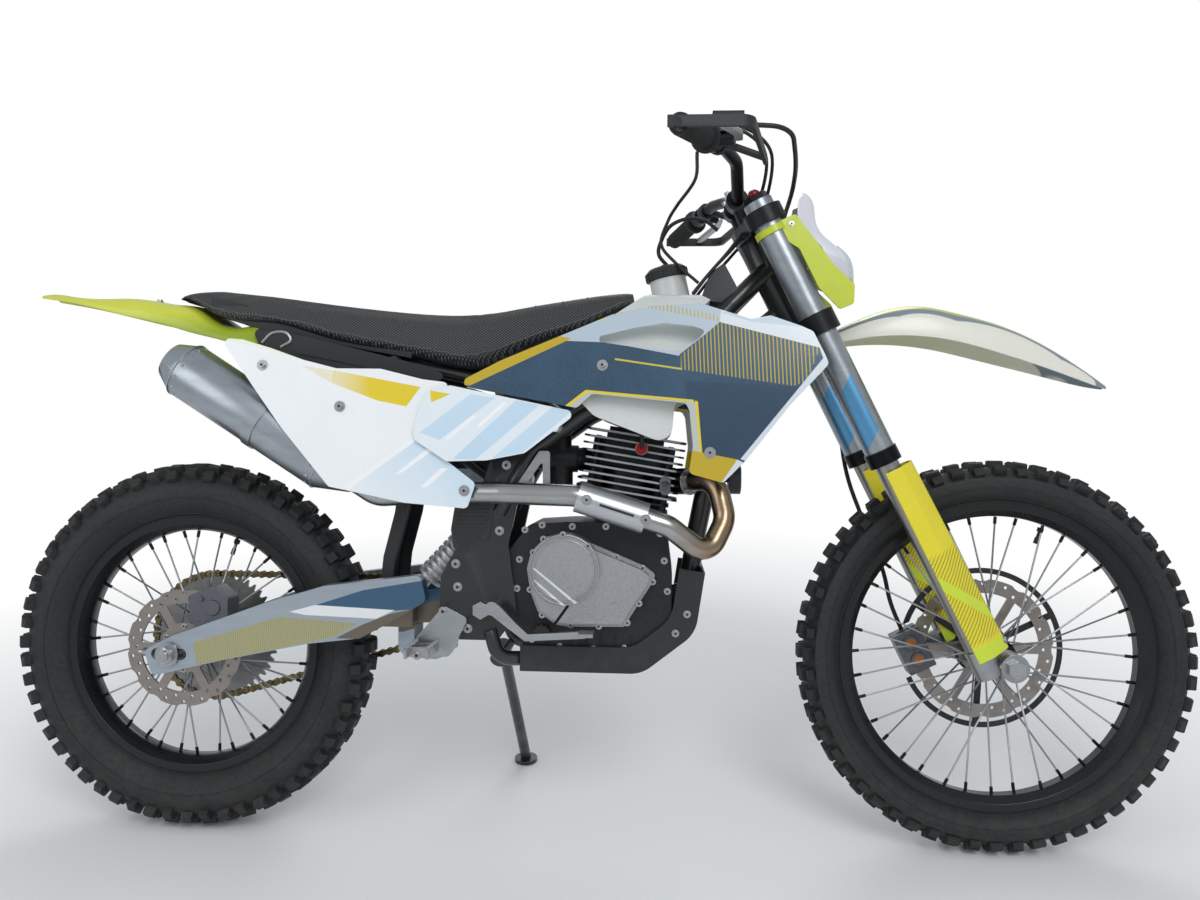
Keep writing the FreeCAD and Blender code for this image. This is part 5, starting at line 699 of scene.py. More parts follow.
def fender_low_shade(graph: Graph, point: Socket, under: object) -> Socket:
    """Painted shade: a deeper lime along the rear fender's low edge, darker towards the bottom."""
    height = graph.along(point, UP)
    return graph.mix(graph.ramp(height, 962.0, 925.0), under, SHADED_LIME)


FINISHES = {
    "frame": Finish("Frame black", linear(34, 35, 37), linear(26, 27, 28), 0.34, 0.0, coat=0.5, dust=0.25),
    "steel": Finish("Bright steel", linear(196, 198, 200), linear(168, 170, 172), 0.28, 1.0,
                    Texture.BRUSHED, dust=0.1),
    "alloy": Finish("Satin alloy", linear(186, 188, 190), linear(162, 164, 167), 0.40, 0.85, Texture.CAST,
                    260.0, 0.2),
    "swingarm": Finish("Swingarm alloy", linear(176, 186, 196), linear(158, 168, 178), 0.36, 0.6,
                       Texture.BRUSHED, dust=0.15, patches=SWINGARM_PATCHES),
    "black_alloy": Finish("Black alloy", linear(36, 37, 40), linear(27, 28, 31), 0.38, 0.6, Texture.CAST,
                          300.0, 0.12),
    "case": Finish("Case black", linear(44, 44, 46), linear(33, 33, 35), 0.46, 0.35, Texture.CAST, 220.0,
                   0.3, dust=0.35),
    "clutch": Finish("Clutch cover alloy", linear(176, 177, 179), linear(156, 158, 160), 0.42, 0.75,
                     Texture.CAST, 240.0, 0.25, patches=CLUTCH_PATCHES),
    "cylinder": Finish("Cylinder black", linear(38, 40, 43), linear(28, 29, 31), 0.42, 0.4, Texture.CAST,
                       220.0, 0.3, tint=fin_edges),
    "header": Finish("Header steel", linear(190, 194, 198), linear(160, 158, 152), 0.26, 1.0,
                     Texture.BRUSHED, tint=header_heat),
    "muffler": Finish("Satin silencer", linear(178, 186, 194), linear(158, 162, 166), 0.33, 0.95,
                      Texture.BRUSHED, patches=MUFFLER_PATCHES),
    "shield": Finish("Heat shield steel", linear(206, 210, 214), linear(186, 190, 194), 0.30, 0.95,
                     Texture.BRUSHED),
    "tank": Finish("Milky tank", linear(222, 226, 222), linear(208, 213, 210), 0.38, coat=0.2),
    "shroud": Finish("Shroud blue", SLATE, DEEP_SLATE, 0.30, coat=0.45, patches=SHROUD_PATCHES),
    "side_panel": Finish("Side panel white", WHITE, linear(240, 243, 245), 0.34, coat=0.35,
                         patches=SIDE_PANEL_PATCHES),
    "cover": Finish("Airbox cover white", linear(236, 243, 249), linear(228, 237, 244), 0.34, coat=0.35,
                    patches=COVER_PATCHES),
    "mask": Finish("Mask white", linear(238, 238, 246), linear(230, 230, 240), 0.36, coat=0.3,
                   patches=MASK_PATCHES),
    "front_fender": Finish("Front fender", linear(236, 234, 222), linear(228, 226, 214), 0.34, coat=0.35,
                           tint=fender_bands),
    "rear_fender": Finish("Rear fender lime", linear(216, 220, 74), linear(206, 212, 60), 0.36, coat=0.3,
                          tint=fender_low_shade),
    "lime": Finish("Lime plastic", LIME, linear(186, 200, 34), 0.36, coat=0.3),
    "guard": Finish("Fork guard yellow", linear(236, 222, 48), linear(226, 210, 40), 0.36, coat=0.3,
                    tint=guard_bands),
    "plastic": Finish("Black plastic", linear(40, 41, 43), linear(30, 31, 32), 0.52, texture=Texture.CAST,
                      scale=520.0, strength=0.25, dust=0.2),
    "undercover": Finish("Tail cover black", linear(36, 37, 39), linear(28, 29, 30), 0.46,
                         texture=Texture.CAST, scale=520.0, strength=0.2),
    "seat": Finish("Seat cover", linear(27, 28, 29), linear(96, 98, 99), 0.6, texture=Texture.COVER,
                   scale=6.4, strength=0.8),
    "seam": Finish("Seat thread", linear(96, 98, 100), linear(76, 78, 80), 0.7),
    "rubber": Finish("Grip rubber", linear(34, 35, 36), linear(26, 27, 27), 0.66, texture=Texture.RUBBER,
                     scale=260.0, strength=0.3),
    "hose": Finish("Hose rubber", linear(30, 31, 32), linear(22, 23, 24), 0.5, texture=Texture.RUBBER,
                   scale=380.0, strength=0.15),
    "tyre": Finish("Tyre rubber", linear(40, 41, 42), linear(27, 28, 29), 0.66, texture=Texture.RUBBER,
                   scale=140.0, strength=0.35, dust=0.05),
    "rim": Finish("Rim black", linear(30, 31, 33), linear(23, 24, 26), 0.30, 0.5, coat=0.3),
    "front_hub": Finish("Front hub", linear(34, 35, 37), linear(26, 27, 29), 0.32, 0.7,
                        tint=hub_parts(WHEELBASE, FRONT_AXLE_Z, 237.5)),
    "rear_hub": Finish("Rear hub", linear(34, 35, 37), linear(26, 27, 29), 0.32, 0.7,
                       tint=hub_parts(0.0, REAR_AXLE_Z, 199.5)),
    "disc": Finish("Brake disc steel", linear(170, 162, 156), linear(146, 138, 132), 0.30, 1.0,
                   Texture.BRUSHED),
    "sprocket": Finish("Sprocket steel", linear(150, 150, 148), linear(126, 126, 124), 0.34, 1.0,
                       Texture.BRUSHED),
    "chain": Finish("Chain steel", linear(150, 134, 98), linear(104, 94, 72), 0.38, 1.0, Texture.BRUSHED,
                    dust=0.2),
    "tubes": Finish("Fork tube alloy", linear(172, 178, 182), linear(150, 156, 162), 0.34, 0.85,
                    Texture.BRUSHED, tint=tube_parts),
    "legs": Finish("Fork leg alloy", linear(176, 178, 180), linear(154, 156, 158), 0.30, 0.95,
                   Texture.BRUSHED, tint=leg_parts),
    "shock": Finish("Shock spring", linear(214, 216, 220), linear(190, 192, 196), 0.36, 0.3),
    "caliper": Finish("Caliper grey", linear(112, 114, 120), linear(92, 94, 99), 0.42, 0.7, Texture.CAST,
                      260.0, 0.2),
    "amber": Finish("Amber spot", linear(176, 112, 40), linear(150, 92, 30), 0.4),
    "red": Finish("Red anodised", linear(176, 28, 30), linear(150, 20, 22), 0.3, 0.6),
    "lens": Finish("Lamp lens", linear(206, 214, 220), linear(196, 206, 212), 0.08, texture=Texture.GLASS),
}


class Stock:
    """Everything the builders share: the frame, the place and the finished materials."""

    def __init__(self, frame: dict, place: MachinePlace) -> None:
        """Builds each finish once.

        Args:
            place: Where the machine stands.
        """
        self.frame = frame
        self.place = place
        effects = Effects(place)
        self.materials = {key: finish.build(effects) for key, finish in FINISHES.items()}
        bodies = frame["record"]["behaviour"]["bodies"]
        self.bodies = {node: body for body, nodes in bodies.items() for node in nodes}
        self.slots = {part["node"]: part["material_slot"] for part in frame["record"]["subparts"]}
        self.forms: dict[str, BVHTree] = {}
        # Per body, where dark discs of painted shade go for the bolts' sockets.
        self.socket_shades: dict[str, list[tuple[Vector, Vector, float]]] = {}

    def merged(self, node: str) -> bmesh.types.BMesh:
        """A CAD node's mesh with its doubled corners merged, in the row frame.

        Args:
            node: The CAD node.

        Returns:
            The mesh, which the caller frees.
        """
        mesh = bmesh.new()
        mesh.from_mesh(self.frame["nodes"][node].data)
        bmesh.ops.remove_doubles(mesh, verts=mesh.verts, dist=0.00001)
        return mesh

    def form(self, node: str) -> BVHTree:
        """A CAD node's surface for finding places on it.

        Args:
            node: The CAD node.

        Returns:
            Its search tree.
        """
        if node not in self.forms:
            mesh = self.merged(node)
            self.forms[node] = BVHTree.FromBMesh(mesh)
            mesh.free()
        return self.forms[node]

    def on_side(self, node: str, x: float, z: float, side: Side) -> tuple[Vector, Vector]:
        """The outermost point of a node seen from one side, and its outward normal, upright.

        Args:
            node: The CAD node.
            x: Upright X in millimetres.
            z: Upright Z in millimetres.
            side: The side it is seen from.

        Returns:
            The point in upright millimetres and the unit normal.
        """
        matrix = self.place.matrix()
        start = matrix @ Vector((x, side.value * 400.0, z))
        inward = (matrix.to_3x3() @ Vector((0.0, -side.value, 0.0))).normalized()
        hit, normal, _, _ = self.form(node).ray_cast(start, inward)
        if hit is None:
            hit, normal, _, _ = self.form(node).find_nearest(matrix @ Vector((x, side.value * 100.0, z)))
        back = matrix.inverted()
        turned = (back.to_3x3() @ normal).normalized()
        if turned.y * side.value < 0:
            turned = -turned
        return back @ hit, turned


class Maker:
    """Collects new geometry in upright millimetres and turns it into one piece."""

    def __init__(self, stock: Stock) -> None:
        """Starts an empty piece.

        Args:
            stock: The shared materials and frame.
        """
        self.stock = stock
        self.mesh = bmesh.new()
        # Where this piece's bolts get dark discs of painted shade for their sockets.
        self.socket_shades: list[tuple[Vector, Vector, float]] = []

    @staticmethod
    def _turn(along: Vector) -> Matrix:
        """The rotation that carries Z to a direction."""
        return along.to_track_quat("Z", "Y").to_matrix().to_4x4()

    def rod(
        self, start: Vector, end: Vector, radius: float, segments: int = 24,
        end_radius: Optional[float] = None
    ) -> None:
        """A round bar or cone between two points.

        Args:
            start: One end's middle.
            end: The other end's middle.
            radius: The radius at the start.
            segments: How many sides it has.
            end_radius: The radius at the end, if it differs.
        """
        along = end - start
        matrix = Matrix.Translation((start + end) / 2) @ self._turn(along)
        bmesh.ops.create_cone(
            self.mesh,
            cap_ends=True,
            segments=segments,
            radius1=radius,
            radius2=radius if end_radius is None else end_radius,
            depth=along.length,
            matrix=matrix,
        )

    def block(self, centre: Vector, size: Sequence[float], turn: Optional[Matrix] = None) -> None:
        """A box by its middle and sizes.

        Args:
            centre: Its middle.
            size: Its three sizes.
            turn: How it is turned, if at all.
        """
        scale = Matrix.Diagonal((*size, 1.0))
        matrix = Matrix.Translation(centre) @ (turn or Matrix.Identity(4)) @ scale
        bmesh.ops.create_cube(self.mesh, size=1.0, matrix=matrix)

    def ring(self, centre: Vector, axis: Vector, radius: float, wire: float, steps: int = 48) -> None:
        """A round wire bent into a circle.

        Args:
            centre: The circle's middle.
            axis: The direction it faces.
            radius: The circle's radius.
            wire: The wire's radius.
            steps: How many pieces the circle has.
        """
        outward = Matrix.Translation((radius, 0.0, 0.0)) @ Matrix.Rotation(math.pi / 2, 4, "X")
        start = Matrix.Translation(centre) @ self._turn(axis) @ outward
        made = bmesh.ops.create_circle(self.mesh, cap_ends=False, segments=10, radius=wire, matrix=start)
        edges = list({edge for vert in made["verts"] for edge in vert.link_edges})
        bmesh.ops.spin(
            self.mesh,
            geom=made["verts"] + edges,
            cent=centre,
            axis=axis.normalized(),
            angle=2 * math.pi,
            steps=steps,
            use_merge=True,
        )

    def tube(self, points: Sequence[Vector], radius: float, segments: int = 12) -> None:
        """A round bar swept along points that lie close together.

        Args:
            points: The bar's middle line.
            radius: The bar's radius.
            segments: How many sides it has.
        """
        previous: Optional[list] = None
        turn: Optional[Matrix] = None
        for i, here in enumerate(points):
            ahead = points[min(i + 1, len(points) - 1)] - points[max(i - 1, 0)]
            if turn is None:
                turn = self._turn(ahead)
            else:
                old = turn.to_3x3() @ Vector((0.0, 0.0, 1.0))
                turn = old.rotation_difference(ahead.normalized()).to_matrix().to_4x4() @ turn
            ends = i in (0, len(points) - 1)
            made = bmesh.ops.create_circle(
                self.mesh, cap_ends=ends, segments=segments, radius=radius,
                matrix=Matrix.Translation(here) @ turn
            )
            edges = [e for e in {e for v in made["verts"] for e in v.link_edges} if len(e.link_faces) < 2]
            if previous is not None:
                bmesh.ops.bridge_loops(self.mesh, edges=previous + edges)
            previous = edges

    def bolt(self, place: Vector, outward: Vector, radius: float = 5.0, washer: bool = False) -> None:
        """A flanged bolt head, seated on a surface; a dark disc of painted shade for its six-sided socket
        is laid on it later.

        Args:
            place: The seat.
            outward: The direction the head faces.
            radius: The head's radius.
            washer: Whether it has a washer.
        """
        outward = outward.normalized()
        foot = place - outward * 0.6
        if washer:
            self.rod(foot, foot + outward * 1.6, radius * 1.9, 28)
            foot = foot + outward * 1.3
        self.rod(foot, foot + outward * 1.6, radius * 1.35, 24)
        top = foot + outward * (radius * 0.75 + 1.2)
        self.rod(foot + outward * 1.2, top, radius, 6 if radius > 5.5 else 20, radius * 0.92)
        # Notes the socket's place for a dark disc of painted shade.
        self.socket_shades.append((top, outward, radius * 0.52))

    def finish(self, name: str, finish: str, body: Optional[str], **looks: Any) -> bpy.types.Object:
        """Places the piece in the row frame and hangs it on its body.

        Args:
            name: The piece's name.
            finish: The key of its finish.
            body: The CAD body it rides on; none for a piece that rides on no body.
            looks: What else dress takes.

        Returns:
            The new object.
        """
        if body is not None:
            # Hands on the sockets' places, for the dark discs of painted shade.
            self.stock.socket_shades.setdefault(body, []).extend(self.socket_shades)
        bmesh.ops.transform(self.mesh, matrix=self.stock.place.matrix(), verts=self.mesh.verts)
        bmesh.ops.recalc_face_normals(self.mesh, faces=self.mesh.faces)
        return dress(self.mesh, self.stock, name, finish, body, **looks)


def dress(
    mesh: bmesh.types.BMesh,
    stock: Stock,
    name: str,
    finish: str,
    body: Optional[str],
    replaces: Iterable[str] = (),
    slot: Optional[str] = None,
    bevel: float = 0.0,
    angle: float = 35.0,
) -> bpy.types.Object:
    """Turns a finished bmesh into a riding, named and coloured object.

    Args:
        mesh: The geometry in the row frame; it is freed here.
        stock: The shared materials and frame.
        name: The piece's name.
        finish: The key of its finish.
        body: The CAD body it rides on; none for a piece that rides on no body.
        replaces: CAD nodes that it stands for.
        slot: The record's material slot it belongs to; not used.
        bevel: The bevel's width in millimetres, if any.
        angle: Edges sharper than this many degrees stay sharp.

    Returns:
        The object.
    """
    data = bpy.data.meshes.new(name)
    mesh.to_mesh(data)
    mesh.free()
    for polygon in data.polygons:
        polygon.use_smooth = True
    data.set_sharp_from_angle(angle=math.radians(angle))
    data.materials.append(stock.materials[finish])
    made = bpy.data.objects.new(name, data)
    bpy.context.scene.collection.objects.link(made)
    if bevel > 0.0:
        modifier = made.modifiers.new("Edges", "BEVEL")
        modifier.width = bevel * MM
        modifier.segments = 2
        modifier.limit_method = "ANGLE"
        modifier.angle_limit = math.radians(max(angle, 38.0))
        modifier.use_clamp_overlap = True
        modifier.harden_normals = False
    if body is not None:
        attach(made, body)
    nodes = tuple(replaces)
    if nodes:
        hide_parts(*nodes)
    LOG.info("%s: %d faces on %s", name, len(data.polygons), body or "two bodies")
    return made


def copy_node(stock: Stock, node: str, finish: str, bevel: float = 0.6,
              angle: float = 32.0) -> bpy.types.Object:
    """A bevelled copy of a CAD node in its finish, which stands for the node.

    Args:
        stock: The shared materials and frame.
        node: The CAD node.
        finish: The key of its finish.
        bevel: The bevel's width in millimetres.
        angle: Edges sharper than this many degrees stay sharp.

    Returns:
        The copy.
    """
    mesh = stock.merged(node)
    bmesh.ops.dissolve_limit(
        mesh, angle_limit=math.radians(0.4), use_dissolve_boundaries=False, verts=mesh.verts,
        edges=mesh.edges
    )
    return dress(mesh, stock, node + "_look", finish, stock.bodies[node], [node], stock.slots[node], bevel,
                 angle)


def smooth(points: Sequence[Sequence[float]], steps: int = 8) -> list[Vector]:
    """A smooth line through points.

    Args:
        points: What it passes through.
        steps: How many pieces lie between two points.

    Returns:
        The line's points.
    """
    line = [Vector(p) for p in points]
    padded = [line[0] * 2 - line[1]] + line + [line[-1] * 2 - line[-2]]
    made: list[Vector] = []
    for i in range(1, len(padded) - 2):
        a, b, c, d = padded[i - 1 : i + 3]
        for step in range(steps):
            t = step / steps
            square = (2 * a - 5 * b + 4 * c - d) * t**2
            made.append(0.5 * (2 * b + (c - a) * t + square + (3 * b - a - 3 * c + d) * t**3))
    made.append(line[-1])
    return made


@dataclass
class Wheel:
    """One wheel: its knobby tyre, rim, hub, spokes and disc."""

    stock: Stock
    name: str
    axle: Vector
    radius: float
    rim: float
    half: float
    rim_half: float
    crown: float
    shoulder: float
    drop: float
    rows: int
    knob: float
    hub_finish: str
    extra: dict[str, str] = field(default_factory=dict)
    circles: Sequence[tuple[str, Side, float, int, float]] = ()

    @property
    def end(self) -> str:
        """Which end of the machine the wheel is at, as its nodes' names begin."""
        return self.name.split("_")[0]

    def profile(self) -> list[Flat]:
        """The carcass section from one bead to the other, as (half width, radius).

        Returns:
            The section's points.
        """
        top = self.radius - self.knob
        widest = self.rim + (self.radius - self.rim) * 0.45
        bead = self.rim_half - 3.8
        side = [
            (bead, self.rim - 9.4),
            (bead, self.rim + 3.0),
            (bead + 6.0, self.rim + 8.0),
            (self.half - 2.2, widest - 14.0),
            (self.half, widest),
            (self.half - 2.0, widest + 12.0),
            (self.shoulder - 5.0, self.radius - self.drop - self.knob * 0.9),
            (self.crown, top - 2.2),
            (self.crown * 0.5, top - 0.4),
        ]
        return side + [(0.0, top)] + [(-across, up) for across, up in reversed(side)]

    def carcass(self) -> None:
        """The tyre's body with its moulded lines, spun round the axle."""
        maker = Maker(self.stock)
        points = [self.axle + Vector((0.0, across, up)) for across, up in self.profile()]
        verts = [maker.mesh.verts.new(point) for point in points]
        edges = [maker.mesh.edges.new((verts[i - 1], verts[i])) for i in range(len(verts))]
        bmesh.ops.spin(
            maker.mesh, geom=verts + edges, cent=self.axle, axis=(0.0, 1.0, 0.0), angle=2 * math.pi,
            steps=144, use_merge=True,
        )
        widest = self.rim + (self.radius - self.rim) * 0.45
        for side in Side:
            for across, radius in ((self.half - 0.9, widest - 8.0), (self.rim_half + 1.0, self.rim + 6.5)):
                centre = self.axle + Vector((0.0, side.value * across, 0.0))
                maker.ring(centre, Vector((0.0, 1.0, 0.0)), radius, 0.9, 96)
        maker.finish(self.end + "_tyre_body", "tyre", self.name, replaces=[self.end + "_tyre"],
                     slot="tyre_rubber", angle=50.0)

    def knobs(self) -> None:
        """The tread blocks: centre pairs, slanted side blocks between them and shoulder blocks."""
        maker = Maker(self.stock)
        step = 2 * math.pi / self.rows
        length = step * self.radius
        depth = self.knob * 1.25
        for i in range(self.rows):
            spin = Matrix.Translation(self.axle) @ Matrix.Rotation(math.pi + step * i, 4, "Y")
            blocks = []
            edge = self.radius - self.drop
            if i % 2 == 0:
                blocks.append((self.crown * 0.46, 0.06, self.crown * 0.74, length * 0.62, self.radius, 0.0))
                blocks.append((self.shoulder - 2.0, 0.70, self.crown * 0.72, length * 0.62, edge + 3.2,
                               0.0))
            else:
                blocks.append((self.crown * 1.04, 0.30, self.crown * 0.66, length * 0.70, self.radius - 1.8,
                               0.18))
                blocks.append((self.shoulder + 1.0, 0.92, self.crown * 0.80, length * 0.50, edge - 2.6,
                               -0.10))
            for across, tilt, width, along, top, slant in blocks:
                for side in Side:
                    frame = (
                        spin
                        @ Matrix.Translation((0.0, side.value * across, top))
                        @ Matrix.Rotation(-side.value * tilt, 4, "X")
                        @ Matrix.Rotation(side.value * slant, 4, "Z")
                    )
                    scale = Matrix.Diagonal((along, width, depth, 1.0))
                    made = bmesh.ops.create_cube(
                        maker.mesh, size=1.0,
                        matrix=frame @ Matrix.Translation((0.0, 0.0, -depth / 2)) @ scale
                    )
                    top_verts = [v for v in made["verts"] if (frame.inverted() @ v.co).z > -depth / 2]
                    centre = frame @ Vector((0.0, 0.0, 0.0))
                    for vert in top_verts:
                        vert.co = centre + (vert.co - centre) * 0.88
        maker.finish(self.end + "_tyre_knobs", "tyre", self.name, slot="tyre_rubber", bevel=0.9, angle=30.0)

    def valve(self) -> None:
        """The tube's valve stem through the rim."""
        maker = Maker(self.stock)
        spin = Matrix.Rotation(0.35, 4, "Y")
        foot = self.axle + spin @ Vector((0.0, 0.0, self.rim - 32.0))
        tip = self.axle + spin @ Vector((0.0, 0.0, self.rim - 62.0))
        maker.rod(foot, tip, 3.0, 16)
        maker.rod(foot, foot + (tip - foot) * 0.25, 6.0, 6)
        maker.rod(foot + (tip - foot) * 0.62, tip, 4.0, 16)
        maker.finish(self.name + "_valve", "rubber", self.name)

    def bolt_circle(self, node: str, side: Side, radius: float, count: int, size: float) -> None:
        """The bolts that hold a disc or sprocket to the hub.

        Args:
            node: The disc or sprocket.
            side: The side it faces.
            radius: How far out the bolts sit.
            count: How many there are.
            size: The head's radius.
        """
        maker = Maker(self.stock)
        for i in range(count):
            turn = 2 * math.pi * (i + 0.5) / count
            x = self.axle.x + radius * math.cos(turn)
            z = self.axle.z + radius * math.sin(turn)
            place, _ = self.stock.on_side(node, x, z, side)
            maker.bolt(place, side.out, size)
        maker.finish(node + "_bolts", "steel", self.name)

    def build(self) -> None:
        """The whole wheel."""
        self.carcass()
        self.knobs()
        self.valve()
        copy_node(self.stock, self.end + "_rim", "rim", 0.5)
        copy_node(self.stock, self.end + "_hub", self.hub_finish, 0.0, 40.0)
        for node, finish in self.extra.items():
            copy_node(self.stock, node, finish, 0.3)
        for circle in self.circles:
            self.bolt_circle(*circle)


@dataclass
class Chain:
    """The drive chain's plates and rollers."""

    stock: Stock
    pitch: float = 15.875
    rear_teeth: int = 48
    front_teeth: int = 13
    front: Point = (612.0, 72.0, 432.0)
    plate: float = 1.5
    plate_radius: float = 7.0
    waist: float = 9.0
    inner_gap: float = 3.5
    outer_gap: float = 5.1
    roller_radius: float = 5.0
    pin_radius: float = 2.4
    pin_half: float = 7.4

    def path(self) -> list[Vector]:
        """The roller places round both sprockets.

        Returns:
            The rollers' middles in order.
        """
        front, rear = Vector(self.front), Vector((0.0, self.front[1], REAR_AXLE_Z))
        big = self.pitch / (2 * math.sin(math.pi / self.rear_teeth))
        small = self.pitch / (2 * math.sin(math.pi / self.front_teeth))
        rise = front - rear
        span = math.hypot(rise.x, rise.z)
        tilt = math.atan2(rise.z, rise.x)
        wrap = math.acos((big - small) / span)
        line: list[Vector] = []

        def arc(centre: Vector, radius: float, start: float, end: float, steps: int) -> None:
            """Adds points of an arc.

            Args:
                centre: The arc's middle.
                radius: Its radius.
                start: The angle it starts at.
                end: The angle it ends at.
                steps: How many pieces it has.
            """
            for i in range(steps + 1):
                turn = start + (end - start) * i / steps
                line.append(centre + Vector((radius * math.cos(turn), 0.0, radius * math.sin(turn))))

        arc(front, small, tilt + wrap, tilt - wrap, 60)
        arc(rear, big, tilt - wrap, tilt + wrap - 2 * math.pi, 160)
        line.append(line[0])
        total = sum((b - a).length for a, b in zip(line, line[1:]))
        links = 2 * round(total / self.pitch / 2)
        step = total / links
        made: list[Vector] = []
        walked, target = 0.0, 0.0
        for a, b in zip(line, line[1:]):
            size = (b - a).length
            while target <= walked + size + 1e-6 and len(made) < links:
                made.append(a.lerp(b, (target - walked) / size if size > 0 else 0.0))
                target += step
            walked += size
        return made

    def build(self) -> None:
        """Every link, with inner and outer plates in turn."""
        maker = Maker(self.stock)
        rollers = self.path()
        for i, here in enumerate(rollers):
            ahead = rollers[(i + 1) % len(rollers)]
            for side in Side:
                near = self.inner_gap if i % 2 == 0 else self.outer_gap
                offset = ACROSS * (side.value * (near + self.plate / 2))
                for centre in (here, ahead):
                    bmesh.ops.create_cone(
                        maker.mesh,
                        cap_ends=True,
                        segments=12,
                        radius1=self.plate_radius,
                        radius2=self.plate_radius,
                        depth=self.plate,
                        matrix=Matrix.Translation(centre + offset) @ Matrix.Rotation(math.pi / 2, 4, "X"),
                    )
                middle = (here + ahead) / 2
                along = (ahead - here).normalized()
                turn = Matrix.Rotation(-math.atan2(along.z, along.x), 4, "Y")
                maker.block(middle + offset, ((ahead - here).length, self.plate, self.waist), turn)
            rods = (self.inner_gap, self.roller_radius, 12), (self.pin_half, self.pin_radius, 8)
            for half, radius, segments in rods:
                maker.rod(here - ACROSS * half, here + ACROSS * half, radius, segments)
        maker.finish("drive_chain_links", "chain", "chassis", replaces=["drive_chain"], slot="gold_steel",
                     angle=40.0)


@dataclass(frozen=True)
class BoltRow:
    """Bolts seated on the outside of one CAD node.

    Its places are X and Z seen from the side. Square bolts point straight out of the side, and the others
    along the surface's normal.
    """

    node: str
    places: Outline
    radius: float = 5.0
    washer: bool = False
    square: bool = False
    sides: tuple[Side, ...] = (Side.RIGHT, Side.LEFT)


@dataclass
class Assembly:
    """What every sub-assembly of the machine shares."""

    stock: Stock

    def copy_all(self, copies: Copies) -> None:
        """Bevelled copies of several CAD nodes."""
        for node, finish, bevel in copies:
            copy_node(self.stock, node, finish, bevel)

    def bolts(self, name: str, body: str, *rows: BoltRow) -> None:
        """One piece with the bolts of several rows.

        Args:
            name: The piece's name.
            body: The CAD body it rides on.
            rows: Where the bolts are.
        """
        maker = Maker(self.stock)
        for side in Side:
            for row in rows:
                places = row.places if side in row.sides else ()
                for x, z in places:
                    place, normal = self.stock.on_side(row.node, x, z, side)
                    maker.bolt(place, side.out if row.square else normal, row.radius, row.washer)
        maker.finish(name, "steel", body)


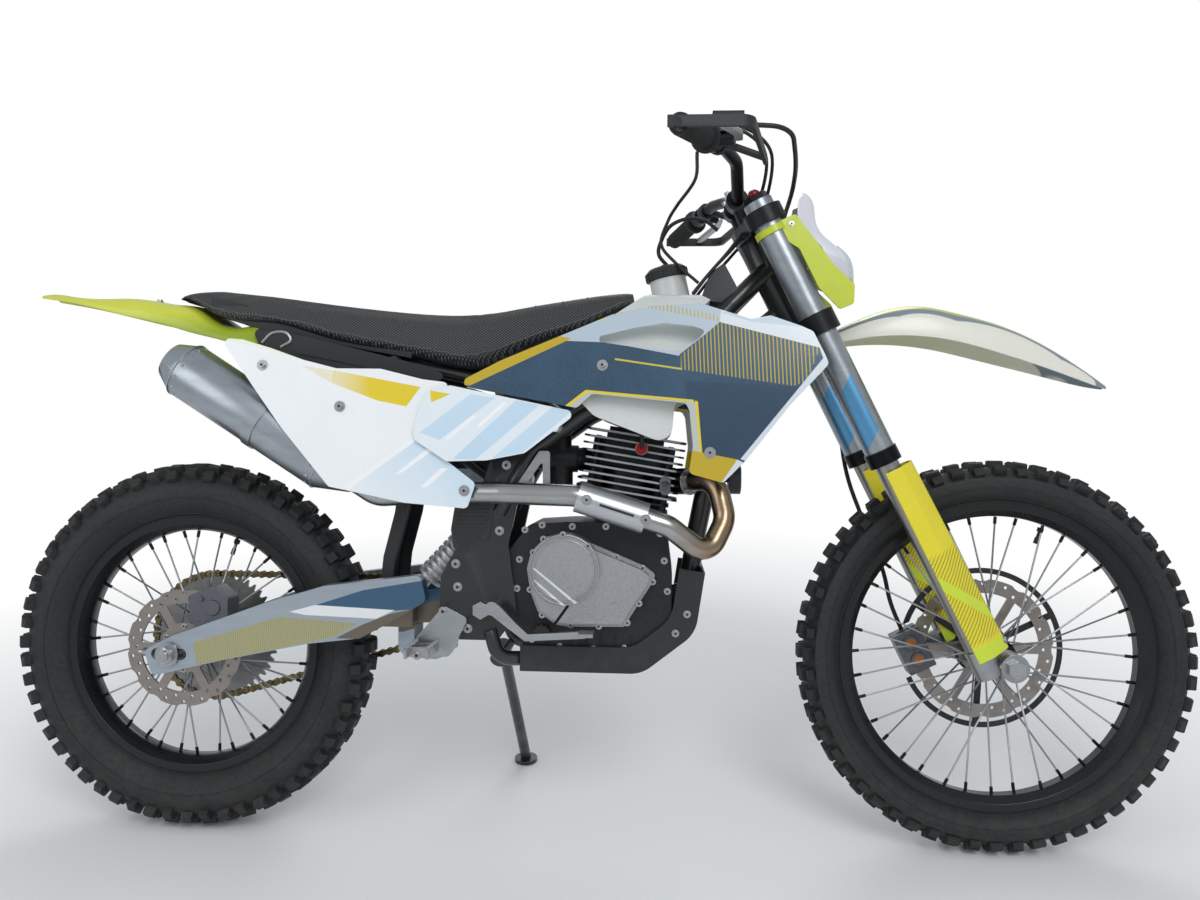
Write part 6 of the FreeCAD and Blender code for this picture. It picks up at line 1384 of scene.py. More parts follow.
@dataclass
class Frame(Assembly):
    """Frame, swingarm, shock, stand and the bolts that show on them."""

    copies: Copies = (
        ("main_frame", "frame", 0.6),
        ("subframe", "frame", 0.4),
        ("swingarm", "swingarm", 1.4),
        ("rear_axle", "steel", 0.6),
        ("pivot_bolt", "steel", 0.5),
        ("shock_absorber", "shock", 0.8),
        ("side_stand", "frame", 0.6),
        ("skid_plate", "plastic", 0.8),
        ("footpegs", "steel", 0.6),
        ("foot_controls", "steel", 0.8),
        ("rear_caliper", "caliper", 1.0),
        ("horn", "plastic", 0.8),
        ("mudflap", "plastic", 0.5),
    )
    plate_bolts: BoltRow = BoltRow("main_frame",
                                   ((591, 573), (513, 513), (517, 472), (602, 690), (536, 398)), 6.0)
    peg_bolts: BoltRow = BoltRow("footpegs", ((497, 432), (466, 366)), 6.0)
    skid_bolts: BoltRow = BoltRow("skid_plate", ((905, 398), (925, 432)))
    boot_plate: Outline = ((515, 645), (590, 668), (572, 560), (538, 533), (508, 540), (504, 575))
    boot_plate_face: float = 99.4
    rib_start: Flat = (504, 538)
    rib_pitch: Pair = (7.0, 6.6)
    rib_columns: int = 14
    rib_rows: int = 20
    rib_size: Size = (6.4, 1.6, 1.8)
    rib_slant: float = 32
    rib_margin: float = 5
    peg_rails: Pair = (451.5, 488.5)
    peg_start: float = 128.0
    teeth: int = 9
    tooth_pitch: float = 9.0
    tooth_foot: float = 379.5
    tooth_height: float = 6.0
    adjuster_y: float = 107.0
    adjuster_reach: Pair = (-62.0, -40.0)
    adjuster_nut: Pair = (-54.0, -47.0)
    axle_washer_y: float = 129.2
    axle_washer_radius: float = 21.0
    caliper_bosses: tuple[tuple[float, float, float, float], ...] = (
        (66.0, 424.0, 15.0, 3.0),
        (44.0, 440.0, 5.0, 4.0),
        (86.0, 400.0, 5.0, 4.0),
    )
    nipple_foot: Point = (52.0, -74.0, 458.0)
    nipple_tip: Point = (48.0, -74.0, 472.0)
    horn_centre: Point = (1021.0, -12.0, 668.0)
    horn_radii: tuple[float, ...] = (10.0, 18.0, 25.0)

    def build(self) -> None:
        """Copies of the frame's nodes and their small pieces."""
        self.copy_all(self.copies)
        self.bolts("plate_bolts", "chassis", self.plate_bolts)
        self.bolts("peg_bolts", "chassis", self.peg_bolts)
        self.mesh_plate()
        self.peg_teeth()
        self.bolts("skid_bolts", "chassis", self.skid_bolts)
        self.adjusters()
        self.horn_face()
        self.caliper_details()

    def on_boot_plate(self, x: float, z: float) -> bool:
        """Whether a place lies on the boot plate.

        Args:
            x: Upright X in millimetres.
            z: Upright Z in millimetres.

        Returns:
            True inside the plate's outline.
        """
        inside = False
        for (x0, z0), (x1, z1) in zip(self.boot_plate, self.boot_plate[1:] + self.boot_plate[:1]):
            if (z0 > z) != (z1 > z) and x < (x1 - x0) * (z - z0) / (z1 - z0) + x0:
                inside = not inside
        return inside

    def mesh_plate(self) -> None:
        """The chevron ribs on the boot plates."""
        maker = Maker(self.stock)
        margins = (-self.rib_margin, self.rib_margin)
        for side in Side:
            for column in range(self.rib_columns):
                for row in range(self.rib_rows):
                    x = self.rib_start[0] + self.rib_pitch[0] * (column + (0.5 if row % 2 else 0.0))
                    z = self.rib_start[1] + self.rib_pitch[1] * row
                    if not all(self.on_boot_plate(x + dx, z + dz) for dx in margins for dz in margins):
                        continue
                    slant = math.radians(self.rib_slant if row % 2 else -self.rib_slant)
                    centre = Vector((x, side.value * self.boot_plate_face, z))
                    maker.block(centre, self.rib_size, Matrix.Rotation(slant, 4, "Y"))
        maker.finish("boot_plate_ribs", "plastic", "chassis", bevel=0.3)

    def peg_teeth(self) -> None:
        """Sharp teeth along the footpegs' rails."""
        maker = Maker(self.stock)
        for side in Side:
            for x in self.peg_rails:
                for i in range(self.teeth):
                    foot = Vector((x, side.value * (self.peg_start + self.tooth_pitch * i),
                                   self.tooth_foot))
                    maker.rod(foot, foot + UP * self.tooth_height, 3.4, 4, 0.8)
        maker.finish("peg_teeth", "steel", "chassis")

    def adjusters(self) -> None:
        """Chain adjusters, from the swingarm's ends to the axle blocks, and the axle's washers."""
        maker = Maker(self.stock)
        for side in Side:
            turned = (self.adjuster_reach, 4.0, 12), (self.adjuster_nut, 7.5, 6)
            for (start, end), radius, segments in turned:
                first = Vector((start, side.value * self.adjuster_y, REAR_AXLE_Z))
                last = Vector((end, side.value * self.adjuster_y, REAR_AXLE_Z))
                maker.rod(first, last, radius, segments)
            place = Vector((0.0, side.value * self.axle_washer_y, REAR_AXLE_Z))
            maker.rod(place, place + Vector((0.0, side.value * 2.0, 0.0)), self.axle_washer_radius, 32)
        maker.finish("chain_adjusters", "steel", "chassis")

    def caliper_details(self) -> None:
        """The rear caliper's piston boss, pad pins and bleed nipple."""
        maker = Maker(self.stock)
        for x, z, radius, height in self.caliper_bosses:
            place, _ = self.stock.on_side("rear_caliper", x, z, Side.RIGHT)
            maker.rod(place + ACROSS, place - ACROSS * height, radius, 28, radius * 0.9)
        maker.rod(Vector(self.nipple_foot), Vector(self.nipple_tip), 3.0, 12)
        maker.finish("rear_caliper_bosses", "caliper", "chassis", bevel=0.6)

    def horn_face(self) -> None:
        """The horn's pressed rings."""
        maker = Maker(self.stock)
        for radius in self.horn_radii:
            maker.ring(Vector(self.horn_centre), AHEAD, radius, 1.0, 40)
        maker.finish("horn_rings", "steel", "chassis")


@dataclass
class Engine(Assembly):
    """Crankcase, covers, finned cylinder, carburettor and their small pieces."""

    copies: Copies = (
        ("crankcase", "case", 1.4),
        ("clutch_cover", "clutch", 1.6),
        ("left_cover", "clutch", 1.4),
        ("cylinder", "cylinder", 0.5),
        ("carburettor", "case", 0.8),
        ("airbox", "plastic", 1.2),
        ("front_sprocket", "sprocket", 0.3),
    )
    clutch_bolts: BoltRow = BoltRow(
        "clutch_cover",
        ((652, 536), (668, 562), (708, 571), (752, 552), (800, 530), (846, 512), (864, 488), (846, 446),
         (826, 412), (770, 408), (720, 409), (668, 424), (646, 470)),
        4.4,
        square=True,
        sides=(Side.RIGHT,),
    )
    case_bolts: BoltRow = BoltRow(
        "crankcase",
        ((634, 576), (666, 584), (720, 582), (780, 583), (840, 584), (876, 572), (884, 524), (890, 470),
         (650, 380), (700, 368), (760, 366), (815, 368), (622, 470), (626, 522)),
        4.6,
        square=True,
        sides=(Side.RIGHT,),
    )
    left_bolts: BoltRow = BoltRow(
        "left_cover",
        ((706, 396), (840, 398), (870, 468), (850, 548), (700, 556), (692, 470)),
        4.6,
        square=True,
        sides=(Side.LEFT,),
    )
    oil_cap_foot: Point = (668.0, -88.0, 392.0)
    oil_cap_radius: float = 15.0
    oil_cap_height: float = 12.0
    oil_cap_grips: int = 12
    dome_top: Point = (711.0, -134.4, 510.0)
    dome_radii: Pair = (52.0, 60.0)
    dome_step: float = 2.6
    barrel_foot: Point = (806.0, 0.0, 590.0)
    barrel_lean: float = 9.0
    web_size: Size = (26.0, 70.0, 118.0)
    web_lead: float = 62.0
    web_height: float = 86.0
    stud_spread: Pair = (66.0, 52.0)
    stud_reach: Pair = (12.0, 148.0)
    stud_radius: float = 5.0
    plug_end: Point = (842.0, -108.0, 722.0)
    lead: tuple[Point, ...] = ((842, -110, 722), (842, -118, 745), (830, -100, 775), (815, -60, 800),
                               (800, -30, 815))
    tensioner_x: float = 884.0
    tensioner_reach: Pair = (-60.0, -76.0)
    tensioner_heights: tuple[float, ...] = (649.0, 656.0, 663.0)
    rib_count: int = 5
    rib_start: float = 720.0
    rib_pitch: float = 26.0
    rib_size: Size = (3.0, 4.0, 26.0)

    def build(self) -> None:
        """Copies of the engine's nodes, and what is bolted to them."""
        self.copy_all(self.copies)
        self.bolts("clutch_cover_bolts", "chassis", self.clutch_bolts)
        self.bolts("case_bolts", "chassis", self.case_bolts, self.left_bolts)
        self.oil_cap()
        self.dome_rings()
        self.plug()
        self.tensioner()
        self.plug_lead()
        self.fin_webs()
        self.case_ribs()

    def oil_cap(self) -> None:
        """The ribbed oil cap low on the right case."""
        maker = Maker(self.stock)
        foot = Vector(self.oil_cap_foot)
        maker.rod(foot, foot + Vector((0.0, -self.oil_cap_height, 0.0)), self.oil_cap_radius, 32)
        for i in range(self.oil_cap_grips):
            turn = 2 * math.pi * i / self.oil_cap_grips
            x, z = self.oil_cap_radius * math.cos(turn), self.oil_cap_radius * math.sin(turn)
            place = foot + Vector((x, -self.oil_cap_height / 2, z))
            maker.rod(place + ACROSS * 5.5, place - ACROSS * 5.5, 1.8, 8)
        maker.finish("oil_cap", "plastic", "chassis", bevel=0.5)

    def dome_rings(self) -> None:
        """Two raised rings round the clutch dome."""
        maker = Maker(self.stock)
        inner, outer = self.dome_radii
        maker.ring(Vector(self.dome_top), ACROSS, inner, 1.4, 64)
        maker.ring(Vector(self.dome_top) + ACROSS * self.dome_step, ACROSS, outer, 1.6, 64)
        maker.finish("clutch_rings", "clutch", "chassis")

    def fin_webs(self) -> None:
        """The dark webs and through studs between the fins, clear of the fins' outer edges."""
        maker = Maker(self.stock)
        lean = Matrix.Rotation(math.radians(self.barrel_lean), 4, "Y")
        turn = Matrix.Translation(self.barrel_foot) @ lean
        for way in (-1, 1):
            maker.block(turn @ Vector((way * self.web_lead, 0.0, self.web_height)), self.web_size, lean)
        low, high = self.stud_reach
        for along in (-self.stud_spread[0], self.stud_spread[0]):
            for across in (-self.stud_spread[1], self.stud_spread[1]):
                foot, top = turn @ Vector((along, across, low)), turn @ Vector((along, across, high))
                maker.rod(foot, top, self.stud_radius, 16)
        maker.finish("fin_webs", "case", "chassis")

    def plug(self) -> None:
        """The red plug cap."""
        maker = Maker(self.stock)
        end = Vector(self.plug_end)
        maker.rod(end + ACROSS * 20.0, end - ACROSS * 4.0, 12.0, 24, 10.0)
        maker.finish("plug_cap", "red", "chassis", bevel=1.0)

    def tensioner(self) -> None:
        """The grey oval cap at the fins' right end."""
        maker = Maker(self.stock)
        inner, outer = self.tensioner_reach
        for z in self.tensioner_heights:
            maker.rod(Vector((self.tensioner_x, inner, z)), Vector((self.tensioner_x, outer, z)), 10.0, 28)
        maker.finish("tensioner_cap", "caliper", "chassis", bevel=0.8)

    def plug_lead(self) -> None:
        """The lead from the plug cap up under the tank."""
        maker = Maker(self.stock)
        maker.tube(smooth(self.lead), 3.6)
        maker.finish("plug_lead", "hose", "chassis")

    def case_ribs(self) -> None:
        """Cast ribs on the crankcase's lower right side."""
        maker = Maker(self.stock)
        for i in range(self.rib_count):
            centre = Vector((self.rib_start + self.rib_pitch * i, -87.6, 378.0))
            maker.block(centre, self.rib_size, Matrix.Rotation(0.2, 4, "Y"))
        maker.finish("case_ribs", "case", "chassis", bevel=0.8)


@dataclass
class Exhaust(Assembly):
    """Header pipe, its heat shield and the silencer."""

    copies: Copies = (("header_pipe", "header", 0.3), ("heat_shield", "shield", 0.6),
                      ("muffler", "muffler", 0.8))
    front: Point = (282.0, -110.0, 690.0)
    rear: Point = (22.0, -110.0, 854.0)
    radius: float = 51.0
    rivets: int = 14
    rivet_inset: float = 10.0
    outlet_reach: float = 34.0
    outlet_radius: float = 17.5
    shield_bolts: BoltRow = BoltRow("heat_shield", ((852, 602), (752, 634)), washer=True,
                                    sides=(Side.RIGHT,))
    slot_start: Flat = (832, 608)
    slot_run: Pair = (-58, 18)
    slot_steps: int = 8
    port: Point = (928.0, -38.0, 664.0)
    port_out: Point = (0.66, -0.75, 0.0)

    def build(self) -> None:
        """Copies, seams, rivets and bolts."""
        self.copy_all(self.copies)
        self.seams()
        self.bolts("shield_bolts", "chassis", self.shield_bolts)
        self.slot()
        self.port_flange()

    def seams(self) -> None:
        """Seam bands and rivets round both ends of the silencer, and its outlet's rolled edge."""
        maker = Maker(self.stock)
        front, rear = Vector(self.front), Vector(self.rear)
        along = (rear - front).normalized()
        side = along.cross(ACROSS).normalized()
        for place, inward in ((front, along), (rear, -along)):
            maker.ring(place, along, self.radius, 1.5, 64)
            inside = place + inward * self.rivet_inset
            for i in range(self.rivets):
                turn = 2 * math.pi * i / self.rivets
                out = side * math.cos(turn) + ACROSS * math.sin(turn)
                maker.rod(inside + out * (self.radius - 0.6), inside + out * (self.radius + 1.2), 3.0, 12,
                          2.0)
        maker.ring(rear + along * self.outlet_reach, along, self.outlet_radius, 1.6, 40)
        maker.finish("muffler_seams", "steel", "chassis")

    def slot(self) -> None:
        """Painted shade: a dark line laid on the heat shield stands for the shade in its long pressed slot.
        """
        maker = Maker(self.stock)
        points = []
        for i in range(self.slot_steps + 1):
            share = i / self.slot_steps
            x, z = (start + run * share for start, run in zip(self.slot_start, self.slot_run))
            place, normal = self.stock.on_side("heat_shield", x, z, Side.RIGHT)
            points.append(place + normal * 0.2)
        maker.tube(points, 2.2, 10)
        # Black plastic here is painted shade for the slot's hollow.
        maker.finish("shield_slot_shade", "plastic", "chassis")

    def port_flange(self) -> None:
        """The flange at the exhaust port."""
        maker = Maker(self.stock)
        centre, out = Vector(self.port), Vector(self.port_out).normalized()
        maker.rod(centre - out * 3.0, centre + out * 3.0, 25.0, 32)
        maker.finish("port_flange", "steel", "chassis", bevel=0.8)


@dataclass
class Bodywork(Assembly):
    """Tank, shrouds, panels, fenders, seat and their fastenings."""

    copies: Copies = (
        ("fuel_tank", "tank", 2.0),
        ("tank_cap", "plastic", 0.8),
        ("tank_shrouds", "shroud", 0.8),
        ("side_panels", "side_panel", 0.8),
        ("airbox_covers", "cover", 0.8),
        ("tail_covers", "undercover", 0.8),
        ("rear_fender", "rear_fender", 0.6),
    )
    panel_bolts: BoltRow = BoltRow("side_panels", ((181, 860), (320, 789), (539, 646)), washer=True)
    shroud_bolts: BoltRow = BoltRow("tank_shrouds", ((776, 862), (958, 716)), washer=True)
    cap_foot: Point = (896.0, 0.0, 984.0)
    cap_lean: Point = (-0.22, 0.0, 1.0)
    cap_rise: float = 54.3
    cap_radius: float = 38.2
    cap_ribs: int = 28
    grab_middle: Flat = (188, 902)
    grab_line: Outline = ((162, 904), (180, 921), (204, 922), (214, 908), (196, 896))
    cover_middle: Flat = (300, 860)
    cover_line: Outline = ((230, 884), (300, 871), (370, 856), (440, 838))
    cover_lifts: Pair = (0.0, 14.0)
    fender_bolt_x: float = -70.0
    fender_bolt_y: float = 34.0
    above_fender: float = 1100.0

    def build(self) -> None:
        """Copies in their graphics, bolts, the ribbed cap and the seat."""
        self.copy_all(self.copies)
        self.bolts("panel_bolts", "chassis", self.panel_bolts, self.shroud_bolts)
        self.cap()
        self.grab_recess_highlight()
        self.cover_lines()
        self.fender_bolts()
        Seat(self.stock).build()

    def cap(self) -> None:
        """Grip ribs and the breather's stub on the filler cap."""
        maker = Maker(self.stock)
        lean = Vector(self.cap_lean).normalized()
        side = lean.cross(ACROSS).normalized()
        foot = Vector(self.cap_foot) + lean * self.cap_rise
        for i in range(self.cap_ribs):
            turn = 2 * math.pi * i / self.cap_ribs
            start = foot + (side * math.cos(turn) + ACROSS * math.sin(turn)) * self.cap_radius
            maker.rod(start + lean * 1.0, start + lean * 15.0, 1.9, 8)
        top = foot + lean * 22.0
        maker.rod(top, top + lean * 6.0, 7.0, 20, 6.0)
        maker.finish("cap_ribs", "plastic", "chassis")

    def grab_recess_highlight(self) -> None:
        """Painted highlight: a pale satin-metal line along the edge of the grab recess in each tail cover,
        where light catches its lip.
        """
        maker = Maker(self.stock)
        for side in Side:
            place, _ = self.stock.on_side("tail_covers", *self.grab_middle, side)
            maker.tube(smooth([(x, place.y + side.value * 0.6, z) for x, z in self.grab_line]), 2.6, 8)
        # The alloy finish on the black cover is a painted highlight, not a metal trim.
        maker.finish("grab_recess_highlight", "alloy", "chassis")

    def cover_lines(self) -> None:
        """The faint moulded curves of the covers below the seat."""
        maker = Maker(self.stock)
        for side in Side:
            place, _ = self.stock.on_side("tail_covers", *self.cover_middle, side)
            for lift in self.cover_lifts:
                line = smooth([(x, place.y + side.value * 0.2, z - lift) for x, z in self.cover_line])
                maker.tube(line, 1.3, 8)
        maker.finish("tail_cover_lines", "undercover", "chassis")

    def fender_bolts(self) -> None:
        """Two bolts on top of the rear fender."""
        maker = Maker(self.stock)
        matrix = self.stock.place.matrix()
        down = (matrix.to_3x3() @ -UP).normalized()
        for y in (-self.fender_bolt_y, self.fender_bolt_y):
            start = matrix @ Vector((self.fender_bolt_x, y, self.above_fender))
            hit, _, _, _ = self.stock.form("rear_fender").ray_cast(start, down)
            if hit is not None:
                maker.bolt(matrix.inverted() @ hit, UP, 5.0)
        maker.finish("fender_bolts", "steel", "chassis")


@dataclass
class Seat(Assembly):
    """The padded seat: a cushion filled by a cloth simulation, with its seams and pleats."""

    cap: float = 7.0
    even_mesh: float = 5.5
    inset: float = 1.0
    pan_inset: float = 12.0
    tray_line: Outline = ((55, 990), (55, 962), (130, 935), (300, 902), (425, 880), (432, 908), (300, 945),
                          (122, 975))
    tray_half: float = 86.0
    welt_line: Outline = ((0, 998), (60, 975), (122, 962), (240, 945), (372, 915), (464, 897), (534, 888),
                          (600, 905), (700, 944), (766, 970), (812, 990))
    welt_y: float = 130.0
    pleat_places: Outline = ((640, 985), (690, 995), (735, 1003))
    pleat_spread: tuple[int, ...] = (-78, -50, -20, 20, 50, 78)
    thread: float = 1.1

    def body(self) -> bpy.types.Object:
        """The seat's closed form in even facets.

        Returns:
            The form, not yet baked.
        """
        mesh = self.stock.merged("seat")
        bmesh.ops.recalc_face_normals(mesh, faces=mesh.faces)
        data = bpy.data.meshes.new("seat_form")
        mesh.to_mesh(data)
        mesh.free()
        made = bpy.data.objects.new("seat_form", data)
        bpy.context.scene.collection.objects.link(made)
        remesh = made.modifiers.new("Even", "REMESH")
        remesh.mode = "VOXEL"
        remesh.voxel_size = self.even_mesh * MM
        return made

    def baked(self, source: bpy.types.Object, name: str) -> bpy.types.Mesh:
        """What an object looks like with its modifiers, as a mesh.

        Args:
            source: The object.
            name: The mesh's name.

        Returns:
            The new mesh.
        """
        graph = bpy.context.evaluated_depsgraph_get()
        data = bpy.data.meshes.new_from_object(source.evaluated_get(graph))
        data.name = name
        return data

    def inflate(self, form: bpy.types.Mesh) -> bpy.types.Mesh:
        """The form puffed out by a short cloth simulation, its moves capped.

        Args:
            form: The even form; its underside is held.

        Returns:
            The puffed mesh.
        """
        made = bpy.data.objects.new("seat_cloth", form)
        scene = bpy.context.scene
        scene.collection.objects.link(made)
        start = [vert.co.copy() for vert in form.vertices]
        pins = made.vertex_groups.new(name="held")
        up = (self.stock.place.matrix().to_3x3() @ UP).normalized()
        for vert in form.vertices:
            if vert.normal.dot(up) < -0.35:
                pins.add([vert.index], 1.0, "REPLACE")
        cloth = made.modifiers.new("Cloth", "CLOTH")
        cloth.settings.quality = 5
        cloth.settings.use_pressure = True
        cloth.settings.uniform_pressure_force = 4.0
        cloth.settings.tension_stiffness = 25.0
        cloth.settings.compression_stiffness = 25.0
        cloth.settings.effector_weights.gravity = 0.0
        cloth.settings.vertex_group_mass = pins.name
        cloth.point_cache.frame_start = 1
        cloth.point_cache.frame_end = 20
        for frame in range(1, 21):
            scene.frame_set(frame)
        done = self.baked(made, "seat_puffed")
        for vert, first in zip(done.vertices, start):
            step = vert.co - first
            if step.length > self.cap * MM:
                vert.co = first + step.normalized() * (self.cap * MM)
        scene.frame_set(1)
        bpy.data.objects.remove(made)
        return done

    def build(self) -> None:
        """The cushion, its base, its seams and its front pleats."""
        form = self.body()
        even = self.baked(form, "seat_even")
        bpy.data.objects.remove(form)
        for vert, normal in zip(even.vertices, [v.normal.copy() for v in even.vertices]):
            vert.co = vert.co - normal * (self.inset * MM)
        data = self.inflate(even)
        mesh = bmesh.new()
        mesh.from_mesh(data)
        bmesh.ops.smooth_vert(mesh, verts=mesh.verts, factor=0.5, use_axis_x=True, use_axis_y=True,
                              use_axis_z=True)
        surface = BVHTree.FromBMesh(mesh)
        cushion = dress(mesh, self.stock, "seat_cushion", "seat", "chassis", ["seat"], "seat_cover",
                        angle=80.0)
        subdivision = cushion.modifiers.new("Smooth", "SUBSURF")
        subdivision.levels = subdivision.render_levels = 1
        self.pan()
        self.tray()
        self.seams(surface)

    def pan(self) -> None:
        """The stiff seat base, which fills the cushion's underside down to its covers."""
        mesh = self.stock.merged("seat")
        up = (self.stock.place.matrix().to_3x3() @ UP).normalized()
        mesh.normal_update()
        moves = []
        for vert in mesh.verts:
            share = min(1.0, max(0.0, (vert.normal.dot(up) + 0.9) / 0.9))
            moves.append((vert, vert.normal * (self.pan_inset * MM * share)))
        for vert, move in moves:
            vert.co -= move
        dress(mesh, self.stock, "seat_pan", "undercover", "chassis", (), "seat_cover")

    def tray(self) -> None:
        """The dark tray between the cushion's lower edge and its side covers."""
        maker = Maker(self.stock)
        verts = [maker.mesh.verts.new((x, -self.tray_half, z)) for x, z in self.tray_line]
        face = maker.mesh.faces.new(verts)
        made = bmesh.ops.extrude_face_region(maker.mesh, geom=[face])
        moved = [item for item in made["geom"] if isinstance(item, bmesh.types.BMVert)]
        bmesh.ops.translate(maker.mesh, verts=moved, vec=(0.0, 2 * self.tray_half, 0.0))
        maker.finish("seat_tray", "undercover", "chassis", bevel=1.0)

    def seams(self, surface: BVHTree) -> None:
        """Welts along both sides and pleats across the front, laid on the cushion.

        Args:
            surface: The cushion's surface in the row frame.
        """
        matrix = self.stock.place.matrix()
        back = matrix.inverted()
        maker = Maker(self.stock)
        lines = [[(x, side.value * self.welt_y, z) for x, z in self.welt_line] for side in Side]
        for x, z in self.pleat_places:
            lines.append([(x + 0.002 * y * y, y, z) for y in self.pleat_spread])
        for line in lines:
            points = []
            for point in smooth(line, 6):
                hit, _, _, _ = surface.find_nearest(matrix @ point)
                points.append(back @ hit)
            maker.tube(points, self.thread, 8)
        maker.finish("seat_seams", "seam", "chassis")


CABLE_ROUTES: dict[str, tuple[Point, ...]] = {
    "throttle_cable": ((938, -270, 1214), (1000, -210, 1246), (1052, -120, 1226), (1040, -56, 1150),
                       (1000, -50, 1088), (960, -52, 1040), (930, -54, 1000)),
    "throttle_return": ((938, -262, 1220), (1000, -200, 1256), (1062, -110, 1236), (1052, -46, 1150),
                        (1006, -40, 1092), (962, -42, 1044), (930, -44, 1004)),
    "clutch_cable": ((985, 250, 1212), (1040, 190, 1230), (1068, 90, 1206), (1044, 50, 1140),
                     (1000, 46, 1084), (960, 46, 1040), (930, 48, 1000)),
    "switch_lead": ((930, -225, 1205), (930, -120, 1190), (900, -60, 1160), (884, -34, 1138),
                    (872, -30, 1096), (900, -34, 1060), (940, -40, 1024)),
    "breather_hose": ((884, 0, 1062), (868, 0, 1082), (870, 0, 1104), (888, 0, 1136), (920, 0, 1150),
                      (952, 0, 1146), (976, 0, 1128)),
}


@dataclass
class Steering(Assembly):
    """Fork, bars, controls, mask, front fender and the cables to the frame."""

    copies: Copies = (
        ("fork_tubes", "tubes", 0.4),
        ("fork_legs", "legs", 0.5),
        ("fork_guards", "guard", 0.6),
        ("lower_clamp", "black_alloy", 1.2),
        ("upper_clamp", "black_alloy", 1.2),
        ("bar_mount", "black_alloy", 0.8),
        ("handlebar", "black_alloy", 0.3),
        ("grips", "rubber", 0.4),
        ("perches", "black_alloy", 0.8),
        ("levers", "alloy", 1.4),
        ("handguards", "plastic", 1.2),
        ("headlight_mask", "mask", 0.8),
        ("headlight", "lens", 1.0),
        ("mask_brackets", "lime", 0.8),
        ("front_fender", "front_fender", 0.6),
        ("front_axle", "steel", 0.6),
        ("front_caliper", "caliper", 1.2),
        ("front_brake_hose", "hose", 0.0),
        ("disc_guard", "plastic", 0.6),
    )
    leg_y: float = 100.0
    pinch_heights: tuple[float, ...] = (664.0, 682.0, 875.0, 889.0)
    pinch_lead: float = -10.0
    riser_y: float = 36.0
    riser_leads: Pair = (-68.0, -48.0)
    riser_top: float = 960.5
    grip_end: Point = (898.2, 405.0, 1193.8)
    grip_run: Point = (0.342, -0.932, 0.124)
    grip_rings: int = 20
    ring_pitch: float = 5.6
    ring_radius: float = 16.5
    fork_lead: float = -38.0
    adjuster_heights: tuple[float, ...] = (924.2, 930.0, 935.0)
    guard_bolt: BoltRow = BoltRow("fork_guards", ((1466.0, 402.0),), 4.6)
    bracket_bolts: BoltRow = BoltRow("mask_brackets", ((1096.0, 1112.0), (1080.0, 1100.0)), 3.6)
    bar_end: BoltRow = BoltRow("handguards", ((899.0, 1194.0),), 6.4, washer=True, square=True)
    boss_heights: Pair = (36.0, 70.0)
    boss_lead: float = -117.0
    caliper_sides: tuple[Pair, ...] = ((38.0, -1.0), (83.7, 1.0))
    caliper_bolt_places: tuple[Point, ...] = (
        (-137.0, 83.7, 53.0),
        (-84.0, 96.2, 24.0),
        (-84.0, 96.2, 46.0),
    )
    lid_centre: Point = (977.4, -260.4, 1255.4)
    lid_size: Size = (50.0, 28.0, 3.0)
    lid_screws: Pair = (960.0, 995.0)
    screw_reach: Pair = (1256.5, 1258.6)

    def build(self) -> None:
        """Copies of the steered nodes and their small pieces."""
        self.copy_all(self.copies)
        self.clamp_bolts()
        self.grip_ribs()
        self.adjusters()
        self.bolts("guard_bolts", "steering", self.guard_bolt, self.bracket_bolts)
        self.bolts("bar_end_bolts", "steering", self.bar_end)
        self.caliper_spots()
        self.caliper_bolts()
        self.reservoir_lid()
        self.cables()

    def clamp_bolts(self) -> None:
        """Pinch bolts of both fork clamps and the bar clamps' bolts."""
        maker = Maker(self.stock)
        for z in self.pinch_heights:
            for side in Side:
                maker.bolt(fork(self.pinch_lead, side.value * self.leg_y, z), side.out, 4.4)
        for side in Side:
            for x in self.riser_leads:
                place = fork(x, side.value * self.riser_y, self.riser_top)
                up = fork(x, side.value * self.riser_y, self.riser_top + 9.5) - place
                maker.rod(place - up * 0.3, place + up * 0.5, 4.6, 20)
        maker.finish("clamp_bolts", "steel", "steering")

    def grip_ribs(self) -> None:
        """Fine rings along the rubber grips."""
        maker = Maker(self.stock)
        for side in Side:
            outer = Vector((self.grip_end[0], side.value * self.grip_end[1], self.grip_end[2]))
            inward = Vector((self.grip_run[0], side.value * self.grip_run[1],
                             self.grip_run[2])).normalized()
            for i in range(self.grip_rings):
                maker.ring(outer + inward * (8.0 + self.ring_pitch * i), inward, self.ring_radius, 0.9, 28)
        maker.finish("grip_rings", "rubber", "steering")

    def adjusters(self) -> None:
        """Red and silver damping adjusters on the fork caps."""
        maker = Maker(self.stock)
        silver = Maker(self.stock)
        for side in Side:
            wide = side.value * self.leg_y
            foot, middle, top = (fork(self.fork_lead, wide, z) for z in self.adjuster_heights)
            maker.rod(foot, middle, 11.0, 28)
            silver.rod(middle, top, 5.0, 20)
        maker.finish("fork_adjusters", "red", "steering", bevel=0.6)
        silver.finish("fork_adjuster_tops", "steel", "steering")

    def caliper_spots(self) -> None:
        """Two bosses with amber spots on each face of the front caliper."""
        boss = Maker(self.stock)
        spot = Maker(self.stock)
        for z in self.boss_heights:
            for y, out in self.caliper_sides:
                place = fork(self.boss_lead, y, z)
                boss.rod(place, place + Vector((0.0, out * 3.0, 0.0)), 15.0, 32, 13.5)
                top = place + Vector((0.0, out * 2.6, 0.0))
                spot.rod(top, top + Vector((0.0, out * 1.2, 0.0)), 9.5, 28)
        boss.finish("caliper_bosses", "caliper", "steering", bevel=0.8)
        spot.finish("caliper_spots", "amber", "steering", bevel=0.4)

    def caliper_bolts(self) -> None:
        """The front caliper's bolts."""
        maker = Maker(self.stock)
        for x, y, z in self.caliper_bolt_places:
            maker.bolt(fork(x, y, z), ACROSS, 4.6)
        maker.finish("caliper_bolts", "steel", "steering")

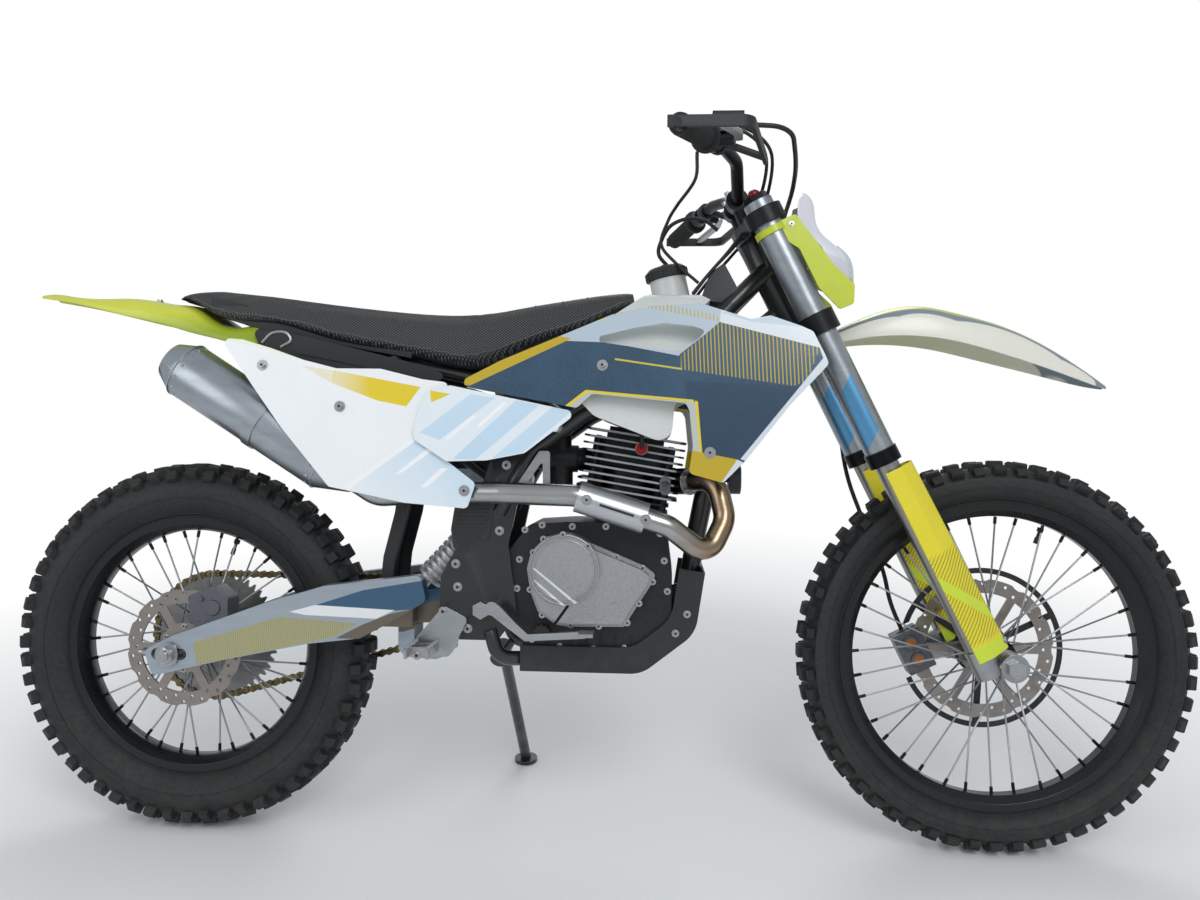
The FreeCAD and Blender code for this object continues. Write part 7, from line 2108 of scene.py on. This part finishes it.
    def reservoir_lid(self) -> None:
        """The brake fluid reservoir's lid with two screws."""
        maker = Maker(self.stock)
        maker.block(Vector(self.lid_centre), self.lid_size)
        low, high = self.screw_reach
        for x in self.lid_screws:
            maker.rod(Vector((x, self.lid_centre[1], low)), Vector((x, self.lid_centre[1], high)), 3.2, 16)
        maker.finish("reservoir_lid", "black_alloy", "steering", bevel=0.8)

    def cables(self) -> None:
        """Cables between the steered bar and the frame, each baked in place on no body."""
        for name, points in CABLE_ROUTES.items():
            maker = Maker(self.stock)
            breather = name == "breather_hose"
            maker.tube(smooth(points, 10), 3.6 if breather else 3.0, 12)
            made = maker.finish(name, "hose", None, angle=60.0)
            if breather:
                self.stock.place.row(points[0])
                self.stock.place.row(points[-1])
                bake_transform(made)
            else:
                self.stock.place.row(points[2])
                self.stock.place.row(points[-2])
                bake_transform(made)


@dataclass
class SocketShades:
    """Painted shade: a dark six-sided disc on every bolt head stands for the shade inside its socket."""

    stock: Stock

    def build(self) -> None:
        """One piece on each body that has bolts."""
        for body, places in list(self.stock.socket_shades.items()):
            if not places:
                continue
            maker = Maker(self.stock)
            for top, outward, radius in places:
                # A thin dark disc just proud of the head: painted shade in place of the socket's hollow.
                maker.rod(top - outward * 0.4, top + outward * 0.15, radius, 6)
            maker.finish(body + "_bolt_socket_shade", "undercover", body)


@dataclass(frozen=True)
class Lamp:
    """One soft round lamp, by its place, width and power."""

    name: str
    place: Point
    size: float
    power: float


@dataclass(frozen=True)
class Studio:
    """The floor, the lights, the background and the camera of the photograph."""

    place: MachinePlace
    floor_half: float = 14.0
    fade: Pair = (1.1, 2.2)
    aim: Point = (0.0, 0.0, 0.5)
    lamps: tuple[Lamp, ...] = (
        Lamp("Key", (1.2, -3.2, 3.4), 2.2, 58.0),
        Lamp("Fill", (-2.6, -2.2, 2.0), 2.2, 16.0),
        Lamp("Back", (0.4, 3.2, 2.8), 2.4, 34.0),
    )
    sky: float = 0.56
    sensor: float = 36.0
    lens: float = 30.02
    yaw: float = -0.066
    pitch: float = 0.171
    eye: Point = (0.8834, -1.7096, 1.0256)

    def floor(self) -> None:
        """A wide pale floor that fades into the white background."""
        mesh = bmesh.new()
        bmesh.ops.create_grid(mesh, x_segments=1, y_segments=1, size=self.floor_half)
        data = bpy.data.meshes.new("floor")
        mesh.to_mesh(data)
        mesh.free()
        floor = bpy.data.objects.new("floor", data)
        bpy.context.scene.collection.objects.link(floor)
        material = bpy.data.materials.new("Floor")
        material.use_nodes = True
        graph = Graph(material.node_tree, self.place)
        shader = graph.node("ShaderNodeBsdfDiffuse", {"Color": (0.86, 0.86, 0.86, 1.0)}).outputs[0]
        white = graph.node("ShaderNodeEmission").outputs[0]
        reach = graph.node("ShaderNodeVectorMath", {0: graph.object_place()}, operation="LENGTH")
        far = graph.ramp(reach.outputs["Value"], *self.fade)
        seen = graph.math("MULTIPLY", far, graph.node("ShaderNodeLightPath").outputs["Is Camera Ray"])
        mixed = graph.node("ShaderNodeMixShader", {0: seen, 1: shader, 2: white})
        graph.node("ShaderNodeOutputMaterial", {"Surface": mixed.outputs[0]})
        data.materials.append(material)

    def light(self, lamp: Lamp) -> None:
        """Hangs one lamp, aimed at the machine's middle.

        Args:
            lamp: What to hang.
        """
        data = bpy.data.lights.new(lamp.name, "AREA")
        data.shape = "DISK"
        data.size = lamp.size
        data.energy = lamp.power
        made = bpy.data.objects.new(lamp.name, data)
        made.location = lamp.place
        made.rotation_euler = (Vector(self.aim) - Vector(lamp.place)).to_track_quat("-Z", "Y").to_euler()
        bpy.context.scene.collection.objects.link(made)

    def world(self) -> None:
        """A white background that lights the scene a little less than it shows."""
        world = bpy.data.worlds.new("Studio")
        bpy.context.scene.world = world
        world.use_nodes = True
        graph = Graph(world.node_tree, self.place)
        path = graph.node("ShaderNodeLightPath")
        seen = graph.math("MAXIMUM", path.outputs["Is Camera Ray"], path.outputs["Is Transmission Ray"])
        dim = graph.node("ShaderNodeBackground", {"Color": (0.90, 0.95, 1.0, 1.0), "Strength": self.sky})
        white = graph.node("ShaderNodeBackground", {"Color": (1.0, 1.0, 1.0, 1.0), "Strength": 1.0})
        mixed = graph.node("ShaderNodeMixShader", {0: seen, 1: dim.outputs[0], 2: white.outputs[0]})
        graph.node("ShaderNodeOutputWorld", {"Surface": mixed.outputs[0]})

    def camera(self) -> None:
        """The photograph's view: its place, direction and lens."""
        level = math.cos(self.pitch)
        forward = Vector((math.sin(self.yaw) * level, math.cos(self.yaw) * level, -math.sin(self.pitch)))
        right = Vector((math.cos(self.yaw), -math.sin(self.yaw), 0.0))
        up = right.cross(forward)
        data = bpy.data.cameras.new("Photo")
        data.sensor_width = self.sensor
        data.lens = self.lens
        camera = bpy.data.objects.new("Photo", data)
        turn = Matrix((right, up, -forward)).transposed().to_4x4()
        camera.matrix_world = Matrix.Translation(Vector(self.eye) + self.place.shift) @ turn
        bpy.context.scene.collection.objects.link(camera)
        bpy.context.scene.camera = camera

    def build(self) -> None:
        """The whole set."""
        self.floor()
        for lamp in self.lamps:
            self.light(lamp)
        self.world()
        self.camera()
        bpy.context.scene.view_settings.view_transform = "Standard"


def wheels(stock: Stock) -> tuple[Wheel, Wheel]:
    """Both wheels with their sizes.

    Args:
        stock: The shared materials and frame.

    Returns:
        The front and the rear wheel.
    """
    front = Wheel(
        stock,
        name="front_wheel",
        axle=Vector((WHEELBASE, 0.0, FRONT_AXLE_Z)),
        radius=352.0,
        rim=278.0,
        half=43.0,
        rim_half=24.0,
        crown=20.0,
        shoulder=38.0,
        drop=14.0,
        rows=56,
        knob=12.0,
        hub_finish="front_hub",
        extra={"front_disc": "disc"},
        circles=(("front_disc", Side.LEFT, 40.0, 6, 4.0),),
    )
    rear = Wheel(
        stock,
        name="rear_wheel",
        axle=Vector((0.0, 0.0, REAR_AXLE_Z)),
        radius=340.0,
        rim=240.0,
        half=54.0,
        rim_half=31.0,
        crown=26.0,
        shoulder=49.0,
        drop=16.0,
        rows=56,
        knob=14.0,
        hub_finish="rear_hub",
        extra={"rear_disc": "disc", "rear_sprocket": "sprocket"},
        circles=(("rear_disc", Side.RIGHT, 40.0, 6, 4.0), ("rear_sprocket", Side.LEFT, 62.0, 6, 5.0)),
    )
    return front, rear


def main() -> None:
    """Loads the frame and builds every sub-assembly in order."""
    logging.basicConfig(level=logging.INFO, format="%(name)s %(message)s")
    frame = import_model()
    place = MachinePlace.from_frame()
    stock = Stock(frame, place)
    builders = [
        Frame(stock),
        Engine(stock),
        Exhaust(stock),
        Bodywork(stock),
        Steering(stock),
        Chain(stock),
        *wheels(stock),
        SocketShades(stock),
    ]
    for builder in builders:
        LOG.info("building %s", type(builder).__name__)
        builder.build()
    Studio(place).build()


if __name__ == "__main__":
    main()
